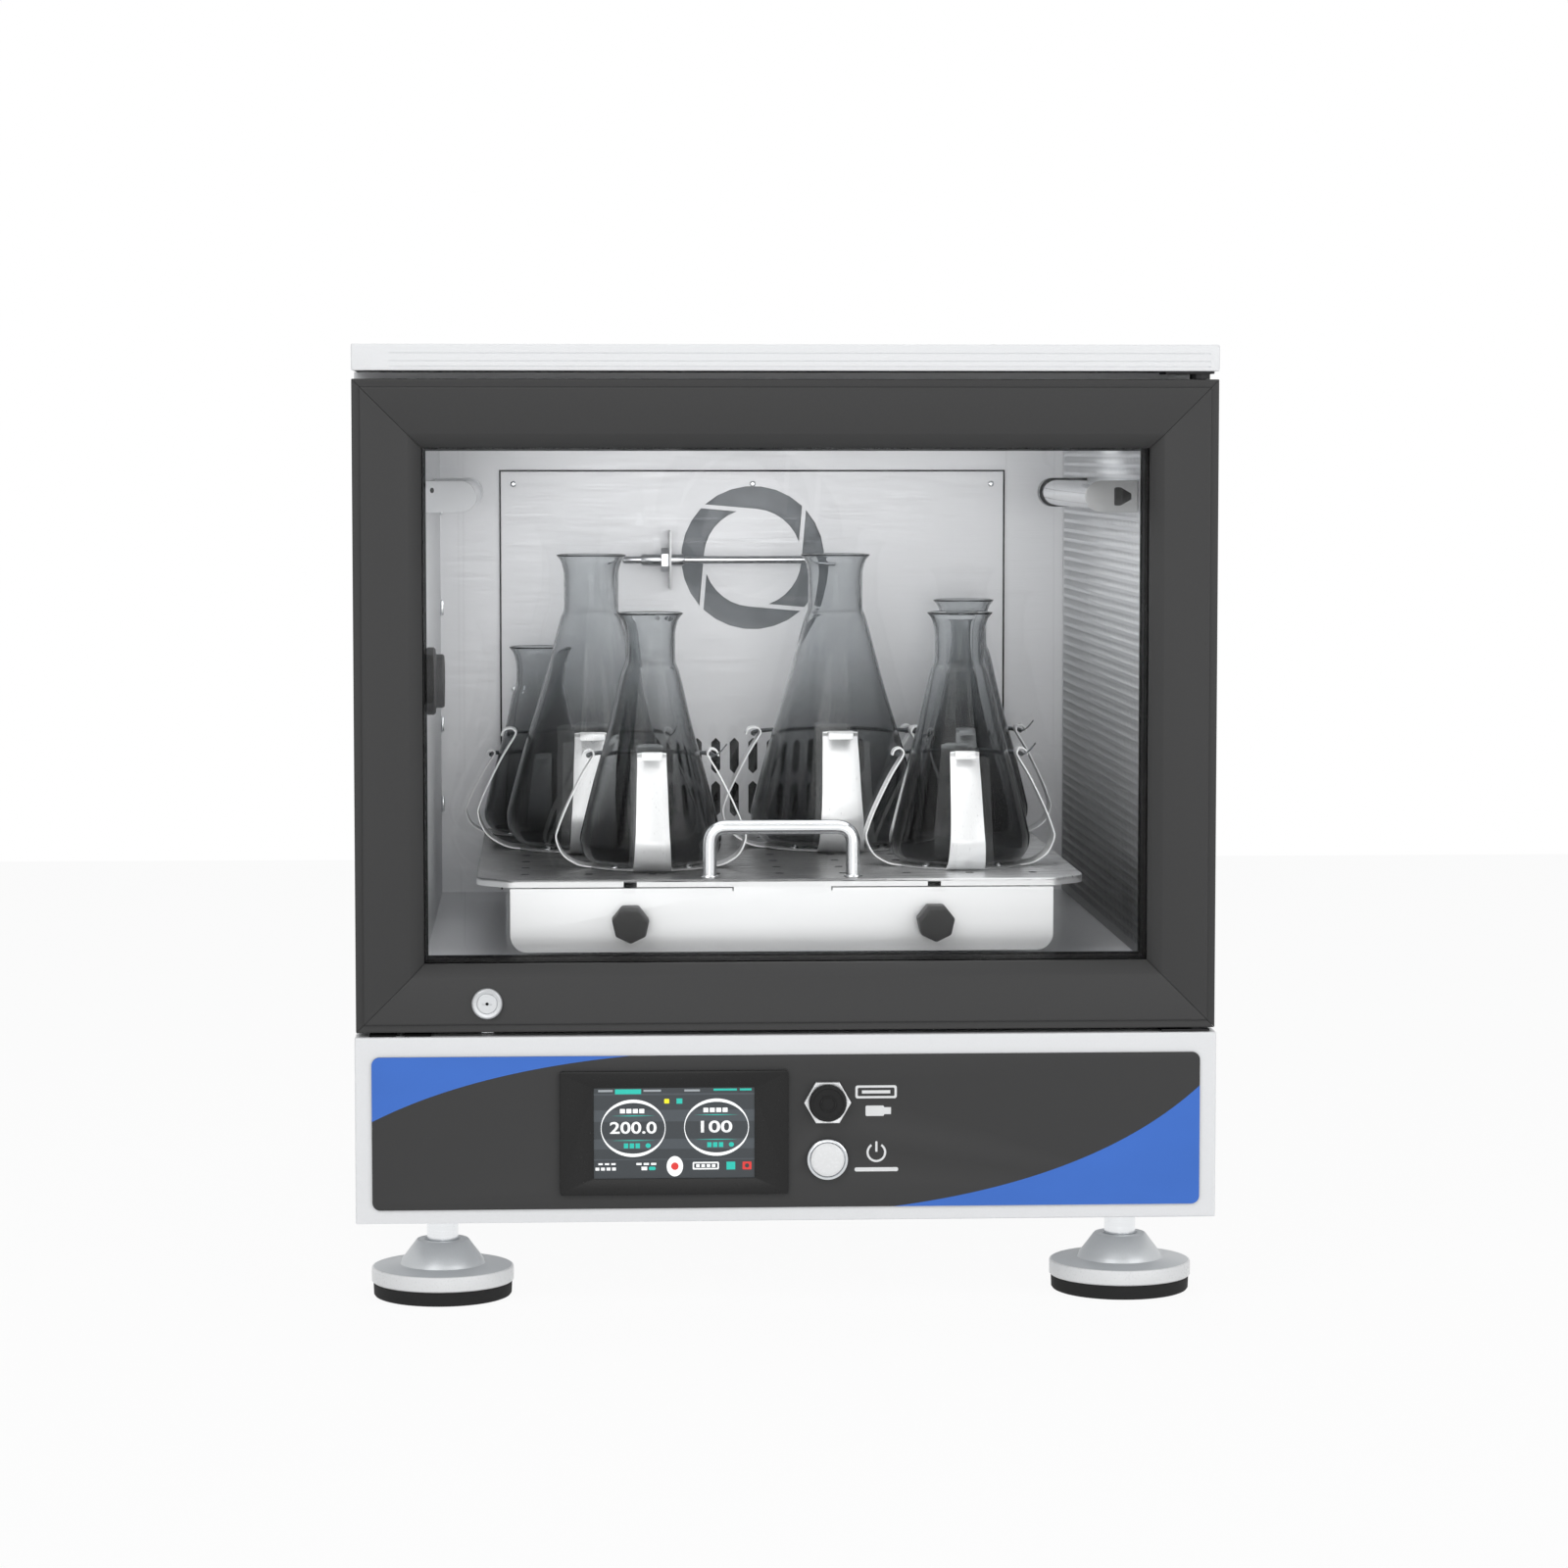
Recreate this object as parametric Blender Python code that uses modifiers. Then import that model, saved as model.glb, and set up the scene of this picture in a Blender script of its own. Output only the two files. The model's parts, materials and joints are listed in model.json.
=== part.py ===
"""Benchtop shaking incubator: a glazed warm chamber on a drive base, loaded with conical flasks.

Metres, +Z up. The front faces -Y and the origin is on the bench, under the middle of the machine.
"""

from math import acos, asin, cos, pi, radians, sin

import bmesh
import bpy
from mathutils import Matrix, Vector

# Fits, and how far a joined piece sinks in and a cutter reaches past
SEAT = 0.0003
SLIDE = 0.0005
STEP_OVER = 0.0008
SINK = 0.001
THROUGH = 0.010

# Cabinet
HALF_WIDTH = 0.295
FRONT_Y = -0.325
SHEET = 0.002
FOOT_HEIGHT = 0.062
BASE_HEIGHT = 0.1285
BASE_LIP = 0.001
DOOR_HEIGHT = 0.445
DOOR_GAP_BELOW = 0.003
DOOR_GAP_ABOVE = 0.0055
COVER_HEIGHT = 0.018
FOOT_RECESS = 0.003
FOOT_RECESS_PLAY = 0.002

# Door
DOOR_DEPTH = 0.042
FRAME_WIDTH = 0.0466
FRAME_BEVEL = 0.0090
FRAME_BEVEL_DEPTH = 0.0065
EDGE_STEP_WIDTH = 0.0050
EDGE_STEP_DEPTH = 0.0020
GLASS_THICKNESS = 0.005
GLASS_GROOVE = 0.0045
GASKET_DEPTH = 0.0040
GASKET_WIDTH = 0.0180
GASKET_SHOW = 0.0020
HINGE_INSET = 0.012
HINGE_PIN_RADIUS = 0.004
HINGE_PIN_LENGTH = 0.012
HINGE_PLATE = 0.0014
HINGE_PLATE_WIDTH = 0.0333
HINGE_PLATE_INSET = 0.0033
HINGE_WASHER_RADIUS = 0.007
LOCK_INSET = 0.0895
LOCK_RISE = 0.0201
LOCK_RADIUS = 0.0107
LOCK_REACH = 0.0035
BOLT_WIDTH = 0.008
BOLT_THICKNESS = 0.005
BOLT_TRAVEL = 0.008

# Chamber
CHAMBER_HALF_WIDTH = 0.2495
CHAMBER_FLOOR_Z = 0.2365
CHAMBER_CEILING_Z = 0.6120
CHAMBER_BACK_Y = 0.2050
LINER = 0.0012
SIDE_PLENUM = 0.008
FAN_PLENUM = 0.045
FOAM_BACK = 0.050
PANEL_HALF_WIDTH = 0.2012
PANEL_TOP_Z = 0.5733
FAN_Z = 0.5043
FAN_SLOT_INNER = 0.0392
FAN_SLOT_OUTER = 0.0573
FAN_SLOTS = 4
FAN_WEB = 0.0034
FAN_WEB_LEAN = radians(5)
IMPELLER_RADIUS = 0.056
IMPELLER_DEPTH = 0.022
IMPELLER_BLADES = 8
IMPELLER_HUB = 0.014
IMPELLER_BLADE = 0.0016
IMPELLER_GAP = 0.008
FAN_SHAFT_RADIUS = 0.004
FAN_MOTOR_RADIUS = 0.036
FAN_MOTOR_LENGTH = 0.044
GRILLE_COLUMNS = 13
GRILLE_PITCH = 0.0149
GRILLE_SLOT_WIDTH = 0.0073
GRILLE_SLOT_HEIGHT = 0.0290
GRILLE_ROW_PITCH = 0.0347
GRILLE_TOP_Z = 0.3600
LAMP_FRONT_Y = -0.250
LAMP_BACK_Y = 0.060
LAMP_Z = 0.5581
LAMP_HEIGHT = 0.0220
LAMP_WIDTH = 0.0366
PORT_Y = -0.190
PORT_Z = 0.427
PORT_RADIUS = 0.0155
PORT_FLANGE_RADIUS = 0.024
PORT_GRIP_RADIUS = 0.019
PORT_PLUG_MARGIN = 0.0155
PROBE_Z = 0.5035
PROBE_Y = 0.170
PROBE_RADIUS = 0.003
PROBE_LEFT_X = -0.105
PROBE_RIGHT_X = 0.065
PROBE_SLEEVE = 0.022
PROBE_SLEEVE_RADIUS = 0.0048
PROBE_NUT = 0.0070
PROBE_NUT_RADIUS = 0.0085
PROBE_BRACKET_X = -0.067
PROBE_BRACKET = 0.002
PROBE_BRACKET_HEIGHT = 0.046
PROBE_ARM = 0.012
PERFORATED_COLUMNS = 9
PERFORATED_ROWS = 4
PERFORATED_SLOT = 0.009
PERFORATED_LENGTH = 0.060

# Controls on the front of the base
OVERLAY_INSET = 0.0105
OVERLAY_BOTTOM_Z = 0.0715
OVERLAY_HEIGHT = 0.1056
OVERLAY_CORNER = 0.0055
OVERLAY_THICKNESS = 0.0012
SCREEN_X = -0.0780
SCREEN_Z = 0.1240
SCREEN_WIDTH = 0.1565
SCREEN_HEIGHT = 0.0854
SCREEN_THICKNESS = 0.003
MODULE_WIDTH = 0.142
MODULE_HEIGHT = 0.072
MODULE_DEPTH = 0.028
DISPLAY_WIDTH = 0.1102
DISPLAY_HEIGHT = 0.0626
CONTROLS_X = 0.0272
PORT_SOCKET_Z = 0.1443
BUTTON_Z = 0.1049
NUT_RADIUS = 0.01615
NUT_THICKNESS = 0.005
NUT_TUBE_RADIUS = 0.0100
NUT_BORE = 0.0078
CAP_RADIUS = 0.01265
CAP_THICKNESS = 0.0055
CAP_STEM = 0.008
RING_RADIUS = 0.0143
RING_THICKNESS = 0.0045
RING_BORE = 0.0118
BUTTON_THICKNESS = 0.003
BUTTON_TRAVEL = 0.0015
SLEEVE_RADIUS = 0.0110
SLEEVE_LENGTH = 0.016
SLEEVE_WALL = 0.0018

# Levelling feet
FOOT_INSET = 0.0565
FOOT_FRONT_Y = -0.257
FOOT_BACK_Y = 0.262
FOOT_RADIUS = 0.0497
FOOT_PAD_RADIUS = 0.0485
FOOT_PAD_THICKNESS = 0.010
FOOT_RIM = 0.0105
FOOT_HUB_RADIUS = 0.029
FOOT_HUB_TOP_RADIUS = 0.018
FOOT_HUB_Z = 0.0395
FOOT_STEM_RADIUS = 0.011
FOOT_STEM_TOP_Z = 0.100
BOSS_WALL = 0.006
BOSS_HEIGHT = 0.018
FLOOR_PLATE = 0.003

# Drive: one driven and two idling eccentric shafts carry the carriage
ORBIT_RADIUS = 0.013
MAIN_X = 0.0
MAIN_Y = -0.125
IDLER_X = 0.120
IDLER_Y = 0.055
MAIN_SHAFT_RADIUS = 0.015
IDLER_SHAFT_RADIUS = 0.010
MAIN_PIN_RADIUS = 0.007
IDLER_PIN_RADIUS = 0.006
TOWER_WALL = 0.010
TOWER_TOP_RISE = 0.0032
DRIVE_PLATE_Z = 0.150
DRIVE_PLATE = 0.006
DRIVE_HALF_WIDTH = 0.210
DRIVE_FRONT_Y = -0.205
DRIVE_BACK_Y = 0.125
DRIVE_LEG = 0.004
DRIVE_TOE = 0.016
CRANK_DISC_RADIUS = 0.030
IDLER_DISC_RADIUS = 0.024
CRANK_DISC = 0.0085
COUNTERWEIGHT_RADIUS = 0.062
COUNTERWEIGHT_ROOT = 0.020
COUNTERWEIGHT_LEAN = 0.35
COLLAR = 0.006
COLLAR_LIP = 0.004
PIN_BOSS_WALL = 0.006
PULLEY_Z = 0.118
PULLEY_WIDTH = 0.016
PULLEY_RADIUS = 0.055
MOTOR_PULLEY_RADIUS = 0.020
PULLEY_FLANGE = 0.0035
PULLEY_FLANGE_THICKNESS = 0.002
PULLEY_HUB = 0.005
MOTOR_X = 0.150
MOTOR_RADIUS = 0.040
MOTOR_HEIGHT = 0.042
MOTOR_SHAFT_RADIUS = 0.004
MOTOR_FLANGE = 0.005
MOTOR_FLANGE_LIP = 0.004
MOTOR_BOSS = 0.004
MOTOR_BOSS_RADIUS = 0.012
MOTOR_BORE = 0.020
BELT = 0.003

# Carriage and tray
CARRIAGE_HALF_WIDTH = 0.175
CARRIAGE_PLATE_Z = 0.2520
CARRIAGE_PLATE = 0.008
CARRIAGE_WALL = 0.003
CARRIAGE_BAR_DROP = 0.008
TRAY_HALF_WIDTH = 0.2140
TRAY_FRONT_HALF_WIDTH = 0.1918
TRAY_FRONT_Y = -0.258
TRAY_DEPTH = 0.420
TRAY_TOP_Z = 0.2915
TRAY_SHEET = 0.0024
TRAY_RIM = 0.0054
TRAY_CORNER = 0.022
APRON_HALF_WIDTH = 0.1903
APRON_BOTTOM_Z = 0.2405
APRON_CORNER = 0.010
KNOB_X = 0.1065
KNOB_Z = 0.2617
KNOB_RADIUS = 0.0134
KNOB_LENGTH = 0.016
KNOB_SIDES = 7
KNOB_COLLAR = 0.003
KNOB_COLLAR_RADIUS = 0.007
STUD_RADIUS = 0.003
STUD_LENGTH = 0.020
HANDLE_SPAN = 0.101
HANDLE_HEIGHT = 0.040
HANDLE_ROD_RADIUS = 0.005
HANDLE_BEND = 0.010
HANDLE_Y = -0.242
TRAY_TRAVEL = 0.020
TRAY_END_PLAY = 0.003

# Flasks: radius, height, neck radius and neck length of each size
FLASK_SIZES = {
    "250": (0.0420, 0.1445, 0.0165, 0.030),
    "500": (0.0510, 0.1810, 0.0180, 0.036),
    "1000": (0.0640, 0.2190, 0.0205, 0.042),
}
FLASK_WALL = 0.0022
FLASK_LIP = 0.0055
FLASK_FLARE = 0.012
# Shares of a flask's radius: how far its rounded heel reaches in and up
FLASK_HEEL_WIDTH = 0.33
FLASK_HEEL_RISE = 0.36
FLASKS = {
    "front_left": ("500", -0.0900, -0.160),
    "front_right": ("500", 0.1330, -0.158),
    "middle_left": ("1000", -0.1310, -0.008),
    "middle_right": ("1000", 0.0530, -0.004),
    "back_left": ("250", -0.1720, 0.116),
    "back_right": ("500", 0.1600, 0.103),
}
CLAMP_SHEET = 0.0012
# Shares of a flask's radius
CLAMP_ARMS = 4
CLAMP_BULGE = 1.34
CLAMP_BULGE_RISE = 0.40
CLAMP_ARM_WIDTH = 0.60
CLAMP_ARM_TAPER = 0.68
CLAMP_FOOT = 0.90
# How far out and how high each size's arms hook over their spring.
CLAMP_HOOKS = {"250": (0.0336, 0.0630), "500": (0.0410, 0.0815), "1000": (0.0570, 0.0870)}

# Facets round a full turn
ROUND_FINE = 20
ROUND = 16
ROUND_SMALL = 12
ROUND_FLASK = 16

# Vents
BASE_VENTS = 5
BASE_VENT_LEFT_X = -0.150
BASE_VENT_LENGTH = 0.120
BASE_VENT_HEIGHT = 0.005
BASE_VENT_PITCH = 0.012
BASE_VENT_RISE = 0.045
COVER_VENTS = 6
COVER_VENT_HALF_LENGTH = 0.070
COVER_VENT_HEIGHT = 0.006
COVER_VENT_PITCH = 0.014
COVER_VENT_DROP = 0.1691

# Derived sizes and levels
BASE_HALF_WIDTH = HALF_WIDTH + BASE_LIP
OVERLAY_HALF_WIDTH = HALF_WIDTH - OVERLAY_INSET
LOCK_X = LOCK_INSET - HALF_WIDTH
FOOT_X = HALF_WIDTH - FOOT_INSET
PORT_PLUG = HALF_WIDTH - CHAMBER_HALF_WIDTH - PORT_PLUG_MARGIN
CARRIAGE_BACK_Y = TRAY_FRONT_Y + TRAY_DEPTH - TRAY_TRAVEL - TRAY_END_PLAY
BASE_TOP_Z = FOOT_HEIGHT + BASE_HEIGHT
DOOR_BOTTOM_Z = BASE_TOP_Z + DOOR_GAP_BELOW
DOOR_TOP_Z = DOOR_BOTTOM_Z + DOOR_HEIGHT
COVER_BOTTOM_Z = DOOR_TOP_Z + DOOR_GAP_ABOVE
COVER_TOP_Z = COVER_BOTTOM_Z + COVER_HEIGHT
DOOR_BACK_Y = FRONT_Y + DOOR_DEPTH
SHELL_FRONT_Y = DOOR_BACK_Y + GASKET_DEPTH + STEP_OVER
PANEL_FACE_Y = FRONT_Y - SEAT - OVERLAY_THICKNESS
CONTROL_Y = PANEL_FACE_Y - SEAT
CAP_FRONT_Y = CONTROL_Y - NUT_THICKNESS - SEAT - CAP_THICKNESS
REAR_Y = -CAP_FRONT_Y
REAR_COVER_DEPTH = 0.015
SHELL_BACK_Y = REAR_Y - REAR_COVER_DEPTH - SEAT
HINGE_X = HALF_WIDTH - HINGE_INSET
HINGE_Y = FRONT_Y + HINGE_INSET
LOCK_Z = DOOR_BOTTOM_Z + LOCK_RISE
TOWER_TOP_Z = CHAMBER_FLOOR_Z + TOWER_TOP_RISE
DISC_Z = TOWER_TOP_Z + SEAT
PIN_TOP_Z = CARRIAGE_PLATE_Z + CARRIAGE_PLATE + 0.006
BASE_FLOOR_TOP_Z = FOOT_HEIGHT + FLOOR_PLATE
CLAMP_Z = TRAY_TOP_Z + SEAT
FLASK_Z = CLAMP_Z + CLAMP_SHEET + SEAT
CARRIAGE_FRONT_Y = TRAY_FRONT_Y + 0.014

# Colours as sRGB hex, with roughness and metallic
FINISHES = {
    "white_paint": ("F4F5F6", 0.35, 0.0),
    "charcoal_paint": ("484848", 0.45, 0.0),
    "overlay_film": ("464646", 0.40, 0.0),
    "stainless": ("D5D8DB", 0.30, 1.0),
    "bright_steel": ("E3E5E7", 0.18, 1.0),
    "cast_aluminium": ("B4B7BA", 0.50, 1.0),
    "glass": ("C8CCD0", 0.05, 0.0),
    "smoked_glass": ("6E7276", 0.06, 0.0),
    "black_plastic": ("2D2D2D", 0.35, 0.0),
    "grey_plastic": ("4A4A4A", 0.50, 0.0),
    "white_plastic": ("F2F2F2", 0.30, 0.0),
    "rubber": ("3A3A3A", 0.80, 0.0),
    "foam": ("E8E2C8", 0.90, 0.0),
    "lamp_cover": ("DDE6EC", 0.20, 0.0),
}

for old in list(bpy.data.objects):
    bpy.data.objects.remove(old, do_unlink=True)

PARTS = bpy.data.collections.new("shaking_incubator")
CUTTERS = bpy.data.collections.new("cutters")
bpy.context.scene.collection.children.link(PARTS)
bpy.context.scene.collection.children.link(CUTTERS)

FACE_FRONT = Matrix.Rotation(pi / 2, 4, "X")
FACE_SIDE = Matrix.Rotation(pi / 2, 4, "Z") @ Matrix.Rotation(pi / 2, 4, "X")
FLAT = Matrix.Identity(4)


def linear(channel):
    """One sRGB channel, 0 to 255, as a linear value."""
    value = channel / 255
    return value / 12.92 if value <= 0.04045 else ((value + 0.055) / 1.055) ** 2.4


def finish(name):
    """The Principled material of that name, made on first use."""
    found = bpy.data.materials.get(name)
    if found:
        return found
    colour, roughness, metallic = FINISHES[name]
    material = bpy.data.materials.new(name)
    material.use_nodes = True
    shader = material.node_tree.nodes["Principled BSDF"]
    rgb = [linear(int(colour[i : i + 2], 16)) for i in (0, 2, 4)]
    shader.inputs["Base Color"].default_value = (*rgb, 1.0)
    shader.inputs["Roughness"].default_value = roughness
    shader.inputs["Metallic"].default_value = metallic
    material.diffuse_color = (*rgb, 1.0)
    return material


def axis_empty(name, at):
    """An empty that marks a joint's axis and carries the pieces that turn or slide there."""
    empty = bpy.data.objects.new(name, None)
    empty.location = at
    empty.empty_display_size = 0.03
    PARTS.objects.link(empty)
    return empty


def place(obj, name, look, smooth=None):
    """Files a finished piece under its name and material."""
    obj.name = name
    obj.data.name = name
    obj.data.materials.clear()
    obj.data.materials.append(finish(look))
    for collection in list(obj.users_collection):
        collection.objects.unlink(obj)
    PARTS.objects.link(obj)
    if smooth:
        obj.data.shade_smooth()
        obj.data.set_sharp_from_angle(angle=radians(smooth))
    return obj


def carry(piece, empty):
    """Hangs a piece on a joint's empty without moving it."""
    piece.parent = empty
    piece.matrix_parent_inverse = Matrix.Translation(empty.location).inverted()
    return piece


def from_bmesh(bm, name="piece", matrix=FLAT):
    """A new object that holds this bmesh."""
    bmesh.ops.recalc_face_normals(bm, faces=bm.faces)
    mesh = bpy.data.meshes.new(name)
    bm.to_mesh(mesh)
    bm.free()
    obj = bpy.data.objects.new(name, mesh)
    obj.matrix_world = matrix
    bpy.context.scene.collection.objects.link(obj)
    return obj


def block(low, high):
    """A box between two corners."""
    low, high = Vector(low), Vector(high)
    bm = bmesh.new()
    bmesh.ops.create_cube(bm, size=1.0)
    bmesh.ops.scale(bm, vec=high - low, verts=bm.verts)
    bmesh.ops.translate(bm, vec=(low + high) / 2, verts=bm.verts)
    return from_bmesh(bm)


def rod(start, end, radius, sides=ROUND, tip_radius=None):
    """A cylinder or cone between two points on one axis."""
    start, end = Vector(start), Vector(end)
    length = (end - start).length
    turn = (end - start).to_track_quat("Z", "Y").to_matrix().to_4x4()
    bm = bmesh.new()
    bmesh.ops.create_cone(
        bm,
        cap_ends=True,
        segments=sides,
        radius1=radius,
        radius2=radius if tip_radius is None else tip_radius,
        depth=length,
        matrix=Matrix.Translation((start + end) / 2) @ turn,
    )
    return from_bmesh(bm)


def wide_of(radius, sides):
    """The corner radius that keeps a hole's flat sides clear of a round piece of this radius."""
    return radius / cos(pi / sides)


def baked(obj):
    """The object with its modifiers worked out, as one plain mesh in world space."""
    bpy.context.view_layer.update()
    graph = bpy.context.evaluated_depsgraph_get()
    mesh = bpy.data.meshes.new_from_object(obj.evaluated_get(graph), depsgraph=graph)
    mesh.transform(obj.matrix_world)
    bm = bmesh.new()
    bm.from_mesh(mesh)
    bmesh.ops.remove_doubles(bm, verts=bm.verts, dist=1e-6)
    bmesh.ops.recalc_face_normals(bm, faces=bm.faces)
    bm.to_mesh(mesh)
    bm.free()
    fresh = bpy.data.objects.new(obj.name, mesh)
    bpy.context.scene.collection.objects.link(fresh)
    bpy.data.objects.remove(obj, do_unlink=True)
    return fresh


def slab(loops, thickness, matrix=FLAT):
    """A flat outline with holes, extruded from z = 0 to the thickness, then turned by the matrix."""
    curve = bpy.data.curves.new("outline", "CURVE")
    curve.dimensions = "2D"
    curve.fill_mode = "BOTH"
    curve.extrude = thickness / 2
    for points in loops:
        spline = curve.splines.new("POLY")
        spline.points.add(len(points) - 1)
        spline.use_cyclic_u = True
        for point, (x, y) in zip(spline.points, points):
            point.co = (x, y, 0, 1)
    obj = bpy.data.objects.new("outline", curve)
    obj.matrix_world = matrix @ Matrix.Translation((0, 0, thickness / 2))
    bpy.context.scene.collection.objects.link(obj)
    return baked(obj)


def turned(profile, sides=ROUND, at=(0, 0, 0), matrix=FLAT):
    """A turned piece: (radius, height) points spun about the local Z axis."""
    bm = bmesh.new()
    points = [bm.verts.new((radius, 0, height)) for radius, height in profile]
    for first, second in zip(points, points[1:]):
        bm.edges.new((first, second))
    closed = profile[0][0] > 0
    if closed:
        bm.edges.new((points[-1], points[0]))
    mesh = bpy.data.meshes.new("profile")
    bm.to_mesh(mesh)
    bm.free()
    obj = bpy.data.objects.new("profile", mesh)
    obj.matrix_world = Matrix.Translation(at) @ matrix
    bpy.context.scene.collection.objects.link(obj)
    screw = obj.modifiers.new("turn", "SCREW")
    screw.steps = sides
    screw.render_steps = sides
    screw.use_merge_vertices = True
    screw.merge_threshold = 0.00001
    return baked(obj)


def combine(base, tool, operation):
    """A Boolean between two solids, worked out at once; the tool is filed with the cutters."""
    for collection in list(tool.users_collection):
        collection.objects.unlink(tool)
    CUTTERS.objects.link(tool)
    tool.hide_render = True
    tool.display_type = "WIRE"
    boolean = base.modifiers.new(operation.lower(), "BOOLEAN")
    boolean.operation = operation
    boolean.solver = "EXACT"
    boolean.object = tool
    return baked(base)


def joined(first, *others):
    for other in others:
        first = combine(first, other, "UNION")
    return first


def cut(first, *tools):
    for tool in tools:
        first = combine(first, tool, "DIFFERENCE")
    return first


def arc(cx, cy, radius, start, end, steps):
    """Points along an arc, angles in radians."""
    turns = [start + (end - start) * i / steps for i in range(steps + 1)]
    return [(cx + radius * cos(a), cy + radius * sin(a)) for a in turns]


def rectangle(x0, y0, x1, y1):
    return [(x0, y0), (x1, y0), (x1, y1), (x0, y1)]


def rounded(x0, y0, x1, y1, corner, steps=3):
    """A rectangle with round corners."""
    return (
        arc(x1 - corner, y0 + corner, corner, -pi / 2, 0, steps)
        + arc(x1 - corner, y1 - corner, corner, 0, pi / 2, steps)
        + arc(x0 + corner, y1 - corner, corner, pi / 2, pi, steps)
        + arc(x0 + corner, y0 + corner, corner, pi, 3 * pi / 2, steps)
    )


def circle(cx, cy, radius, sides=ROUND):
    return arc(cx, cy, radius, 0, 2 * pi, sides)[:-1]


def upright_slot(cx, top, width, height, steps=2):
    """A vertical slot with round ends."""
    r = width / 2
    return arc(cx, top - r, r, 0, pi, steps) + arc(cx, top - height + r, r, pi, 2 * pi, steps)


def front(y):
    """Turns a slab to face the front, standing with its back at this y."""
    return Matrix.Translation((0, y, 0)) @ FACE_FRONT


def mitred_frame(half_width, bottom, top, section):
    """A rectangular frame: a section of (inset, y) points swept round and mitred at the corners."""
    bm = bmesh.new()
    rings = []
    for side_x, side_z in ((-1, -1), (1, -1), (1, 1), (-1, 1)):
        ring = []
        for inset, y in section:
            z = bottom + inset if side_z < 0 else top - inset
            ring.append(bm.verts.new((side_x * (half_width - inset), y, z)))
        rings.append(ring)
    count = len(section)
    for i in range(4):
        here, there = rings[i], rings[(i + 1) % 4]
        for k in range(count):
            nxt = (k + 1) % count
            bm.faces.new((here[k], there[k], there[nxt], here[nxt]))
    return from_bmesh(bm)


def open_box(low, high, wall, open_side):
    """A sheet box that is open on one side: its faces, without that one, thickened inwards."""
    shell = block(low, high)
    axis, sign = "xyz".index(open_side[1]), 1 if open_side[0] == "+" else -1
    bm = bmesh.new()
    bm.from_mesh(shell.data)
    lids = [f for f in bm.faces if f.normal[axis] * sign > 0.5]
    bmesh.ops.delete(bm, geom=lids, context="FACES_ONLY")
    bm.to_mesh(shell.data)
    bm.free()
    thick = shell.modifiers.new("sheet", "SOLIDIFY")
    thick.thickness = wall
    thick.offset = -1
    thick.use_even_offset = True
    return baked(shell)


def crank_axes():
    """Where the three eccentric shafts stand, with the radius of each tower."""
    main = MAIN_SHAFT_RADIUS + SEAT + TOWER_WALL
    idler = IDLER_SHAFT_RADIUS + SEAT + TOWER_WALL
    return [(MAIN_X, MAIN_Y, main), (-IDLER_X, IDLER_Y, idler), (IDLER_X, IDLER_Y, idler)]


def upright(x, y, bottom, top, radius, sides=ROUND):
    """A vertical cylinder."""
    return rod((x, y, bottom), (x, y, top), radius, sides)


def tower_holes(obj, bottom, top):
    """Clears the three drive towers through a floor."""
    for x, y, radius in crank_axes():
        hole = wide_of(radius, ROUND_SMALL) + STEP_OVER
        obj = cut(obj, upright(x, y, bottom, top, hole, ROUND_SMALL))
    return obj


def base_housing():
    low = (-BASE_HALF_WIDTH, FRONT_Y, FOOT_HEIGHT)
    high = (BASE_HALF_WIDTH, REAR_Y, BASE_TOP_Z)
    body = open_box(low, high, SHEET, "-z")
    body = tower_holes(body, BASE_TOP_Z - 2 * SHEET, BASE_TOP_Z + SHEET)
    inside, outside = FRONT_Y + 2 * SHEET, FRONT_Y - SHEET
    body = cut(body, module_cutter(outside, inside))
    for z, radius in ((PORT_SOCKET_Z, NUT_TUBE_RADIUS), (BUTTON_Z, SLEEVE_RADIUS)):
        body = cut(body, rod((CONTROLS_X, outside, z), (CONTROLS_X, inside, z), radius + SEAT))
    return place(cut(body, keeper_cutter(), *rear_vents()), "base_housing", "white_paint")


def module_cutter(y0, y1):
    """The opening for the body of the touch screen."""
    w, h = MODULE_WIDTH / 2 + SEAT, MODULE_HEIGHT / 2 + SEAT
    return block((SCREEN_X - w, y0, SCREEN_Z - h), (SCREEN_X + w, y1, SCREEN_Z + h))


def keeper_cutter():
    """The slot in the deck that takes the door's bolt."""
    w, t = BOLT_WIDTH / 2 + SLIDE, BOLT_THICKNESS / 2 + SLIDE
    y = FRONT_Y + DOOR_DEPTH / 2
    return block(
        (LOCK_X - w, y - t, BASE_TOP_Z - 2 * SHEET),
        (LOCK_X + w, y + t, BASE_TOP_Z + SHEET),
    )


def rear_vents():
    """Slots in the back of the base that let the drive's air out."""
    cutters = []
    for row in range(BASE_VENTS):
        z = FOOT_HEIGHT + BASE_VENT_RISE + row * BASE_VENT_PITCH
        low = (BASE_VENT_LEFT_X, REAR_Y - 2 * SHEET, z)
        high = (BASE_VENT_LEFT_X + BASE_VENT_LENGTH, REAR_Y + SHEET, z + BASE_VENT_HEIGHT)
        cutters.append(block(low, high))
    return cutters


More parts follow.
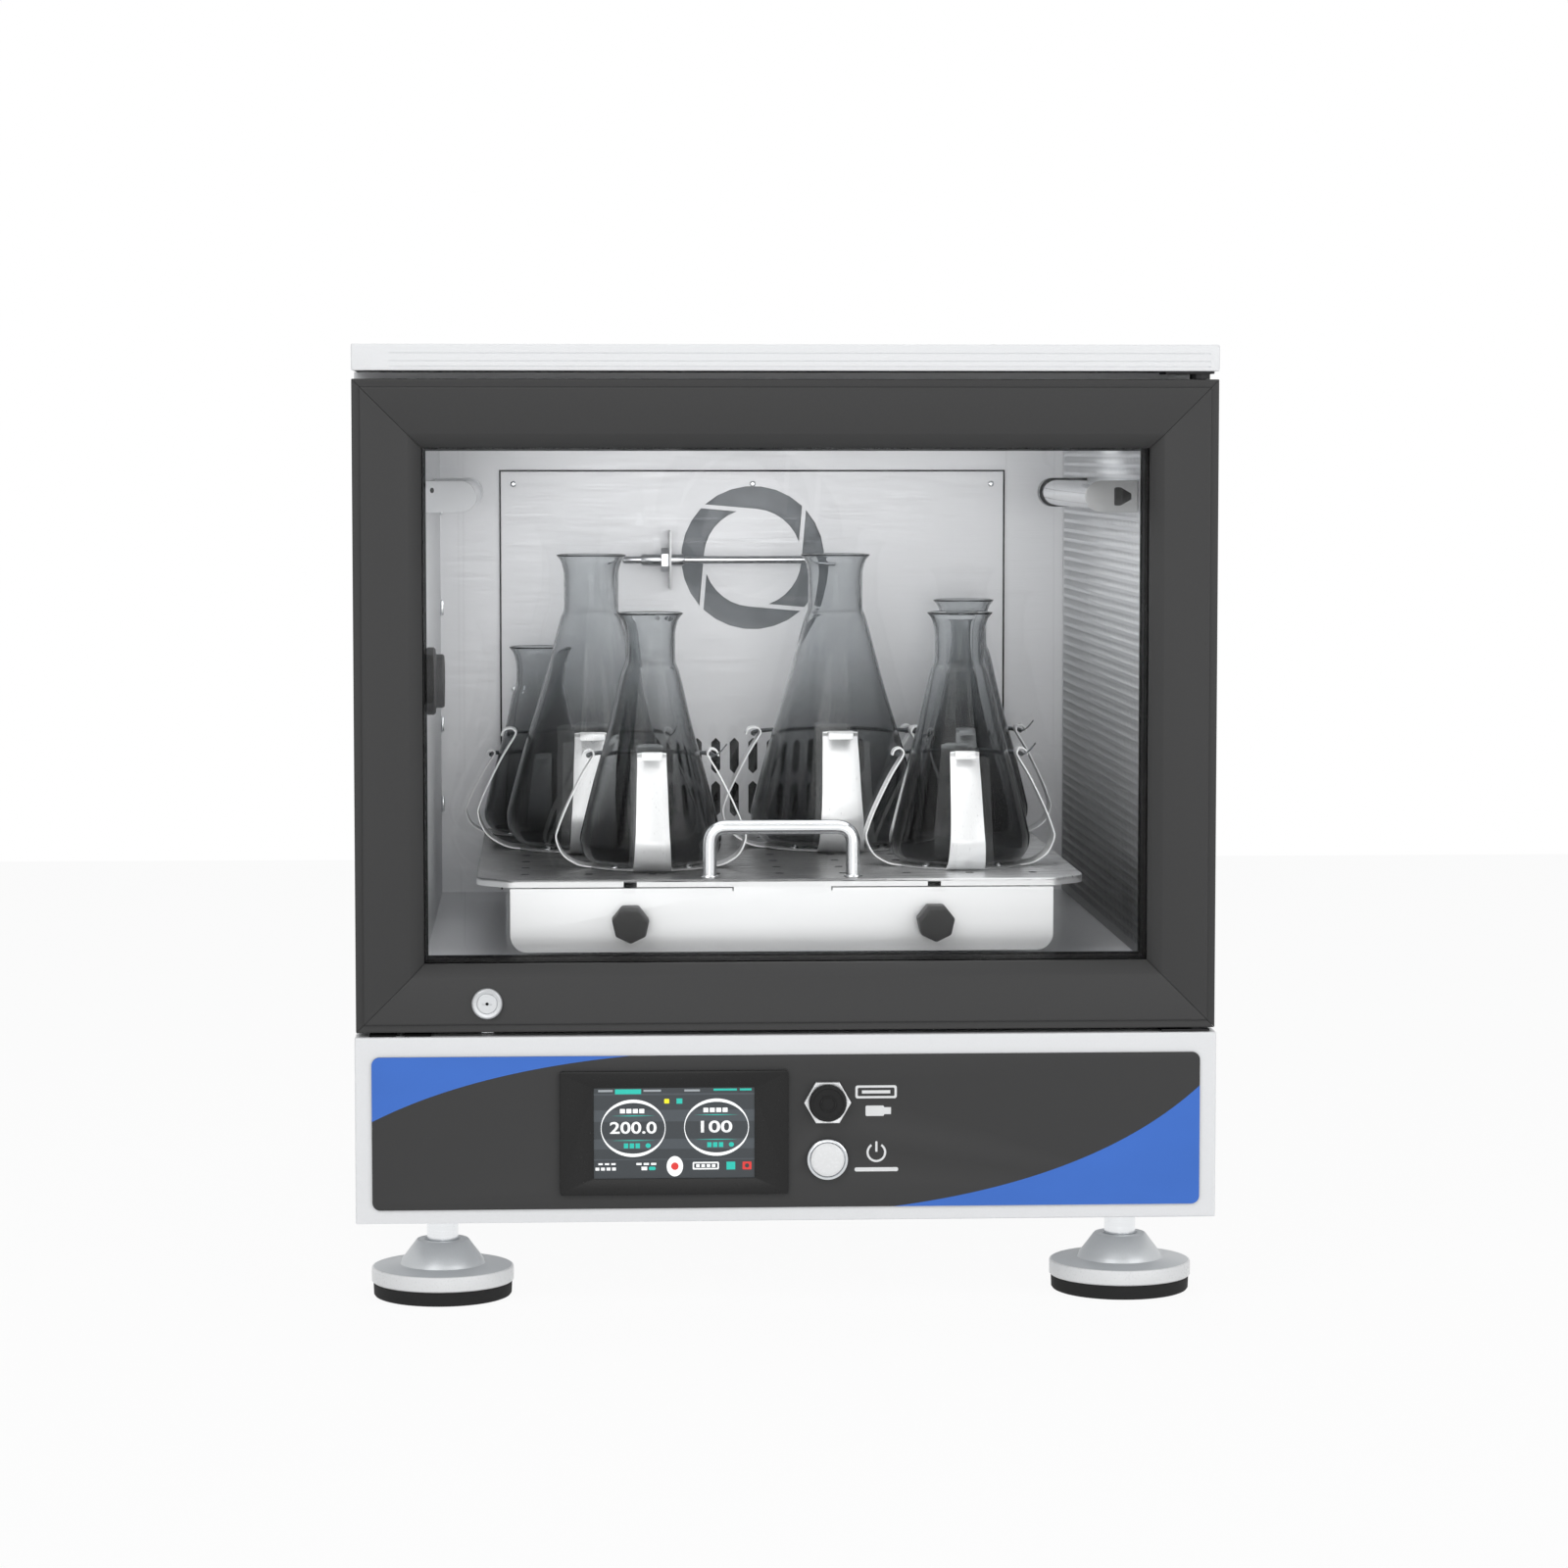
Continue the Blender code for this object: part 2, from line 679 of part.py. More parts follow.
def base_floor():
    gap = SHEET + SLIDE
    plate = block(
        (-BASE_HALF_WIDTH + gap, FRONT_Y + gap, FOOT_HEIGHT),
        (BASE_HALF_WIDTH - gap, REAR_Y - gap, BASE_FLOOR_TOP_Z),
    )
    top = FOOT_HEIGHT + BOSS_HEIGHT
    bore = wide_of(FOOT_STEM_RADIUS, ROUND_SMALL) + SEAT
    for x, y in foot_places():
        boss = upright(x, y, FOOT_HEIGHT + SINK, top, FOOT_STEM_RADIUS + BOSS_WALL, ROUND_SMALL)
        plate = joined(plate, boss)
        plate = cut(plate, upright(x, y, FOOT_HEIGHT - THROUGH, top + THROUGH, bore, ROUND_SMALL))
    return place(plate, "base_floor", "stainless")


def foot_places():
    return [(x, y) for y in (FOOT_FRONT_Y, FOOT_BACK_Y) for x in (-FOOT_X, FOOT_X)]


def levelling_feet():
    names = ("front_left", "front_right", "rear_left", "rear_right")
    disc_z = FOOT_PAD_THICKNESS + SEAT
    rim_z = disc_z + FOOT_RIM
    for name, (x, y) in zip(names, foot_places()):
        empty = axis_empty(f"foot_turn_{name}", (x, y, 0))
        foot = turned(
            [
                (0, FOOT_STEM_TOP_Z),
                (FOOT_STEM_RADIUS, FOOT_STEM_TOP_Z),
                (FOOT_STEM_RADIUS, FOOT_HUB_Z),
                (FOOT_HUB_TOP_RADIUS, FOOT_HUB_Z),
                (FOOT_HUB_RADIUS, rim_z + 0.006),
                (FOOT_RADIUS - 0.0015, rim_z),
                (FOOT_RADIUS, rim_z - 0.0015),
                (FOOT_RADIUS, disc_z),
                (0, disc_z),
            ],
            ROUND_FINE,
            (x, y, 0),
        )
        pad = turned(
            [
                (0, FOOT_PAD_THICKNESS),
                (FOOT_PAD_RADIUS, FOOT_PAD_THICKNESS),
                (FOOT_PAD_RADIUS, 0),
                (0, 0),
            ],
            ROUND_FINE,
            (x, y, 0),
        )
        carry(place(foot, f"levelling_foot_{name}", "bright_steel", 30), empty)
        carry(place(pad, f"foot_pad_{name}", "rubber", 30), empty)


def control_panel():
    w, h = MODULE_WIDTH / 2 + SEAT, MODULE_HEIGHT / 2 + SEAT
    top = OVERLAY_BOTTOM_Z + OVERLAY_HEIGHT
    loops = [
        rounded(-OVERLAY_HALF_WIDTH, OVERLAY_BOTTOM_Z, OVERLAY_HALF_WIDTH, top, OVERLAY_CORNER),
        rectangle(SCREEN_X - w, SCREEN_Z - h, SCREEN_X + w, SCREEN_Z + h),
        circle(CONTROLS_X, PORT_SOCKET_Z, NUT_TUBE_RADIUS + SEAT),
        circle(CONTROLS_X, BUTTON_Z, SLEEVE_RADIUS + SEAT),
    ]
    panel = slab(loops, OVERLAY_THICKNESS, front(FRONT_Y - SEAT))
    return place(panel, "control_panel", "overlay_film")


def touch_screen():
    w, h = SCREEN_WIDTH / 2, SCREEN_HEIGHT / 2
    outline = rounded(SCREEN_X - w, SCREEN_Z - h, SCREEN_X + w, SCREEN_Z + h, 0.002, 2)
    bezel = slab([outline], SCREEN_THICKNESS, front(CONTROL_Y))
    mw, mh = MODULE_WIDTH / 2, MODULE_HEIGHT / 2
    module = block(
        (SCREEN_X - mw, CONTROL_Y - SCREEN_THICKNESS / 2, SCREEN_Z - mh),
        (SCREEN_X + mw, CONTROL_Y + MODULE_DEPTH, SCREEN_Z + mh),
    )
    dw, dh = DISPLAY_WIDTH / 2, DISPLAY_HEIGHT / 2
    face = CONTROL_Y - SCREEN_THICKNESS
    display = block(
        (SCREEN_X - dw, face - 0.001, SCREEN_Z - dh),
        (SCREEN_X + dw, face + 0.0005, SCREEN_Z + dh),
    )
    return place(cut(joined(bezel, module), display), "touch_screen", "black_plastic")


def facing(x, y, z):
    """The matrix that points a turned piece's +Z at the viewer, out of the front."""
    return Matrix.Translation((x, y, z)) @ FACE_FRONT


def data_port():
    at = facing(CONTROLS_X, CONTROL_Y, PORT_SOCKET_Z)
    nut = slab([circle(0, 0, NUT_RADIUS, 6)], NUT_THICKNESS, at)
    tube = rod(
        (CONTROLS_X, CONTROL_Y - NUT_THICKNESS / 2, PORT_SOCKET_Z),
        (CONTROLS_X, CONTROL_Y + SLEEVE_LENGTH, PORT_SOCKET_Z),
        NUT_TUBE_RADIUS,
    )
    bore = rod(
        (CONTROLS_X, CONTROL_Y - NUT_THICKNESS - 0.001, PORT_SOCKET_Z),
        (CONTROLS_X, CONTROL_Y + SLEEVE_LENGTH - SHEET, PORT_SOCKET_Z),
        NUT_BORE,
    )
    place(cut(joined(nut, tube), bore), "port_nut", "bright_steel", 30)
    empty = axis_empty("port_cap_pull", (CONTROLS_X, CONTROL_Y, PORT_SOCKET_Z))
    base = NUT_THICKNESS + SEAT
    top = base + CAP_THICKNESS
    cap = turned(
        [
            (0, top),
            (CAP_RADIUS * 0.42, top),
            (CAP_RADIUS * 0.50, top - 0.0008),
            (CAP_RADIUS * 0.80, top - 0.0008),
            (CAP_RADIUS - 0.0008, top - 0.0014),
            (CAP_RADIUS, top - 0.0024),
            (CAP_RADIUS, base),
            (NUT_BORE - SEAT, base),
            (NUT_BORE - SEAT, base - CAP_STEM),
            (0, base - CAP_STEM),
        ],
        ROUND,
        matrix=at,
    )
    carry(place(cap, "port_cap", "black_plastic", 30), empty)


def power_switch():
    at = facing(CONTROLS_X, CONTROL_Y, BUTTON_Z)
    bore = SLEEVE_RADIUS - SLEEVE_WALL
    ring = turned(
        [
            (RING_BORE, RING_THICKNESS),
            (RING_RADIUS - 0.001, RING_THICKNESS),
            (RING_RADIUS, RING_THICKNESS - 0.001),
            (RING_RADIUS, 0),
            (SLEEVE_RADIUS, 0),
            (SLEEVE_RADIUS, -SLEEVE_LENGTH),
            (bore, -SLEEVE_LENGTH),
            (bore, 0.0005),
            (RING_BORE, 0.0005),
        ],
        ROUND,
        matrix=at,
    )
    place(ring, "button_ring", "bright_steel", 30)
    empty = axis_empty("power_press", (CONTROLS_X, CONTROL_Y, BUTTON_Z))
    back = 0.0005 + SEAT + BUTTON_TRAVEL
    face = back + BUTTON_THICKNESS
    button = turned(
        [
            (0, face + 0.0004),
            (RING_BORE * 0.6, face),
            (RING_BORE - SEAT - 0.0006, face - 0.0004),
            (RING_BORE - SEAT, face - 0.001),
            (RING_BORE - SEAT, back),
            (bore - SEAT, back),
            (bore - SEAT, -SLEEVE_LENGTH + 0.002),
            (0, -SLEEVE_LENGTH + 0.002),
        ],
        ROUND,
        matrix=at,
    )
    carry(place(button, "power_button", "white_plastic", 30), empty)


def cabinet_shell():
    low = (-HALF_WIDTH, SHELL_FRONT_Y, BASE_TOP_Z + SEAT)
    high = (HALF_WIDTH, SHELL_BACK_Y, COVER_BOTTOM_Z - SEAT)
    body = open_box(low, high, SHEET, "+y")
    mouth = block(
        (-CHAMBER_HALF_WIDTH, SHELL_FRONT_Y - SHEET, CHAMBER_FLOOR_Z),
        (CHAMBER_HALF_WIDTH + SIDE_PLENUM, SHELL_FRONT_Y + 2 * SHEET, CHAMBER_CEILING_Z),
    )
    body = cut(body, mouth)
    body = tower_holes(body, BASE_TOP_Z - SHEET, BASE_TOP_Z + 3 * SHEET)
    return place(body, "cabinet_shell", "white_paint")


def top_cover():
    cover = block((-HALF_WIDTH, FRONT_Y, COVER_BOTTOM_Z), (HALF_WIDTH, REAR_Y, COVER_TOP_Z))
    wall = SHEET
    pocket = block(
        (-HALF_WIDTH + wall, FRONT_Y + wall, COVER_BOTTOM_Z - 0.01),
        (HALF_WIDTH - wall, REAR_Y - wall, COVER_TOP_Z - 0.006),
    )
    cover = cut(cover, pocket)
    floor, hollow = COVER_TOP_Z - FOOT_RECESS, FOOT_RADIUS + FOOT_RECESS_PLAY
    for x, y in foot_places():
        cover = cut(cover, upright(x, y, floor, COVER_TOP_Z + THROUGH, hollow))
    for z in (COVER_TOP_Z - 0.0063, COVER_TOP_Z - 0.0115):
        groove = block(
            (-HALF_WIDTH + 0.026, FRONT_Y - 0.01, z - 0.0006),
            (HALF_WIDTH - 0.006, FRONT_Y + 0.0008, z + 0.0006),
        )
        cover = cut(cover, groove)
    return place(cover, "top_cover", "white_paint")


def liner_blocks(grow, shrink_front=0.0):
    """The chamber and its fan plenum as two blocks, grown by the same amount all round."""
    mouth = SHELL_FRONT_Y + SHEET + SEAT - shrink_front
    chamber = block(
        (-CHAMBER_HALF_WIDTH - grow, mouth, CHAMBER_FLOOR_Z - grow),
        (CHAMBER_HALF_WIDTH + SIDE_PLENUM + grow, CHAMBER_BACK_Y + grow, CHAMBER_CEILING_Z + grow),
    )
    edge = 0.010
    plenum = block(
        (-PANEL_HALF_WIDTH + edge - grow, CHAMBER_BACK_Y - 0.01, CHAMBER_FLOOR_Z + edge - grow),
        (PANEL_HALF_WIDTH - edge + grow, CHAMBER_BACK_Y + FAN_PLENUM + grow, PANEL_TOP_Z - edge + grow),
    )
    return chamber, plenum


def chamber_liner():
    body = joined(*liner_blocks(LINER))
    body = cut(body, *liner_blocks(0.0, 0.02))
    body = tower_holes(body, CHAMBER_FLOOR_Z - 0.01, CHAMBER_FLOOR_Z + 0.01)
    back = CHAMBER_BACK_Y + FAN_PLENUM
    body = cut(body, rod((0, back - 0.01, FAN_Z), (0, back + 0.01, FAN_Z), FAN_SHAFT_RADIUS + STEP_OVER))
    port = rod(
        (-CHAMBER_HALF_WIDTH + 0.01, PORT_Y, PORT_Z),
        (-CHAMBER_HALF_WIDTH - 0.01, PORT_Y, PORT_Z),
        PORT_RADIUS + SEAT,
    )
    return place(cut(body, port), "chamber_liner", "stainless")


def insulation_foam():
    gap = SHEET + SEAT
    body = block(
        (-HALF_WIDTH + gap, SHELL_FRONT_Y + gap, BASE_TOP_Z + SEAT + gap),
        (HALF_WIDTH - gap, CHAMBER_BACK_Y + FAN_PLENUM + FOAM_BACK, COVER_BOTTOM_Z - SEAT - gap),
    )
    body = cut(body, *liner_blocks(LINER + SEAT, 0.02))
    body = tower_holes(body, BASE_TOP_Z, CHAMBER_FLOOR_Z + 0.01)
    back = CHAMBER_BACK_Y + FAN_PLENUM
    motor = rod((0, back - 0.01, FAN_Z), (0, back + FOAM_BACK + 0.01, FAN_Z), FAN_MOTOR_RADIUS + SLIDE)
    port = rod(
        (-CHAMBER_HALF_WIDTH + THROUGH, PORT_Y, PORT_Z),
        (-HALF_WIDTH - THROUGH, PORT_Y, PORT_Z),
        PORT_RADIUS + SEAT,
    )
    return place(cut(body, motor, port), "insulation_foam", "foam")


def rear_cover():
    low = (-HALF_WIDTH, SHELL_BACK_Y + SEAT, BASE_TOP_Z + SEAT)
    high = (HALF_WIDTH, REAR_Y, COVER_BOTTOM_Z - SEAT)
    body = open_box(low, high, SHEET, "-y")
    for row in range(COVER_VENTS):
        z = COVER_BOTTOM_Z - COVER_VENT_DROP + row * COVER_VENT_PITCH
        slot_low = (-COVER_VENT_HALF_LENGTH, REAR_Y - 2 * SHEET, z)
        slot_high = (COVER_VENT_HALF_LENGTH, REAR_Y + SHEET, z + COVER_VENT_HEIGHT)
        body = cut(body, block(slot_low, slot_high))
    return place(body, "rear_cover", "white_paint")


def fan_ring_slots():
    """The ring of outlet slots in front of the fan, parted by webs that lie along its inner circle."""
    loops = []
    near = FAN_SLOT_INNER - FAN_WEB
    for i in range(FAN_SLOTS):
        web = pi / 2 - FAN_WEB_LEAN + 2 * pi * i / FAN_SLOTS
        before = web - 2 * pi / FAN_SLOTS
        outer_start = before + acos(near / FAN_SLOT_OUTER)
        outer_end = web + acos(FAN_SLOT_INNER / FAN_SLOT_OUTER)
        inner_end = before + acos(near / FAN_SLOT_INNER)
        loops.append(
            arc(0, FAN_Z, FAN_SLOT_OUTER, outer_start, outer_end, 7)
            + arc(0, FAN_Z, FAN_SLOT_INNER, web, inner_end, 6)
        )
    return loops


def back_air_panel():
    loops = [rectangle(-PANEL_HALF_WIDTH, CHAMBER_FLOOR_Z + 0.002, PANEL_HALF_WIDTH, PANEL_TOP_Z)]
    loops += fan_ring_slots()
    for row in range(2):
        for column in range(GRILLE_COLUMNS):
            x = (column - (GRILLE_COLUMNS - 1) / 2) * GRILLE_PITCH
            top = GRILLE_TOP_Z - row * GRILLE_ROW_PITCH
            loops.append(upright_slot(x, top, GRILLE_SLOT_WIDTH, GRILLE_SLOT_HEIGHT))
    panel = slab(loops, LINER, front(CHAMBER_BACK_Y - SEAT))
    return place(panel, "back_air_panel", "stainless")


def side_air_panel():
    """The perforated false wall on the right, standing off the liner on its folded edges."""
    y0, y1 = SHELL_FRONT_Y + 0.012, CHAMBER_BACK_Y - 0.004
    z0, z1 = CHAMBER_FLOOR_Z + SEAT, CHAMBER_CEILING_Z - 0.012
    loops = [rectangle(y0, z0, y1, z1)]
    columns, rows = PERFORATED_COLUMNS, PERFORATED_ROWS
    for column in range(columns):
        for row in range(rows):
            y = y0 + (column + 0.7) * (y1 - y0) / (columns + 0.4)
            z = z0 + (row + 0.25) * (z1 - z0) / (rows + 0.1)
            loops.append(rectangle(y, z, y + PERFORATED_SLOT, z + PERFORATED_LENGTH))
    matrix = Matrix.Translation((CHAMBER_HALF_WIDTH, 0, 0)) @ FACE_SIDE
    sheet = slab(loops, LINER, matrix)
    stand = CHAMBER_HALF_WIDTH + SIDE_PLENUM - SEAT
    for y in (y0, y1 - LINER):
        fold = block((CHAMBER_HALF_WIDTH + LINER / 2, y, z0), (stand, y + LINER, z1))
        sheet = joined(sheet, fold)
    return place(sheet, "side_air_panel", "stainless")


def chamber_lamps():
    """A lamp bar on each side wall, with a round nose towards the middle."""
    r = LAMP_HEIGHT / 2
    for name, side in (("lamp_left", -1), ("lamp_right", 1)):
        wall = CHAMBER_HALF_WIDTH - SEAT
        nose = wall - LAMP_WIDTH + r
        outline = [(side * wall, LAMP_Z - r), (side * wall, LAMP_Z + r)]
        outline += [(side * x, z) for x, z in arc(nose, LAMP_Z, r, pi / 2, 3 * pi / 2, 6)]
        lamp = slab([outline], LAMP_BACK_Y - LAMP_FRONT_Y, front(LAMP_BACK_Y))
        place(lamp, name, "lamp_cover", 40)


def wall_port_plug():
    inward = Matrix.Rotation(pi / 2, 4, "Y")
    at = (-CHAMBER_HALF_WIDTH + SEAT, PORT_Y, PORT_Z)
    plug = turned(
        [
            (0, 0.0125),
            (PORT_GRIP_RADIUS - 0.001, 0.0125),
            (PORT_GRIP_RADIUS, 0.0115),
            (PORT_GRIP_RADIUS, 0.0065),
            (PORT_FLANGE_RADIUS - 0.001, 0.0065),
            (PORT_FLANGE_RADIUS, 0.0055),
            (PORT_FLANGE_RADIUS, 0),
            (PORT_RADIUS, 0),
            (PORT_RADIUS - 0.001, -PORT_PLUG),
            (0, -PORT_PLUG),
        ],
        ROUND,
        at,
        inward,
    )
    empty = axis_empty("port_plug_pull", (-CHAMBER_HALF_WIDTH, PORT_Y, PORT_Z))
    carry(place(plug, "wall_port_plug", "grey_plastic", 30), empty)


def temperature_probe():
    """The sensor rod across the fan's outlet, held by a plate that stands on the back panel."""
    panel_y = CHAMBER_BACK_Y - SEAT - LINER - SEAT
    half = PROBE_BRACKET_HEIGHT / 2
    left, right = PROBE_BRACKET_X - PROBE_BRACKET / 2, PROBE_BRACKET_X + PROBE_BRACKET / 2

    def along(x0, x1, radius, sides=ROUND_SMALL):
        return rod((x0, PROBE_Y, PROBE_Z), (x1, PROBE_Y, PROBE_Z), radius, sides)

    stem = along(PROBE_LEFT_X, PROBE_RIGHT_X, PROBE_RADIUS)
    sleeve = along(left - PROBE_SLEEVE, right + PROBE_SLEEVE / 2, PROBE_SLEEVE_RADIUS)
    nut = along(left - PROBE_NUT, left + PROBE_BRACKET / 4, PROBE_NUT_RADIUS, 6)
    arm = block((left, PROBE_Y - PROBE_ARM, PROBE_Z - half), (right, panel_y, PROBE_Z + half))
    return place(joined(stem, sleeve, nut, arm), "temperature_probe", "bright_steel")


def blade_outline(foot):
    """One swept blade and the stretch of hub after it, as points round the shaft."""
    tip = IMPELLER_RADIUS - 0.002
    lead = [(IMPELLER_HUB, 0.0), (IMPELLER_RADIUS * 0.6, 0.26), (tip, 0.50)]
    trail = [(r, a + IMPELLER_BLADE / r) for r, a in reversed(lead)]
    points = lead + trail + [(IMPELLER_HUB, 0.40)]
    return [(r * cos(foot + a), r * sin(foot + a)) for r, a in points]


def fan():
    back = CHAMBER_BACK_Y + FAN_PLENUM + LINER + SEAT
    shaft_end = back + FAN_MOTOR_LENGTH / 2

    def along(y0, y1, radius, sides=ROUND):
        return rod((0, y0, FAN_Z), (0, y1, FAN_Z), radius, sides)

    motor = along(back, back + FAN_MOTOR_LENGTH, FAN_MOTOR_RADIUS)
    bore = along(back - THROUGH, shaft_end, FAN_SHAFT_RADIUS + SEAT, ROUND_SMALL)
    place(cut(motor, bore), "fan_motor", "cast_aluminium", 30)
    empty = axis_empty("fan_spin", (0, back, FAN_Z))
    outline = []
    for i in range(IMPELLER_BLADES):
        outline += blade_outline(2 * pi * i / IMPELLER_BLADES)
    plate_y = CHAMBER_BACK_Y + IMPELLER_GAP + IMPELLER_DEPTH
    at = Matrix.Translation((0, plate_y, FAN_Z)) @ FACE_FRONT
    blades = slab([outline], IMPELLER_DEPTH, at)
    plate = along(plate_y - SINK, plate_y + SINK, IMPELLER_RADIUS)
    shaft = along(plate_y, shaft_end - FAN_MOTOR_LENGTH / 20, FAN_SHAFT_RADIUS, ROUND_SMALL)
    carry(place(joined(blades, plate, shaft), "fan_impeller", "cast_aluminium"), empty)


def door():
    empty = axis_empty("door_hinge", (HINGE_X, HINGE_Y, DOOR_BOTTOM_Z))
    groove_y = FRONT_Y + FRAME_BEVEL_DEPTH + 0.0025
    glass_y = groove_y + GLASS_THICKNESS + 2 * SEAT
    section = [
        (0, DOOR_BACK_Y),
        (0, FRONT_Y + EDGE_STEP_DEPTH + 0.001),
        (0.001, FRONT_Y + EDGE_STEP_DEPTH),
        (EDGE_STEP_WIDTH, FRONT_Y + EDGE_STEP_DEPTH),
        (EDGE_STEP_WIDTH + 0.0012, FRONT_Y),
        (FRAME_WIDTH - FRAME_BEVEL, FRONT_Y),
        (FRAME_WIDTH, FRONT_Y + FRAME_BEVEL_DEPTH),
        (FRAME_WIDTH, groove_y),
        (FRAME_WIDTH - GLASS_GROOVE, groove_y),
        (FRAME_WIDTH - GLASS_GROOVE, glass_y),
        (FRAME_WIDTH, glass_y),
        (FRAME_WIDTH, DOOR_BACK_Y),
    ]
    frame = mitred_frame(HALF_WIDTH, DOOR_BOTTOM_Z, DOOR_TOP_Z, section)
    socket = HINGE_PIN_RADIUS + SEAT
    lower = (DOOR_BOTTOM_Z - THROUGH, DOOR_BOTTOM_Z + HINGE_PIN_LENGTH)
    upper = (DOOR_TOP_Z - HINGE_PIN_LENGTH, DOOR_TOP_Z + THROUGH)
    for z0, z1 in (lower, upper):
        frame = cut(frame, upright(HINGE_X, HINGE_Y, z0, z1, socket, ROUND_SMALL))
    mid_y = FRONT_Y + DOOR_DEPTH / 2
    lock_hole = LOCK_RADIUS - 0.0017 + SEAT
    frame = cut(
        frame,
        rod((LOCK_X, FRONT_Y - 0.01, LOCK_Z), (LOCK_X, mid_y + 0.006, LOCK_Z), lock_hole),
        block(
            (LOCK_X - BOLT_WIDTH / 2 - SEAT, mid_y - BOLT_THICKNESS / 2 - SEAT, DOOR_BOTTOM_Z - 0.01),
            (LOCK_X + BOLT_WIDTH / 2 + SEAT, mid_y + BOLT_THICKNESS / 2 + SEAT, LOCK_Z),
        ),
    )
    carry(place(frame, "door_frame", "charcoal_paint"), empty)
    inset = FRAME_WIDTH - GLASS_GROOVE + SEAT
    glass = block(
        (-HALF_WIDTH + inset, groove_y + SEAT, DOOR_BOTTOM_Z + inset),
        (HALF_WIDTH - inset, groove_y + SEAT + GLASS_THICKNESS, DOOR_TOP_Z - inset),
    )
    carry(place(glass, "door_glass", "glass"), empty)
    inner = FRAME_WIDTH + GASKET_SHOW
    outer = inner - GASKET_WIDTH
    seal = [
        (outer, DOOR_BACK_Y + SEAT),
        (inner, DOOR_BACK_Y + SEAT),
        (inner - 0.001, DOOR_BACK_Y + GASKET_DEPTH * 0.6),
        (inner - 0.004, DOOR_BACK_Y + GASKET_DEPTH),
        (outer + 0.003, DOOR_BACK_Y + GASKET_DEPTH),
    ]
    gasket = mitred_frame(HALF_WIDTH, DOOR_BOTTOM_Z, DOOR_TOP_Z, seal)
    carry(place(gasket, "door_gasket", "rubber"), empty)


def door_lock():
    empty = axis_empty("lock_turn", (LOCK_X, FRONT_Y, LOCK_Z))
    mid_y = FRONT_Y + DOOR_DEPTH / 2
    back = -(mid_y - BOLT_THICKNESS / 2 - SLIDE - FRONT_Y)
    cylinder = turned(
        [
            (0, LOCK_REACH),
            (LOCK_RADIUS - 0.0012, LOCK_REACH),
            (LOCK_RADIUS, LOCK_REACH - 0.0012),
            (LOCK_RADIUS, SEAT),
            (LOCK_RADIUS - 0.0017, SEAT),
            (LOCK_RADIUS - 0.0017, back),
            (0, back),
        ],
        ROUND,
        matrix=facing(LOCK_X, FRONT_Y, LOCK_Z),
    )
    keyway = block(
        (LOCK_X - 0.0035, FRONT_Y - LOCK_REACH - 0.001, LOCK_Z - 0.0006),
        (LOCK_X + 0.0035, FRONT_Y - LOCK_REACH + 0.002, LOCK_Z + 0.0006),
    )
    carry(place(cut(cylinder, keyway), "lock_cylinder", "bright_steel", 30), empty)
    slide = axis_empty("bolt_slide", (LOCK_X, mid_y, DOOR_BOTTOM_Z))
    bolt = block(
        (LOCK_X - BOLT_WIDTH / 2, mid_y - BOLT_THICKNESS / 2, DOOR_BOTTOM_Z - DOOR_GAP_BELOW + SLIDE),
        (LOCK_X + BOLT_WIDTH / 2, mid_y + BOLT_THICKNESS / 2, LOCK_Z - SEAT),
    )
    carry(place(bolt, "latch_bolt", "bright_steel"), slide)


def door_hinges():
    back = DOOR_BACK_Y - 0.006
    for name, seat_z, up, height in (
        ("hinge_lower", BASE_TOP_Z, 1, DOOR_GAP_BELOW),
        ("hinge_upper", COVER_BOTTOM_Z, -1, DOOR_GAP_ABOVE),
    ):
        near = seat_z + up * SEAT
        plate_top = near + up * HINGE_PLATE
        inside = near + up * HINGE_PLATE / 3
        collar = seat_z + up * (height - SEAT)
        tip = seat_z + up * (height + HINGE_PIN_LENGTH - 0.001)
        x1 = HALF_WIDTH - HINGE_PLATE_INSET
        x0 = x1 - HINGE_PLATE_WIDTH
        plate = block(
            (x0, FRONT_Y + HINGE_PLATE_INSET, min(near, plate_top)),
            (x1, back, max(near, plate_top)),
        )
        washer = upright(HINGE_X, HINGE_Y, inside, collar, HINGE_WASHER_RADIUS, ROUND_SMALL)
        pin = upright(HINGE_X, HINGE_Y, inside, tip, HINGE_PIN_RADIUS, ROUND_SMALL)
        place(joined(plate, washer, pin), name, "bright_steel")


def drive_frame():
    top = DRIVE_PLATE_Z + DRIVE_PLATE
    foot_z = BASE_FLOOR_TOP_Z + SEAT

    def between(x0, x1, bottom, top):
        return block(
            (min(x0, x1), DRIVE_FRONT_Y, bottom),
            (max(x0, x1), DRIVE_BACK_Y, top),
        )

    frame = between(-DRIVE_HALF_WIDTH, DRIVE_HALF_WIDTH, DRIVE_PLATE_Z, top)
    for side in (-1, 1):
        outer = side * DRIVE_HALF_WIDTH
        inner = side * (DRIVE_HALF_WIDTH - DRIVE_LEG)
        toe = side * (DRIVE_HALF_WIDTH - DRIVE_TOE)
        leg = between(outer, inner, foot_z, DRIVE_PLATE_Z + SINK)
        frame = joined(frame, leg, between(outer, toe, foot_z, foot_z + DRIVE_LEG))
    for x, y, radius in crank_axes():
        frame = joined(frame, upright(x, y, DRIVE_PLATE_Z + SINK, TOWER_TOP_Z, radius))
    for x, y, radius in crank_axes():
        bore = upright(x, y, DRIVE_PLATE_Z - THROUGH, TOWER_TOP_Z + THROUGH, radius - TOWER_WALL)
        frame = cut(frame, bore)
    return place(frame, "drive_frame", "cast_aluminium")


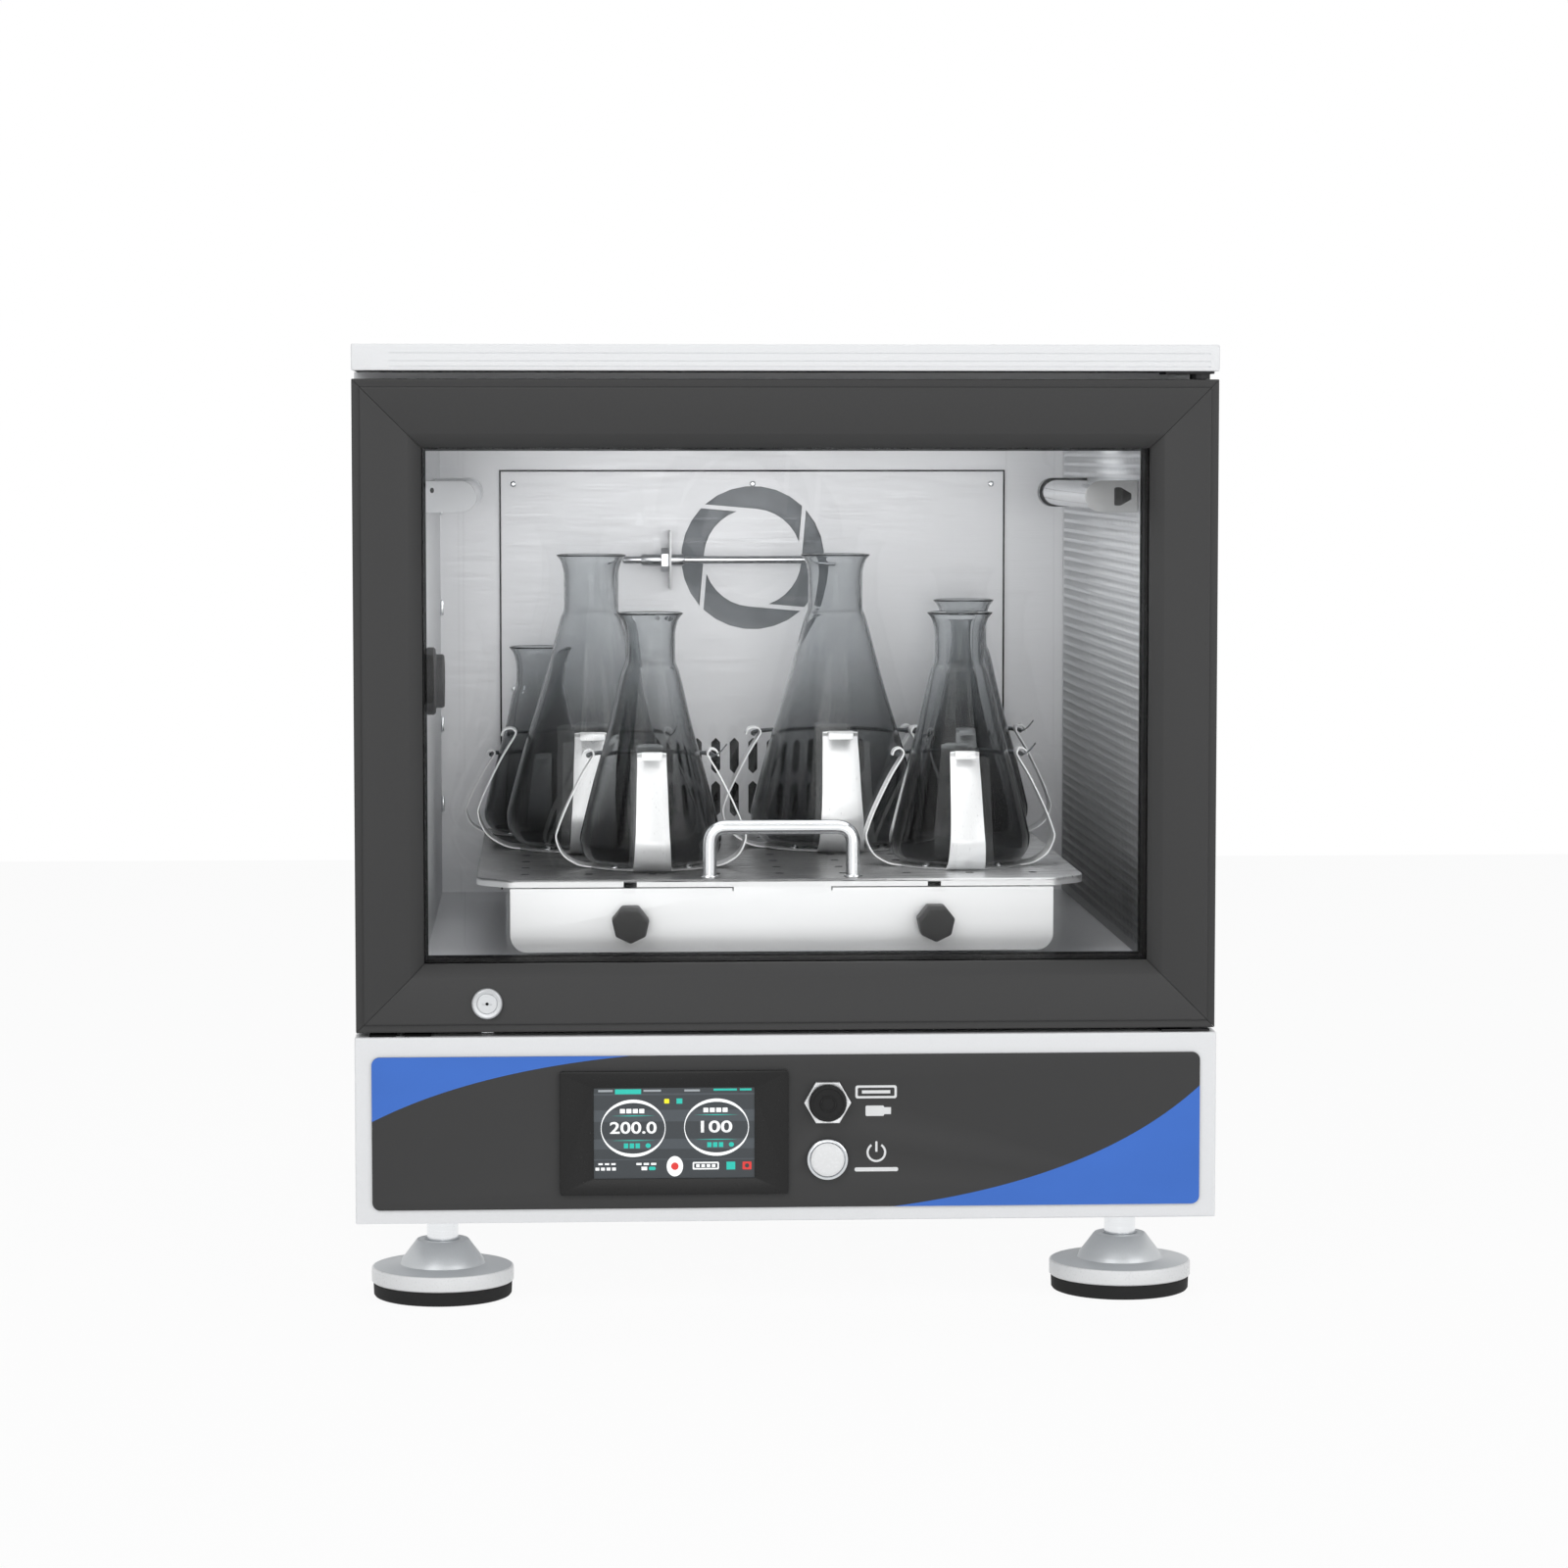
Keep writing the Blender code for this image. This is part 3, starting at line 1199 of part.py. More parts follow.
def pulley_profile(radius, bottom, top):
    """The rim of a flanged belt pulley, outside, from top to bottom."""
    flange, edge = radius + PULLEY_FLANGE, PULLEY_FLANGE_THICKNESS
    return [
        (flange, top),
        (flange, top - edge),
        (radius, top - edge),
        (radius, bottom + edge),
        (flange, bottom + edge),
        (flange, bottom),
    ]


def main_crank():
    empty = axis_empty("main_spin", (MAIN_X, MAIN_Y, 0))
    disc_top = DISC_Z + CRANK_DISC
    pulley_top = PULLEY_Z + PULLEY_WIDTH
    shaft = turned(
        [
            (0, disc_top),
            (CRANK_DISC_RADIUS, disc_top),
            (CRANK_DISC_RADIUS, DISC_Z),
            (MAIN_SHAFT_RADIUS, DISC_Z),
            (MAIN_SHAFT_RADIUS, pulley_top),
            *pulley_profile(PULLEY_RADIUS, PULLEY_Z, pulley_top),
            (0, PULLEY_Z),
        ],
        ROUND,
        (MAIN_X, MAIN_Y, 0),
    )
    pin_y = MAIN_Y - ORBIT_RADIUS
    pin = upright(MAIN_X, pin_y, disc_top - SINK, PIN_TOP_Z, MAIN_PIN_RADIUS, ROUND_SMALL)
    lean = COUNTERWEIGHT_LEAN
    lobe = arc(0, 0, COUNTERWEIGHT_RADIUS, lean, pi - lean, 8)
    lobe += [(-COUNTERWEIGHT_ROOT, 0), (COUNTERWEIGHT_ROOT, 0)]
    lift = Matrix.Translation((MAIN_X, MAIN_Y, DISC_Z + SINK / 2))
    weight = slab([lobe], CRANK_DISC - SINK, lift)
    carry(place(joined(shaft, weight, pin), "main_crank", "cast_aluminium"), empty)


def idler_cranks():
    disc_top = DISC_Z + CRANK_DISC
    collar_top = DRIVE_PLATE_Z - SEAT
    for name, x in (("idler_crank_left", -IDLER_X), ("idler_crank_right", IDLER_X)):
        empty = axis_empty(name.replace("crank", "spin"), (x, IDLER_Y, 0))
        shaft = turned(
            [
                (0, disc_top),
                (IDLER_DISC_RADIUS, disc_top),
                (IDLER_DISC_RADIUS, DISC_Z),
                (IDLER_SHAFT_RADIUS, DISC_Z),
                (IDLER_SHAFT_RADIUS, collar_top),
                (IDLER_SHAFT_RADIUS + COLLAR_LIP, collar_top),
                (IDLER_SHAFT_RADIUS + COLLAR_LIP, collar_top - COLLAR),
                (0, collar_top - COLLAR),
            ],
            ROUND_SMALL,
            (x, IDLER_Y, 0),
        )
        pin_y = IDLER_Y - ORBIT_RADIUS
        pin = upright(x, pin_y, disc_top - SINK, PIN_TOP_Z, IDLER_PIN_RADIUS, ROUND_SMALL)
        carry(place(joined(shaft, pin), name, "cast_aluminium"), empty)


def drive_motor():
    bottom = BASE_FLOOR_TOP_Z + SEAT
    top = bottom + MOTOR_HEIGHT
    motor = upright(MOTOR_X, MAIN_Y, bottom, top, MOTOR_RADIUS)
    half = MOTOR_RADIUS + MOTOR_FLANGE_LIP
    flange = block(
        (MOTOR_X - half, MAIN_Y - half, bottom),
        (MOTOR_X + half, MAIN_Y + half, bottom + MOTOR_FLANGE),
    )
    boss = upright(MOTOR_X, MAIN_Y, top - SINK, top + MOTOR_BOSS, MOTOR_BOSS_RADIUS)
    shaft_hole = MOTOR_SHAFT_RADIUS + SEAT
    bore = upright(MOTOR_X, MAIN_Y, top - MOTOR_BORE, top + THROUGH, shaft_hole, ROUND_SMALL)
    place(cut(joined(motor, flange, boss), bore), "drive_motor", "grey_plastic")
    empty = axis_empty("motor_spin", (MOTOR_X, MAIN_Y, 0))
    pulley_top = PULLEY_Z + PULLEY_WIDTH
    pulley = turned(
        [
            (0, pulley_top + PULLEY_HUB),
            (MOTOR_SHAFT_RADIUS + PULLEY_HUB, pulley_top + PULLEY_HUB),
            (MOTOR_SHAFT_RADIUS + PULLEY_HUB, pulley_top),
            *pulley_profile(MOTOR_PULLEY_RADIUS, PULLEY_Z, pulley_top),
            (MOTOR_SHAFT_RADIUS, PULLEY_Z),
            (MOTOR_SHAFT_RADIUS, top - MOTOR_BORE + SHEET),
            (0, top - MOTOR_BORE + SHEET),
        ],
        ROUND_SMALL,
        (MOTOR_X, MAIN_Y, 0),
    )
    carry(place(pulley, "motor_pulley", "cast_aluminium"), empty)


def belt_loop(offset):
    """The belt's path round the two pulleys, offset outwards."""
    span = MOTOR_X - MAIN_X
    lean = asin((PULLEY_RADIUS - MOTOR_PULLEY_RADIUS) / span)
    big, small = PULLEY_RADIUS + offset, MOTOR_PULLEY_RADIUS + offset
    side = pi / 2 - lean
    return (
        arc(MAIN_X, MAIN_Y, big, side, 2 * pi - side, ROUND)
        + arc(MOTOR_X, MAIN_Y, small, -side, side, ROUND_SMALL // 2)
    )


def drive_belt():
    edge = PULLEY_FLANGE_THICKNESS + SEAT
    loops = [belt_loop(STEP_OVER + BELT), belt_loop(STEP_OVER)]
    belt = slab(loops, PULLEY_WIDTH - 2 * edge, Matrix.Translation((0, 0, PULLEY_Z + edge)))
    return place(belt, "drive_belt", "rubber")


def carriage():
    pin = axis_empty("carriage_pin", (MAIN_X, MAIN_Y - ORBIT_RADIUS, 0))
    top = CARRIAGE_PLATE_Z + CARRIAGE_PLATE
    body = block(
        (-CARRIAGE_HALF_WIDTH, CARRIAGE_FRONT_Y, CARRIAGE_PLATE_Z),
        (CARRIAGE_HALF_WIDTH, CARRIAGE_BACK_Y, top),
    )
    rail_top = TRAY_TOP_Z - TRAY_SHEET - SEAT
    for side in (-1, 1):
        outer = side * CARRIAGE_HALF_WIDTH
        inner = side * (CARRIAGE_HALF_WIDTH - CARRIAGE_WALL)
        rail = block(
            (min(outer, inner), CARRIAGE_FRONT_Y, top - SINK),
            (max(outer, inner), CARRIAGE_BACK_Y, rail_top),
        )
        body = joined(body, rail)
    bar = block(
        (-CARRIAGE_HALF_WIDTH, CARRIAGE_FRONT_Y, top - SINK),
        (CARRIAGE_HALF_WIDTH, CARRIAGE_FRONT_Y + CARRIAGE_WALL, rail_top - CARRIAGE_BAR_DROP),
    )
    body = joined(body, bar)
    disc_top = DISC_Z + CRANK_DISC
    radii = (MAIN_PIN_RADIUS, IDLER_PIN_RADIUS, IDLER_PIN_RADIUS)
    for (x, y, _), radius in zip(crank_axes(), radii):
        pin_y = y - ORBIT_RADIUS
        low, boss = disc_top + SEAT, radius + PIN_BOSS_WALL
        body = joined(body, upright(x, pin_y, low, CARRIAGE_PLATE_Z + SINK, boss, ROUND_SMALL))
        hole = upright(x, pin_y, disc_top - THROUGH, top + THROUGH, radius + SEAT, ROUND_SMALL)
        body = cut(body, hole)
    for x in (-KNOB_X, KNOB_X):
        body = cut(
            body,
            rod(
                (x, CARRIAGE_FRONT_Y - 0.01, KNOB_Z),
                (x, CARRIAGE_FRONT_Y + CARRIAGE_WALL + STUD_LENGTH, KNOB_Z),
                STUD_RADIUS + SLIDE,
                ROUND_SMALL,
            ),
        )
    return carry(place(body, "carriage_plate", "cast_aluminium"), pin)


def tray_outline(inset):
    w, fw = TRAY_HALF_WIDTH - inset, TRAY_FRONT_HALF_WIDTH - inset
    y0, y1 = TRAY_FRONT_Y + inset, TRAY_FRONT_Y + TRAY_DEPTH - inset
    shoulder = y0 + TRAY_CORNER
    return [(-fw, y0), (fw, y0), (w, shoulder), (w, y1), (-w, y1), (-w, shoulder)]


def tray():
    empty = axis_empty("tray_slide", (0, TRAY_FRONT_Y, TRAY_TOP_Z))
    sheet_z = TRAY_TOP_Z - TRAY_SHEET
    body = slab([tray_outline(0)], TRAY_SHEET, Matrix.Translation((0, 0, sheet_z)))
    rim = slab(
        [tray_outline(0), tray_outline(CLAMP_SHEET)],
        TRAY_RIM - TRAY_SHEET / 2,
        Matrix.Translation((0, 0, TRAY_TOP_Z - TRAY_RIM)),
    )
    w = APRON_HALF_WIDTH
    r = APRON_CORNER
    bottom = arc(-w + r, APRON_BOTTOM_Z + r, r, pi, 3 * pi / 2, 4)
    bottom += arc(w - r, APRON_BOTTOM_Z + r, r, -pi / 2, 0, 4)
    apron_loops = [bottom + [(w, sheet_z + SINK), (-w, sheet_z + SINK)]]
    apron_loops += [circle(x, KNOB_Z, STUD_RADIUS + SEAT, ROUND_SMALL) for x in (-KNOB_X, KNOB_X)]
    apron = slab(apron_loops, TRAY_SHEET, front(TRAY_FRONT_Y + TRAY_SHEET))
    carry(place(joined(body, rim, apron), "tray", "stainless"), empty)
    return empty


def tray_handle(empty):
    """A bent rod standing on the tray near its front edge."""
    half, r = HANDLE_SPAN / 2, HANDLE_BEND
    bottom = TRAY_TOP_Z + SEAT
    top = TRAY_TOP_Z + HANDLE_HEIGHT - HANDLE_ROD_RADIUS
    path = [(-half, bottom)] + arc(-half + r, top - r, r, pi, pi / 2, 4)
    path += arc(half - r, top - r, r, pi / 2, 0, 4) + [(half, bottom)]
    curve = bpy.data.curves.new("handle", "CURVE")
    curve.dimensions = "3D"
    curve.bevel_depth = HANDLE_ROD_RADIUS
    curve.bevel_resolution = 2
    curve.use_fill_caps = True
    spline = curve.splines.new("POLY")
    spline.points.add(len(path) - 1)
    for point, (x, z) in zip(spline.points, path):
        point.co = (x, HANDLE_Y, z, 1)
    obj = bpy.data.objects.new("handle", curve)
    bpy.context.scene.collection.objects.link(obj)
    carry(place(baked(obj), "tray_handle", "bright_steel", 50), empty)


def tray_knobs():
    for name, x in (("tray_knob_left", -KNOB_X), ("tray_knob_right", KNOB_X)):
        face = TRAY_FRONT_Y - SEAT
        empty = axis_empty(name.replace("knob", "knob_turn"), (x, face, KNOB_Z))
        grip = arc(0, 0, KNOB_RADIUS, -pi / 2, 3 * pi / 2, KNOB_SIDES)[:-1]
        knob = slab([grip], KNOB_LENGTH, facing(x, face - KNOB_COLLAR / 2, KNOB_Z))
        back, tip = face - KNOB_COLLAR, TRAY_FRONT_Y + STUD_LENGTH
        collar = rod((x, face, KNOB_Z), (x, back, KNOB_Z), KNOB_COLLAR_RADIUS, ROUND_SMALL)
        stud = rod((x, back + SINK, KNOB_Z), (x, tip, KNOB_Z), STUD_RADIUS, ROUND_SMALL)
        carry(place(joined(knob, collar, stud), name, "grey_plastic"), empty)


def flask_profile(size):
    """Half a conical flask: up the inside from the middle of its floor, then down the outside."""
    radius, height, neck, neck_length = FLASK_SIZES[size]
    wall, lip = FLASK_WALL, neck + FLASK_LIP
    shoulder, flare = height - neck_length, height - FLASK_FLARE
    across, rise = radius * FLASK_HEEL_WIDTH, radius * FLASK_HEEL_RISE

    def heel(turn, inset):
        """A point on the rounded heel, from its flat base at 0 to its widest at 90 degrees."""
        turn = radians(turn)
        r = radius - across + (across - inset) * sin(turn)
        return (r, rise - (rise - inset) * cos(turn))

    inside = [
        (0, wall),
        heel(0, wall),
        heel(45, wall),
        heel(90, wall),
        (neck - wall, shoulder),
        (neck - wall, flare),
        (lip - wall, height),
    ]
    outside = [
        (lip, height),
        (lip, height - wall / 2),
        (neck + FLASK_LIP * 0.3, height - FLASK_FLARE * 0.45),
        (neck, flare),
        (neck, shoulder),
        (neck + wall, shoulder - neck_length * 0.25),
        heel(90, 0),
        heel(60, 0),
        heel(30, 0),
        heel(0, 0),
        (0, 0),
    ]
    return inside + outside


def clamp_arm(size, angle):
    """One leaf of a flask clamp: a strip that bulges out, leans in to the glass and ends in a curl."""
    radius = FLASK_SIZES[size][0]
    hook, tip = CLAMP_HOOKS[size]
    foot, bulge, rise = radius * CLAMP_FOOT, radius * CLAMP_BULGE, radius * CLAMP_BULGE_RISE
    wide = radius * CLAMP_ARM_WIDTH / 2
    path = [
        (foot * 0.80, CLAMP_SHEET / 2),
        (foot * 0.98, CLAMP_SHEET / 2),
        (foot * 1.14, rise * 0.12),
        (bulge * 0.93, rise * 0.45),
        (bulge, rise),
        (bulge * 0.96, rise * 1.45),
        (hook + (bulge - hook) * 0.36, tip * 0.72),
        (hook, tip * 0.95),
        (hook * 1.07, tip * 1.02),
        (hook * 1.20, tip * 1.00),
    ]
    bm = bmesh.new()
    rows = []
    for i, (r, z) in enumerate(path):
        half = wide * (1 + (CLAMP_ARM_TAPER - 1) * i / (len(path) - 1))
        rows.append([bm.verts.new((r, side * half, z)) for side in (-1, 1)])
    for here, there in zip(rows, rows[1:]):
        bm.faces.new((here[0], there[0], there[1], here[1]))
    strip = from_bmesh(bm, matrix=Matrix.Rotation(angle, 4, "Z"))
    thick = strip.modifiers.new("sheet", "SOLIDIFY")
    thick.thickness = CLAMP_SHEET
    thick.offset = 0
    thick.use_even_offset = True
    return baked(strip)


def flasks_and_clamps(empty):
    for place_name, (size, x, y) in FLASKS.items():
        clamp = rod((0, 0, 0), (0, 0, CLAMP_SHEET), FLASK_SIZES[size][0] * CLAMP_FOOT)
        for i in range(CLAMP_ARMS):
            clamp = joined(clamp, clamp_arm(size, i * 2 * pi / CLAMP_ARMS))
        clamp.location = (x, y, CLAMP_Z)
        carry(place(clamp, f"flask_clamp_{place_name}", "bright_steel"), empty)
        flask = turned(flask_profile(size), ROUND_FLASK, (x, y, FLASK_Z))
        carry(place(flask, f"flask_{place_name}", "smoked_glass", 35), empty)


def build():
    base_housing()
    base_floor()
    levelling_feet()
    control_panel()
    touch_screen()
    data_port()
    power_switch()
    cabinet_shell()
    top_cover()
    chamber_liner()
    insulation_foam()
    rear_cover()
    back_air_panel()
    side_air_panel()
    chamber_lamps()
    wall_port_plug()
    temperature_probe()
    fan()
    door()
    door_lock()
    door_hinges()
    drive_frame()
    main_crank()
    idler_cranks()
    drive_motor()
    drive_belt()
    carriage()
    slide = tray()
    tray_handle(slide)
    tray_knobs()
    flasks_and_clamps(slide)


build()
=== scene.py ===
"""Looks of a benchtop shaking incubator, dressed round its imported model. Metres, +Z up, front towards -Y."""

import json
from math import cos, pi, radians, sin, tau

import bmesh
import bpy
from bpy.props import FloatProperty, FloatVectorProperty, IntProperty, PointerProperty
from mathutils import Matrix, Vector

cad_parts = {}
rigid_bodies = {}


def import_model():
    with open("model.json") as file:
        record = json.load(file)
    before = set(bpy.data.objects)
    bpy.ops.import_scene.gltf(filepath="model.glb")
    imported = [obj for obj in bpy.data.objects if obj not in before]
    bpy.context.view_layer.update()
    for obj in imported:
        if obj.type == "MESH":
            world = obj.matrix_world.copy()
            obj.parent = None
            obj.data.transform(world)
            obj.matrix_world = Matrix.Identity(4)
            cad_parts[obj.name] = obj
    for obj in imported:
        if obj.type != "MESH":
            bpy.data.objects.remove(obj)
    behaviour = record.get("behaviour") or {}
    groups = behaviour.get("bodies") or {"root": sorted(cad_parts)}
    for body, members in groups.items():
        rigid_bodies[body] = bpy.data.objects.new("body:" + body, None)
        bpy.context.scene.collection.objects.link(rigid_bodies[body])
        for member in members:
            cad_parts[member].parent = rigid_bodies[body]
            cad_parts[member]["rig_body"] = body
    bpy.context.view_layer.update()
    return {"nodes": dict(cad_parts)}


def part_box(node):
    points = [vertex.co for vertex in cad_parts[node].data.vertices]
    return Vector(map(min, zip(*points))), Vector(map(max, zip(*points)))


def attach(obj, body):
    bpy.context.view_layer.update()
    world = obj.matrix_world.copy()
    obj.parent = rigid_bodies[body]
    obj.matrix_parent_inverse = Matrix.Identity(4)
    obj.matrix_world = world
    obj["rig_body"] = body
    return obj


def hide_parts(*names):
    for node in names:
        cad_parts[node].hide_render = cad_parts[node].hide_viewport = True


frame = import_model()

bl_info = {
    "name": "Shaking incubator finish", "version": (1, 0, 0), "blender": (4, 5, 0),
    "location": "3D View > Sidebar > Incubator",
    "description": "Dresses the packed shaking incubator with its finishes, trim and studio",
    "category": "Object",
}

FRONT = Matrix.Rotation(pi / 2, 4, "X")
# Width of the door's frame up to the black lining of its window
FRAME_WIDTH = 0.0466
# Centre of the mains inlet on the back of the base, x and z
INLET = (0.205, 0.118)
# How deep the screw heads sit in the rear cover and the base, so that none stands past the cabinet
SCREW_SEAT = 0.0010
# Where the photograph's camera stood, and how far it looks to the right and down, in degrees
CAMERA_AT, CAMERA_YAW, CAMERA_PITCH = (-0.1574, -3.2925, 0.5915), 2.988, 4.394


def linear(code):
    """A colour written as sRGB hex, as linear red, green and blue."""
    channels = [int(code[i : i + 2], 16) / 255 for i in (1, 3, 5)]
    return tuple(c / 12.92 if c <= 0.04045 else ((c + 0.055) / 1.055) ** 2.4 for c in channels)


def rgba(colour):
    return (*colour, 1.0)


def shade(colour, factor):
    return tuple(min(1.0, c * factor) for c in colour)


# Sizes and colours that a user may change


def colour_setting(label, text, code):
    return FloatVectorProperty(
        name=label, description=text, subtype="COLOR", size=3, min=0, max=1, default=linear(code)
    )


def length_setting(label, text, value):
    return FloatProperty(name=label, description=text, default=value, min=0.0, unit="LENGTH", precision=5)


def power_setting(label, text, value):
    return FloatProperty(name=label, description=text, default=value, unit="POWER")


class IncubatorColours(bpy.types.PropertyGroup):
    """Colours of the main finishes."""

    cabinet: colour_setting("Cabinet", "Powder coat on the cabinet and base", "#F6F7F8")
    door: colour_setting("Door", "Powder coat on the door frame", "#3E3E3E")
    film: colour_setting("Film", "Printed film on the front of the base", "#3C3C3C")
    accent: colour_setting("Accent", "Coloured fields on the film", "#4579D7")
    steel: colour_setting("Chamber steel", "Satin stainless steel inside the chamber", "#ECEDEF")
    flask: colour_setting("Flask glass", "Tint of the smoky flasks at their necks", "#E4E6E7")
    bezel: colour_setting("Bezel", "Frame of the touch screen", "#141414")


class IncubatorTrim(bpy.types.PropertyGroup):
    """Sizes of the small parts and edges."""

    sheet_edge: length_setting("Sheet edge", "Radius on the edges of folded sheet", 0.0012)
    mitre_gap: length_setting("Mitre gap", "Gap between the door bars at a corner", 0.00025)
    screw_radius: length_setting("Screw head", "Radius of the small screw heads", 0.0032)
    slot_row: length_setting("Row pitch", "Height of one row of the air wall's slots", 0.0074)
    slot_column: length_setting("Slot pitch", "Spacing of the slots along a row", 0.0072)
    spring_wire: length_setting("Spring wire", "Radius of the flask springs' wire", 0.0004)
    spring_coil: length_setting("Spring coil", "Radius of the flask springs' coil", 0.0012)
    round_steps: IntProperty(
        name="Round steps", description="Sides of a turned piece", default=72, min=24, max=160
    )


class IncubatorStudio(bpy.types.PropertyGroup):
    """Floor, lights and camera."""

    key: power_setting("Key light", "Power of the main soft light", 26.3)
    fill: power_setting("Fill light", "Power of the fill light", 16.6)
    chamber: power_setting("Chamber light", "Power of the light inside the chamber", 0.74)
    sky: FloatProperty(name="Sky", description="Strength of the even surrounding light", default=0.40)
    lens: FloatProperty(name="Lens", description="Focal length on a 36 mm sensor", default=100.24)


# Node and mesh helpers


def add(tree, kind, inputs=None, **settings):
    """Adds a node: its settings by name, its sockets from values, other sockets or nodes' first outputs."""
    made = tree.nodes.new(kind)
    for name, value in settings.items():
        setattr(made, name, value)
    for name, value in (inputs or {}).items():
        if isinstance(value, bpy.types.Node):
            value = value.outputs[0]
        if isinstance(value, bpy.types.NodeSocket):
            tree.links.new(value, made.inputs[name])
        else:
            made.inputs[name].default_value = value
    return made


def placed(name, data):
    """A new object of that data, in the scene."""
    obj = bpy.data.objects.new(name, data)
    bpy.context.scene.collection.objects.link(obj)
    return obj


def plain(obj):
    """The object's evaluated shape as a plain mesh. The object goes."""
    bpy.context.view_layer.update()
    graph = bpy.context.evaluated_depsgraph_get()
    mesh = bpy.data.meshes.new_from_object(obj.evaluated_get(graph), depsgraph=graph)
    bpy.data.objects.remove(obj, do_unlink=True)
    return mesh


def from_bmesh(bm, recalc=True):
    if recalc:
        bmesh.ops.recalc_face_normals(bm, faces=bm.faces)
    mesh = bpy.data.meshes.new("shape")
    bm.to_mesh(mesh)
    bm.free()
    return mesh


def merged(*meshes):
    """One mesh from several, keeping each face's material index."""
    bm = bmesh.new()
    for mesh in meshes:
        bm.from_mesh(mesh)
    return from_bmesh(bm, recalc=False)


def softened(mesh, width):
    """The mesh with its sharp edges rounded over."""
    obj = placed("soften", mesh)
    bevel = obj.modifiers.new("edges", "BEVEL")
    bevel.width = width
    bevel.segments = 2
    bevel.limit_method = "ANGLE"
    bevel.angle_limit = radians(25)
    bevel.use_clamp_overlap = True
    bevel.miter_outer = "MITER_ARC"
    return plain(obj)


def from_node(node, width=0.0):
    """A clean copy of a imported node's shape, its flat faces whole again and its edges rounded."""
    bm = bmesh.new()
    bm.from_mesh(frame["nodes"][node].data)
    bmesh.ops.remove_doubles(bm, verts=bm.verts, dist=2e-6)
    bmesh.ops.dissolve_limit(bm, angle_limit=radians(0.6), verts=bm.verts, edges=bm.edges, delimit={"NORMAL"})
    for layer in list(bm.loops.layers.uv):
        bm.loops.layers.uv.remove(layer)
    mesh = from_bmesh(bm, recalc=False)
    mesh.materials.clear()
    return softened(mesh, width) if width else mesh


def block(low, high, edge=0.0, segments=2):
    """A box with rounded edges."""
    low, high = Vector(low), Vector(high)
    bm = bmesh.new()
    bmesh.ops.create_cube(bm, size=1.0)
    bmesh.ops.scale(bm, vec=high - low, verts=bm.verts)
    bmesh.ops.translate(bm, vec=(low + high) / 2, verts=bm.verts)
    if edge:
        bmesh.ops.bevel(bm, geom=bm.edges[:], offset=edge, segments=segments, affect="EDGES", profile=0.5)
    return from_bmesh(bm)


def arc(cx, cy, radius, start, end, steps):
    turns = [start + (end - start) * i / steps for i in range(steps + 1)]
    return [(cx + radius * cos(a), cy + radius * sin(a)) for a in turns]


def ellipse(cx, cy, rx, ry, steps=48):
    return [(cx + rx * cos(tau * i / steps), cy + ry * sin(tau * i / steps)) for i in range(steps)]


def rectangle(x0, y0, x1, y1):
    return [(x0, y0), (x1, y0), (x1, y1), (x0, y1)]


def rounded(x0, y0, x1, y1, corner):
    """A rectangle's outline with its corners turned on a radius."""
    steps = 8
    return (
        arc(x1 - corner, y0 + corner, corner, -pi / 2, 0, steps)
        + arc(x1 - corner, y1 - corner, corner, 0, pi / 2, steps)
        + arc(x0 + corner, y1 - corner, corner, pi / 2, pi, steps)
        + arc(x0 + corner, y0 + corner, corner, pi, 3 * pi / 2, steps)
    )


def bent(points, radius, steps=6):
    """A path through points, with each inner corner turned on a radius. Points are Vectors."""
    points = [Vector(p) for p in points]
    path = [points[0]]
    for before, here, after in zip(points, points[1:], points[2:]):
        into, out = (before - here), (after - here)
        reach = min(radius, into.length * 0.49, out.length * 0.49)
        a, b = here + into.normalized() * reach, here + out.normalized() * reach
        for i in range(steps + 1):
            t = i / steps
            path.append(a * (1 - t) ** 2 + here * 2 * t * (1 - t) + b * t * t)
    return path + [points[-1]]


def smooth_line(points, steps):
    """A curve that passes through the points."""
    points = [Vector(p) for p in points]
    line = []
    for i in range(len(points) - 1):
        p0, p1 = points[max(i - 1, 0)], points[i]
        p2, p3 = points[i + 1], points[min(i + 2, len(points) - 1)]
        for k in range(steps):
            t = k / steps
            line.append(
                0.5 * (
                    2 * p1 + (p2 - p0) * t + (2 * p0 - 5 * p1 + 4 * p2 - p3) * t * t
                    + (3 * p1 - p0 - 3 * p2 + p3) * t * t * t
                )
            )
    return line + [points[-1]]


def plate(loops, thickness, matrix=None, edge=0.0, edge_steps=2):
    """A flat outline with holes, from z = 0 to the thickness, with rounded edges, turned by the matrix."""
    curve = bpy.data.curves.new("outline", "CURVE")
    curve.dimensions = "2D"
    curve.fill_mode = "BOTH"
    curve.extrude = max(thickness / 2 - edge, 0)
    curve.bevel_depth = edge
    curve.bevel_resolution = edge_steps
    curve.offset = -edge
    for points in loops:
        spline = curve.splines.new("POLY")
        spline.points.add(len(points) - 1)
        spline.use_cyclic_u = True
        for point, place in zip(spline.points, points):
            point.co = (place[0], place[1], 0, 1)
    obj = placed("outline", curve)
    mesh = plain(obj)
    bm = bmesh.new()
    bm.from_mesh(mesh)
    bmesh.ops.remove_doubles(bm, verts=bm.verts, dist=1e-7)
    bmesh.ops.translate(bm, vec=(0, 0, thickness / 2), verts=bm.verts)
    mesh = from_bmesh(bm)
    if matrix is not None:
        mesh.transform(matrix)
    return mesh


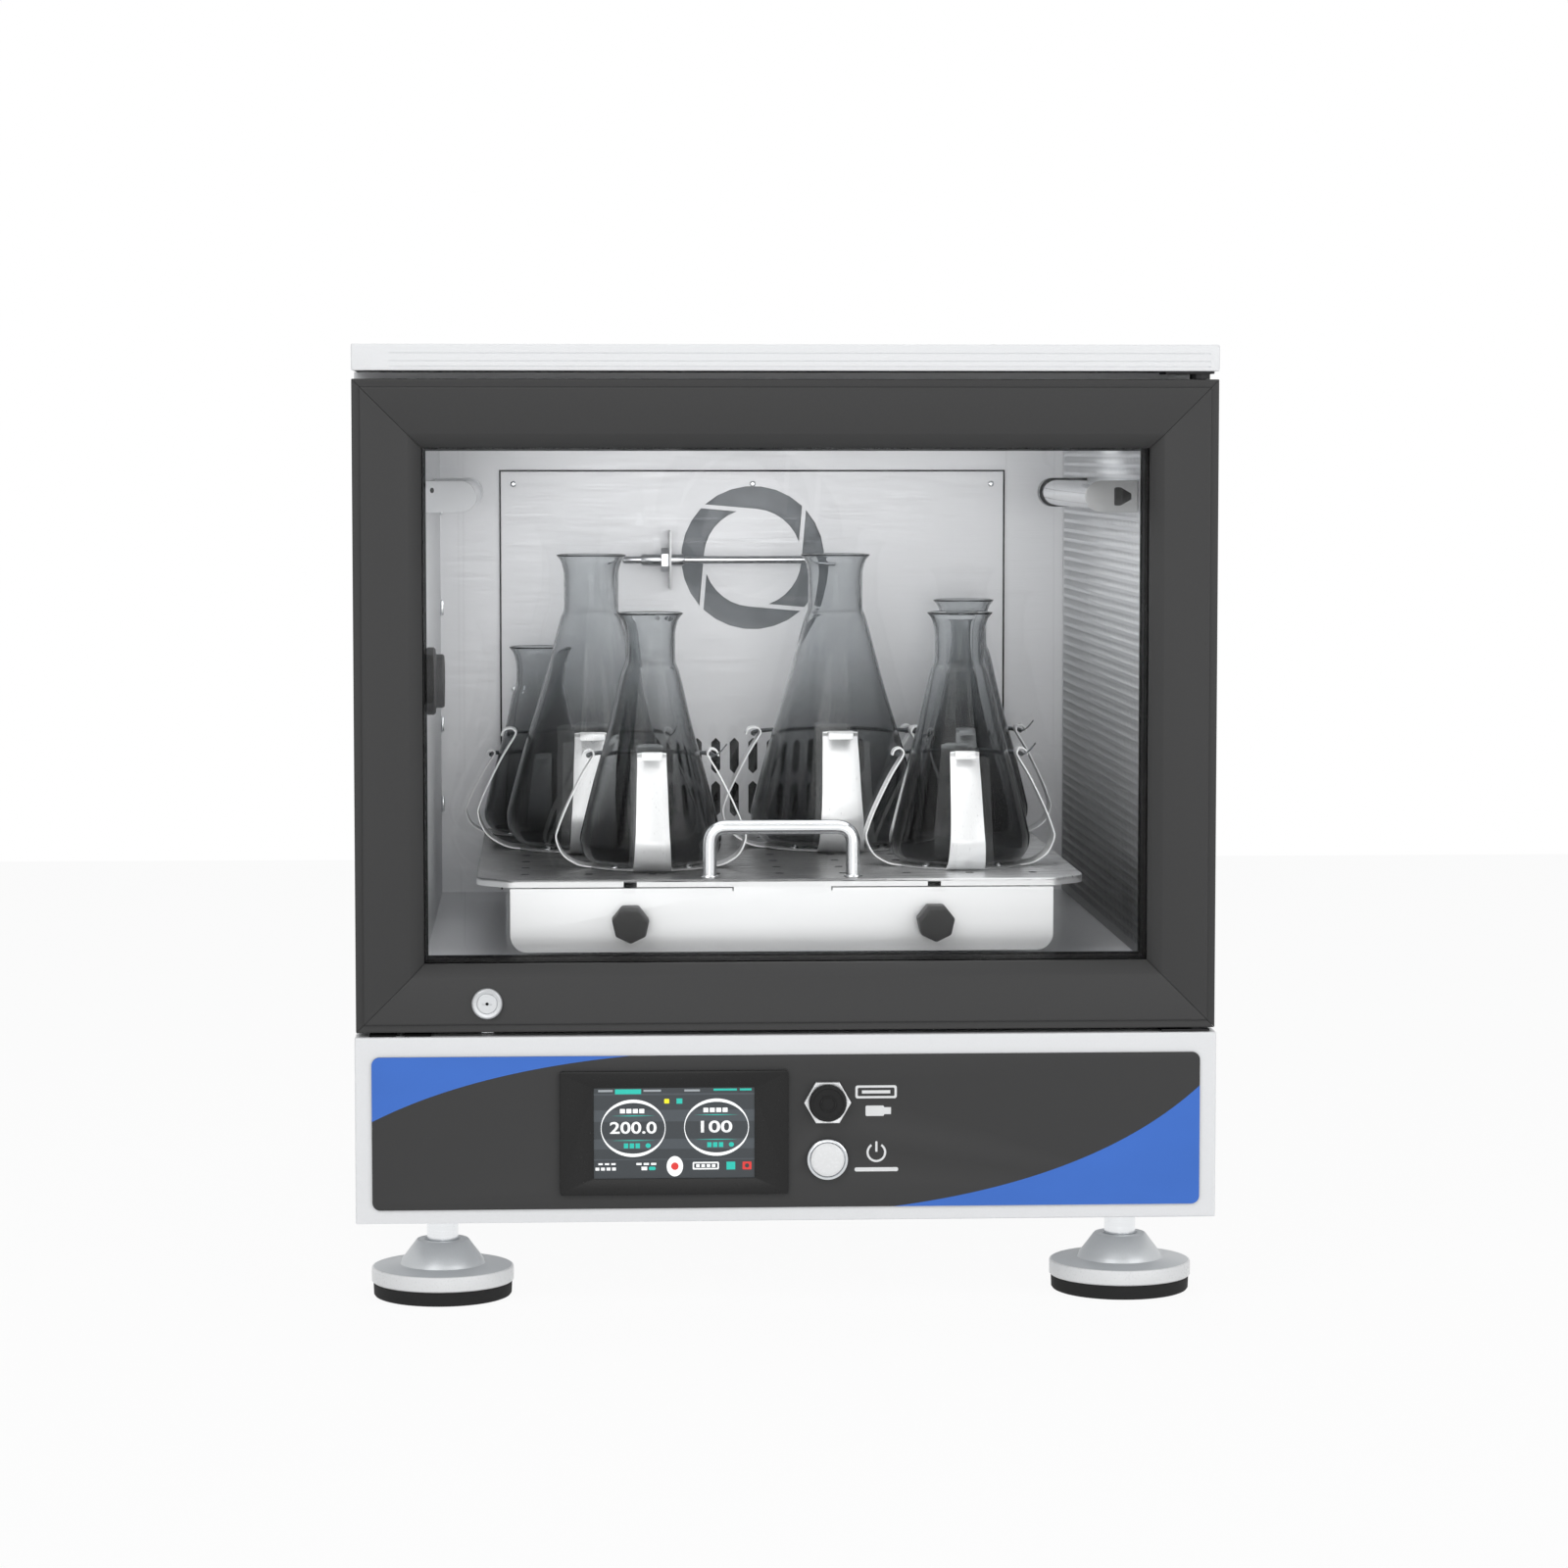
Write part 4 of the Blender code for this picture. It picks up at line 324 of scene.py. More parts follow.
def lathe(profile, steps=None, matrix=None):
    """A turned shape from (radius, height) points, closed at the axis or round a bore."""
    steps = steps or bpy.context.scene.incubator_trim.round_steps
    bm = bmesh.new()
    rings = []
    for radius, height in profile:
        turns = [tau * i / steps for i in range(steps if radius else 1)]
        rings.append([bm.verts.new((radius * cos(a), radius * sin(a), height)) for a in turns])
    pairs = list(zip(rings, rings[1:]))
    if len(rings[0]) > 1:
        pairs.append((rings[-1], rings[0]))
    for low, high in pairs:
        for i in range(steps):
            j = (i + 1) % steps
            around = [ring[k % len(ring)] for ring, k in ((low, i), (low, j), (high, j), (high, i))]
            corners = list(dict.fromkeys(around))
            if len(corners) > 2:
                bm.faces.new(corners)
    mesh = from_bmesh(bm)
    if matrix is not None:
        mesh.transform(matrix)
    return mesh


def facing(x, y, z):
    """Turns a flat outline or a lathe's axis to face the front, at this place."""
    return Matrix.Translation((x, y, z)) @ FRONT


def front_circle(node):
    """The centre of a round node on the front, x and z, and its radius."""
    low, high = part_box(node)
    return (low.x + high.x) / 2, (low.z + high.z) / 2, (high.x - low.x) / 2


def film_face():
    """Where what stands on the control film begins: a hair in front of it."""
    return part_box("control_panel")[0].y - 0.0003


def skinned(bm, rings):
    """The mesh of a solid with these rings of corners one after the other, closed at both ends."""
    for low, high in zip(rings, rings[1:]):
        for k in range(len(low)):
            j = (k + 1) % len(low)
            bm.faces.new((low[k], low[j], high[j], high[k]))
    bm.faces.new(rings[0][::-1])
    bm.faces.new(rings[-1])
    return from_bmesh(bm)


def tube(path, radius, sides):
    """A round rod along a path of Vectors, with closed ends."""
    bm = bmesh.new()
    side = (path[1] - path[0]).normalized().orthogonal().normalized()
    rings = []
    for i, point in enumerate(path):
        ahead = (path[min(i + 1, len(path) - 1)] - path[max(i - 1, 0)]).normalized()
        side = (side - ahead * side.dot(ahead)).normalized()
        up = ahead.cross(side)
        turns = [tau * k / sides for k in range(sides)]
        rings.append([bm.verts.new(point + (side * cos(a) + up * sin(a)) * radius) for a in turns])
    return skinned(bm, rings)


def ribbon(centre, half_widths, thickness, matrix):
    """A bent strip of sheet: its middle line, its half width along Y at each point, and its placing."""
    bm = bmesh.new()
    across = Vector((0, 1, 0))
    rows = []
    for i, point in enumerate(centre):
        ahead = (centre[min(i + 1, len(centre) - 1)] - centre[max(i - 1, 0)]).normalized()
        out = ahead.cross(across).normalized() * thickness / 2
        half = across * half_widths[i]
        corners = (-half, -out), (half, -out), (half, out), (-half, out)
        rows.append([bm.verts.new(point + a + b) for a, b in corners])
    mesh = skinned(bm, rows)
    mesh.transform(matrix)
    return mesh


def piece(name, mesh, finish, body, stands_for=None, smooth=30):
    """Names a finished mesh, gives it its finish and hangs it on the body that carries it."""
    mesh.materials.clear()
    mesh.materials.append(look(finish))
    mesh.name = name
    obj = placed(name, mesh)
    if smooth:
        mesh.shade_smooth()
        mesh.set_sharp_from_angle(angle=radians(smooth))
    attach(obj, body)
    if stands_for:
        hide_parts(stands_for)


# Finishes

LOOKS = {}


def look(name):
    """The finish of that name, made on first use."""
    if name not in LOOKS:
        if name in SCREEN_LIGHTS:
            LOOKS[name] = glowing(name, *SCREEN_LIGHTS[name])
        else:
            colour, roughness, grain, settings = FINISHES[name]
            LOOKS[name] = finished(name, colour, roughness, grain, **settings)
    return LOOKS[name]


def surface(name, colour, roughness, grain, metallic=0.0, shift=0.03, play=0.05, bump=0.0, **sockets):
    """A Principled finish with a real grain: grain is its size in metres, or one each along X, Y and Z.

    Shift is how far the grain changes the colour, play how far it changes the roughness, bump its height.
    """
    material = bpy.data.materials.new(name)
    material.use_nodes = True
    tree = material.node_tree
    shader = tree.nodes["Principled BSDF"]
    shader.inputs["Metallic"].default_value = metallic
    for socket, value in sockets.items():
        shader.inputs[socket.replace("_", " ")].default_value = value
    sizes = grain if isinstance(grain, tuple) else (grain, grain, grain)
    where = add(tree, "ShaderNodeTexCoord")
    scale = [1 / size for size in sizes]
    place = add(tree, "ShaderNodeMapping", {"Vector": where.outputs["Object"], "Scale": scale})
    spots = {"Vector": place, "Scale": 1.0, "Detail": 2.0, "Roughness": 0.5}
    fine = add(tree, "ShaderNodeTexNoise", spots)
    tones = add(tree, "ShaderNodeValToRGB", {"Fac": fine})
    low, high = tones.color_ramp.elements
    low.position, high.position = 0.25, 0.75
    low.color, high.color = rgba(shade(colour, 1 - shift)), rgba(shade(colour, 1 + shift))
    span = {"Value": fine, "From Min": 0.25, "From Max": 0.75}
    span |= {"To Min": max(roughness - play, 0.02), "To Max": roughness + play}
    sheen = add(tree, "ShaderNodeMapRange", span)
    tree.links.new(tones.outputs["Color"], shader.inputs["Base Color"])
    tree.links.new(sheen.outputs["Result"], shader.inputs["Roughness"])
    if bump:
        raised = add(tree, "ShaderNodeBump", {"Height": fine, "Distance": bump, "Strength": 1.0})
        tree.links.new(raised.outputs["Normal"], shader.inputs["Normal"])
    material.diffuse_color = rgba(colour)
    return material


def deepened(material, low, high, share, axis="Z"):
    """Darkens the finish to one end of an axis: at low and below, its colour is multiplied by the share."""
    tree = material.node_tree
    shader = tree.nodes["Principled BSDF"]
    colour = shader.inputs["Base Color"].links[0].from_socket
    where = add(tree, "ShaderNodeTexCoord")
    split = add(tree, "ShaderNodeSeparateXYZ", {"Vector": where.outputs["Object"]})
    span = {"Value": split.outputs[axis], "From Min": low, "From Max": high, "To Min": share, "To Max": 1.0}
    level = add(tree, "ShaderNodeMapRange", span, interpolation_type="SMOOTHSTEP")
    grey = add(tree, "ShaderNodeCombineColor", {c: level for c in ("Red", "Green", "Blue")})
    mix = add(tree, "ShaderNodeMix", data_type="RGBA", blend_type="MULTIPLY")
    mix.inputs[0].default_value = 1.0
    tree.links.new(colour, mix.inputs[6])
    tree.links.new(grey.outputs["Color"], mix.inputs[7])
    tree.links.new(mix.outputs[2], shader.inputs["Base Color"])
    return material


def glowing(name, code, strength):
    """A lit patch of the screen: its own colour, also when no light falls on it."""
    material = surface(name, linear(code), 0.35, 0.002, shift=0.03)
    shader = material.node_tree.nodes["Principled BSDF"]
    shader.inputs["Emission Color"].default_value = rgba(linear(code))
    shader.inputs["Emission Strength"].default_value = strength
    return material


def finished(name, colour, roughness, grain, deep=None, lighter=1.0, **settings):
    """A finish from its recipe. The colour is sRGB hex or the name of a colour setting."""
    tone = linear(colour) if colour[0] == "#" else getattr(bpy.context.scene.incubator_colours, colour)
    material = surface(name, shade(tone, lighter), roughness, grain, **settings)
    if "Alpha" in settings:
        material.blend_method = "BLEND"
    return deepened(material, *deep) if deep else material


# Each finish: colour, roughness, grain in metres, and what else it needs
FINISHES = {
    # Polyester powder on steel: satin, with a fine orange peel of about a millimetre
    "powder_coat_white": ("cabinet", 0.42, 0.0011, dict(shift=0.012, play=0.06, bump=0.00002)),
    # Powder on extruded aluminium: a dry fine texture that breaks up the highlights
    "powder_coat_charcoal": (
        "door", 0.50, 0.0007, dict(shift=0.07, play=0.07, bump=0.00002, Specular_IOR_Level=0.28)
    ),
    # Screen-printed film, matt side out: very even, with a slight velvet grain
    "printed_polycarbonate": (
        "film", 0.46, 0.0005, dict(shift=0.03, play=0.04, bump=0.000006, Specular_IOR_Level=0.28)
    ),
    # A coloured ink field under the same matt film, a little deeper towards its inner edge
    "printed_accent": (
        "accent", 0.44, (0.10, 0.10, 0.05), dict(shift=0.06, play=0.03, Specular_IOR_Level=0.28)
    ),
    # Screen ink on the film's face
    "white_ink": ("#F1F2F2", 0.5, 0.0006, dict(shift=0.02)),
    # 304 sheet, satin polished along the wall: fine lines a few centimetres long
    "satin_stainless": (
        "steel", 0.36, (0.05, 0.05, 0.0009), dict(metallic=0.38, shift=0.025, play=0.07, bump=0.000004)
    ),
    # The same sheet on the floor, brushed from side to side, its colour a little lighter as painted light
    # where the tray shades it
    "floor_stainless": (
        "steel", 0.33, (0.06, 0.0009, 0.05),
        dict(lighter=1.04, metallic=0.35, shift=0.03, play=0.07, bump=0.000004),
    ),
    # Punched sheet, darker towards the bottom: painted reflection of the light ceiling above and of the dark
    # tray and floor below
    "perforated_stainless": (
        "#EBEDEF", 0.34, (0.05, 0.0012, 0.0012),
        dict(metallic=0.7, shift=0.05, play=0.08, deep=(0.24, 0.52, 0.12)),
    ),
    # Rolled and polished rod, nearly mirror bright, with faint drawing lines
    "bright_stainless": ("#ECEEF0", 0.17, (0.02, 0.02, 0.0008), dict(metallic=1.0, shift=0.02, play=0.06)),
    # Tempered spring strip, satin rolled: nearly white where it faces the lamps
    "spring_leaf_steel": (
        "#F5F6F6", 0.32, (0.0010, 0.0010, 0.03), dict(metallic=0.35, shift=0.012, play=0.06, bump=0.000003)
    ),
    # Drawn and polished rod: bright, with fine rings across it
    "polished_rod": ("#E6E8EA", 0.20, (0.015, 0.0008, 0.0008), dict(metallic=1.0, shift=0.03, play=0.05)),
    # Oil-tempered wire: dull grey, uneven from turn to turn
    "spring_wire": ("#6E7275", 0.35, 0.0015, dict(metallic=1.0, shift=0.08, play=0.08)),
    # Hinge leaves with a black oxide finish, rubbed a little on their faces
    "blackened_steel": ("#2A2A2B", 0.42, 0.0012, dict(metallic=0.7, shift=0.15, play=0.08, bump=0.000005)),
    # Folded front of the tray: a fine satin face, nearly white under the lamps, and darker low on its front as
    # painted shade
    "tray_stainless": (
        "#F4F5F5", 0.36, (0.07, 0.0010, 0.0010),
        dict(metallic=0.35, shift=0.015, play=0.06, bump=0.000004, deep=(0.238, 0.262, 0.62)),
    ),
    # The tray's flat deck, brushed from side to side, and darker towards the left: painted shade
    "tray_deck_steel": (
        "#F2F3F4", 0.30, (0.07, 0.0011, 0.05),
        dict(metallic=0.50, shift=0.08, play=0.08, bump=0.000006, deep=(0.02, 0.15, 0.22, "X")),
    ),
    # Turned and chromed: bright, but it takes the grey of the room at its edges
    "chrome_ring": ("#D4D7DA", 0.14, 0.002, dict(metallic=1.0, shift=0.03, play=0.05)),
    # Nickel plate over brass, lightly brushed
    "satin_lock_steel": ("#C6C8CA", 0.34, (0.004, 0.004, 0.0007), dict(metallic=0.75, shift=0.05, play=0.07)),
    # Bright nickel on the hexagon nut: light all over, since its flats take in the whole room
    "nickel_plate": ("#E9EAEB", 0.30, 0.0014, dict(metallic=0.45, shift=0.03, play=0.06)),
    # Plain zinc-coated sheet behind the outlet, its grey darkened as painted shade of the panel
    "zinc_sheet": ("#7A7E82", 0.45, (0.012, 0.002, 0.012), dict(metallic=0.55, shift=0.05, play=0.08)),
    # Turned aluminium: a soft grey sheen
    "machined_aluminium": (
        "#D0D3D5", 0.40, 0.0008, dict(metallic=0.55, shift=0.04, play=0.07, bump=0.000004)
    ),
    # Sprayed lacquer on the feet, glossier than the cabinet's powder
    "white_lacquer": ("#F4F5F5", 0.30, 0.0015, dict(shift=0.012, play=0.05)),
    # Sand cast: a coarse grain with a dull shine
    "cast_aluminium": ("#A4A8AC", 0.55, 0.0022, dict(metallic=0.9, shift=0.10, play=0.08, bump=0.00012)),
    # Moulded nitrile rubber: dull and slightly dusty
    "moulded_rubber": (
        "#262626", 0.82, 0.0009, dict(shift=0.10, play=0.06, bump=0.00003, Specular_IOR_Level=0.3)
    ),
    # Extruded black silicone on the seals, dull so that it reads as a dark line; the same black also stands
    # for shade in gaps and hollows as painted shade
    "black_seal": (
        "#060606", 0.75, 0.0012, dict(shift=0.2, play=0.06, bump=0.000002, Specular_IOR_Level=0.12)
    ),
    # Glass-filled nylon: a fine spark texture
    "moulded_grey": (
        "#363636", 0.56, 0.0008, dict(shift=0.06, play=0.06, bump=0.00003, Specular_IOR_Level=0.35)
    ),
    # Moulded ABS with a light gloss
    "gloss_black": (
        "bezel", 0.30, 0.0012, dict(shift=0.04, play=0.04, bump=0.000003, Specular_IOR_Level=0.3)
    ),
    # Moulded ABS push key, polished
    "gloss_white": ("#F8F9F9", 0.26, 0.002, dict(shift=0.012, play=0.04)),
    # Rigid foam: open cells and a chalky face
    "foam_board": ("#E3DDC2", 0.92, 0.0018, dict(shift=0.10, play=0.04, bump=0.0002)),
    # Reticulated foam behind the grille: nearly black from outside
    "filter_foam": ("#0C0C0D", 0.95, 0.0016, dict(shift=0.30, play=0.04, bump=0.0003)),
    # Clear tube over a polished reflector, drawn as grey metal: long streaks of light and dark painted into
    # its colour along it, as painted reflection
    "drawn_lamp_tube": (
        "#B4B8BC", 0.14, (0.0026, 0.30, 0.0026), dict(metallic=0.9, shift=0.60, play=0.10, Coat_Weight=0.6)
    ),
    # Moulded polycarbonate cap on the right, its grey darker as painted shade of that side
    "lamp_cap_shaded": ("#C0C1C1", 0.50, 0.0009, dict(shift=0.02, play=0.06, bump=0.00001)),
    # The same cap on the left, near white as painted light, with the pale steel of the wall beside it painted
    # in as reflection
    "lamp_cap_pale": ("#F2F4F6", 0.46, 0.0009, dict(shift=0.02, play=0.06, bump=0.00001)),
    # The unlit inside of a socket
    "dark_socket": ("#1C1C1C", 0.6, 0.0008, dict(shift=0.12, play=0.06, bump=0.00001)),
    # Float glass seen face on: clear, with a faint reflection
    "pane_glass": (
        "#EEF0F1", 0.03, 0.05, dict(shift=0.01, play=0.01, Transmission_Weight=1.0, IOR=1.45, Alpha=0.05)
    ),
    # Grey borosilicate, blown: light grey at the neck and tinted darker towards the bottom
    "smoky_glass": (
        "flask", 0.02, 0.03,
        dict(
            shift=0.03, play=0.01, Transmission_Weight=1.0, IOR=1.47, Specular_Tint=(0.28, 0.28, 0.28, 1),
            deep=(0.300, 0.462, 0.36),
        ),
    ),
}

# Lit patches of the screen: colour and strength
SCREEN_LIGHTS = {
    "screen_ground": ("#33383C", 0.25), "screen_band": ("#454B50", 0.25), "screen_white": ("#F2F4F4", 0.45),
    "screen_grey": ("#9AA0A4", 0.35), "screen_teal": ("#1FB5A5", 0.45), "screen_red": ("#D0332F", 0.45),
    "screen_yellow": ("#E8E020", 0.45),
}


# Geometry Nodes


def new_tree(name, **sockets):
    """An empty Geometry Nodes tree with named inputs. It returns the tree, what it is given and its end."""
    tree = bpy.data.node_groups.new(name, "GeometryNodeTree")
    tree.interface.new_socket("Geometry", in_out="INPUT", socket_type="NodeSocketGeometry")
    for socket, kind in sockets.items():
        tree.interface.new_socket(socket.replace("_", " "), in_out="INPUT", socket_type="NodeSocket" + kind)
    tree.interface.new_socket("Geometry", in_out="OUTPUT", socket_type="NodeSocketGeometry")
    return tree, tree.nodes.new("NodeGroupInput").outputs, tree.nodes.new("NodeGroupOutput")


def close_tree(tree, given, sink, geometry):
    """Realises what the tree made, gives it its material and sends it out."""
    real = add(tree, "GeometryNodeRealizeInstances", {"Geometry": geometry})
    dress = {"Geometry": real, "Material": given["Material"]}
    dressed = add(tree, "GeometryNodeSetMaterial", dress)
    tree.links.new(dressed.outputs["Geometry"], sink.inputs["Geometry"])
    return tree


def grown(tree, host=None, **values):
    """Runs a tree on a host mesh and returns the plain mesh that it makes."""
    obj = placed("host", host or bpy.data.meshes.new("host"))
    modifier = obj.modifiers.new("grow", "NODES")
    modifier.node_group = tree
    for item in tree.interface.items_tree:
        key = item.name.replace(" ", "_")
        if item.in_out == "INPUT" and key in values:
            modifier[item.identifier] = values[key]
    return plain(obj)


def scatter_tree():
    """Sets a copy of a small part at each point, standing along the point's aim and turned at random."""
    tree, given, sink = new_tree(
        "set_at_points", Part="Object", Seed="Int", Turn="Float", Material="Material"
    )
    aim = add(tree, "GeometryNodeInputNamedAttribute", {"Name": "aim"}, data_type="FLOAT_VECTOR")
    stand = add(tree, "FunctionNodeAlignRotationToVector", {"Vector": aim}, axis="Z")
    chance = add(
        tree, "FunctionNodeRandomValue", {"Seed": given["Seed"], "Max": given["Turn"]}, data_type="FLOAT"
    )
    spin = add(tree, "ShaderNodeCombineXYZ", {"Z": chance.outputs[1]})
    turned = add(
        tree, "FunctionNodeRotateRotation", {"Rotation": stand, "Rotate By": spin}, rotation_space="LOCAL"
    )
    part = add(tree, "GeometryNodeObjectInfo", {"Object": given["Part"]})
    copies = add(
        tree, "GeometryNodeInstanceOnPoints",
        {"Points": given["Geometry"], "Instance": part.outputs["Geometry"], "Rotation": turned},
    )
    return close_tree(tree, given, sink, copies)


def coil_tree():
    """Bends a coil spring round part of a ring."""
    sizes = dict.fromkeys(("Ring", "Start", "Sweep", "Coil", "Wire"), "Float")
    tree, given, sink = new_tree("ring_spring", **sizes, Turns="Int", Material="Material")
    steps = 10
    count = add(tree, "ShaderNodeMath", {0: given["Turns"], 1: steps}, operation="MULTIPLY")
    ring = add(
        tree, "GeometryNodeCurveArc",
        {
            "Resolution": count, "Radius": given["Ring"], "Start Angle": given["Start"],
            "Sweep Angle": given["Sweep"],
        },
    )
    index = add(tree, "GeometryNodeInputIndex")
    angle = add(tree, "ShaderNodeMath", {0: index, 1: tau / steps}, operation="MULTIPLY")
    place = add(tree, "GeometryNodeInputPosition")
    outward = add(tree, "ShaderNodeVectorMath", {0: place}, operation="NORMALIZE")
    swing = add(tree, "ShaderNodeMath", {0: angle}, operation="COSINE")
    lift = add(tree, "ShaderNodeMath", {0: angle}, operation="SINE")
    aside = add(tree, "ShaderNodeVectorMath", {0: outward, "Scale": swing}, operation="SCALE")
    above = add(tree, "ShaderNodeCombineXYZ", {"Z": lift})
    both = add(tree, "ShaderNodeVectorMath", {0: aside, 1: above}, operation="ADD")
    offset = add(tree, "ShaderNodeVectorMath", {0: both, "Scale": given["Coil"]}, operation="SCALE")
    wound = add(tree, "GeometryNodeSetPosition", {"Geometry": ring, "Offset": offset})
    section = add(tree, "GeometryNodeCurvePrimitiveCircle", {"Resolution": 6, "Radius": given["Wire"]})
    wire = add(tree, "GeometryNodeCurveToMesh", {"Curve": wound, "Profile Curve": section, "Fill Caps": True})
    return close_tree(tree, given, sink, wire)


def sheet_tree():
    """Tiles one slotted cell into a perforated sheet, row by row."""
    tree, given, sink = new_tree(
        "slotted_sheet", Cell="Object", Columns="Int", Rows="Int", Width="Float", Height="Float",
        Material="Material",
    )
    grid = add(
        tree, "GeometryNodeMeshGrid",
        {
            "Size X": given["Width"], "Size Y": given["Height"], "Vertices X": given["Columns"],
            "Vertices Y": given["Rows"],
        },
    )
    cell = add(tree, "GeometryNodeObjectInfo", {"Object": given["Cell"]})
    tiles = add(tree, "GeometryNodeInstanceOnPoints", {"Points": grid, "Instance": cell.outputs["Geometry"]})
    real = add(tree, "GeometryNodeRealizeInstances", {"Geometry": tiles})
    whole = add(tree, "GeometryNodeMergeByDistance", {"Geometry": real, "Distance": 0.00005})
    return close_tree(tree, given, sink, whole)


TREES = {}


def tree_of(maker):
    """The tree of that kind, built once."""
    if maker.__name__ not in TREES:
        TREES[maker.__name__] = maker()
    return TREES[maker.__name__]


def at_points(places, part, finish, seed=3):
    """Copies of a small mesh at (place, aim) pairs, as one mesh."""
    host = bpy.data.meshes.new("points")
    host.from_pydata([place for place, _ in places], [], [])
    aims = host.attributes.new("aim", "FLOAT_VECTOR", "POINT")
    for item, (_, aim) in zip(aims.data, places):
        item.vector = aim
    obj = placed("small_part", part)
    mesh = grown(tree_of(scatter_tree), host, Part=obj, Seed=seed, Turn=tau, Material=look(finish))
    bpy.data.objects.remove(obj, do_unlink=True)
    return mesh


def cross_screw(radius, height):
    """A pan-head screw with a cross recess, standing on z = 0."""
    head = lathe(
        [
            (0, height), (radius * 0.45, height * 0.97), (radius * 0.75, height * 0.80),
            (radius * 0.95, height * 0.42), (radius, 0), (0, 0),
        ],
        20,
    )
    slot = radius * 0.11
    arms = [
        block((-radius * 0.5, -slot, height * 0.62), (radius * 0.5, slot, height * 1.4)),
        block((-slot, -radius * 0.5, height * 0.62), (slot, radius * 0.5, height * 1.4)),
    ]
    return carved(head, *arms)


def carved(mesh, *cutters):
    """The mesh with the cutters taken out of it."""
    for cutter in cutters:
        obj = placed("carve", mesh)
        tool = placed("cutter", cutter)
        boolean = obj.modifiers.new("carve", "BOOLEAN")
        boolean.operation = "DIFFERENCE"
        boolean.solver = "EXACT"
        boolean.object = tool
        mesh = plain(obj)
        bpy.data.objects.remove(tool, do_unlink=True)
    return mesh


def cover_screws():
    """Where the screws of the rear cover, the base and the cabinet sit: point and outward direction."""
    rear_low, rear_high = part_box("rear_cover")
    _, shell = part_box("cabinet_shell")
    shell_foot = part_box("cabinet_shell")[0].z + 0.014
    base_low, base_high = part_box("base_housing")
    rows = [
        (x, z) for x in (-0.28, -0.14, 0.0, 0.14, 0.28) for z in (rear_low.z + 0.012, rear_high.z - 0.012)
    ]
    rows += [(x, z) for z in (0.30, 0.41, 0.52) for x in (-0.28, 0.28)]
    sides = [(side, y) for side in (-1, 1) for y in (-0.22, 0.0, 0.22)]
    return {
        "rear_cover": [((x, rear_high.y, z), (0, 1, 0)) for x, z in rows],
        "base_housing": [((side * base_high.x, y, base_low.z + 0.014), (side, 0, 0)) for side, y in sides],
        "cabinet_shell": [((side * shell.x, y, shell_foot), (side, 0, 0)) for side, y in sides],
    }


def dimpled(mesh, spots, radius):
    """The sheet with a shallow dimple for each screw head, so that no head stands proud of it."""
    cutters = []
    for point, out in spots:
        turn = Vector(out).to_track_quat("Z", "Y").to_matrix().to_4x4()
        profile = [(0, 0.004), (radius + 0.0012, 0.004), (radius + 0.0005, -SCREW_SEAT), (0, -SCREW_SEAT)]
        cutters.append(lathe(profile, 32, Matrix.Translation(point) @ turn))
    return carved(mesh, merged(*cutters))


# Operators


class IncubatorOperator:
    """What the steps share."""

    bl_options = {"REGISTER", "UNDO"}


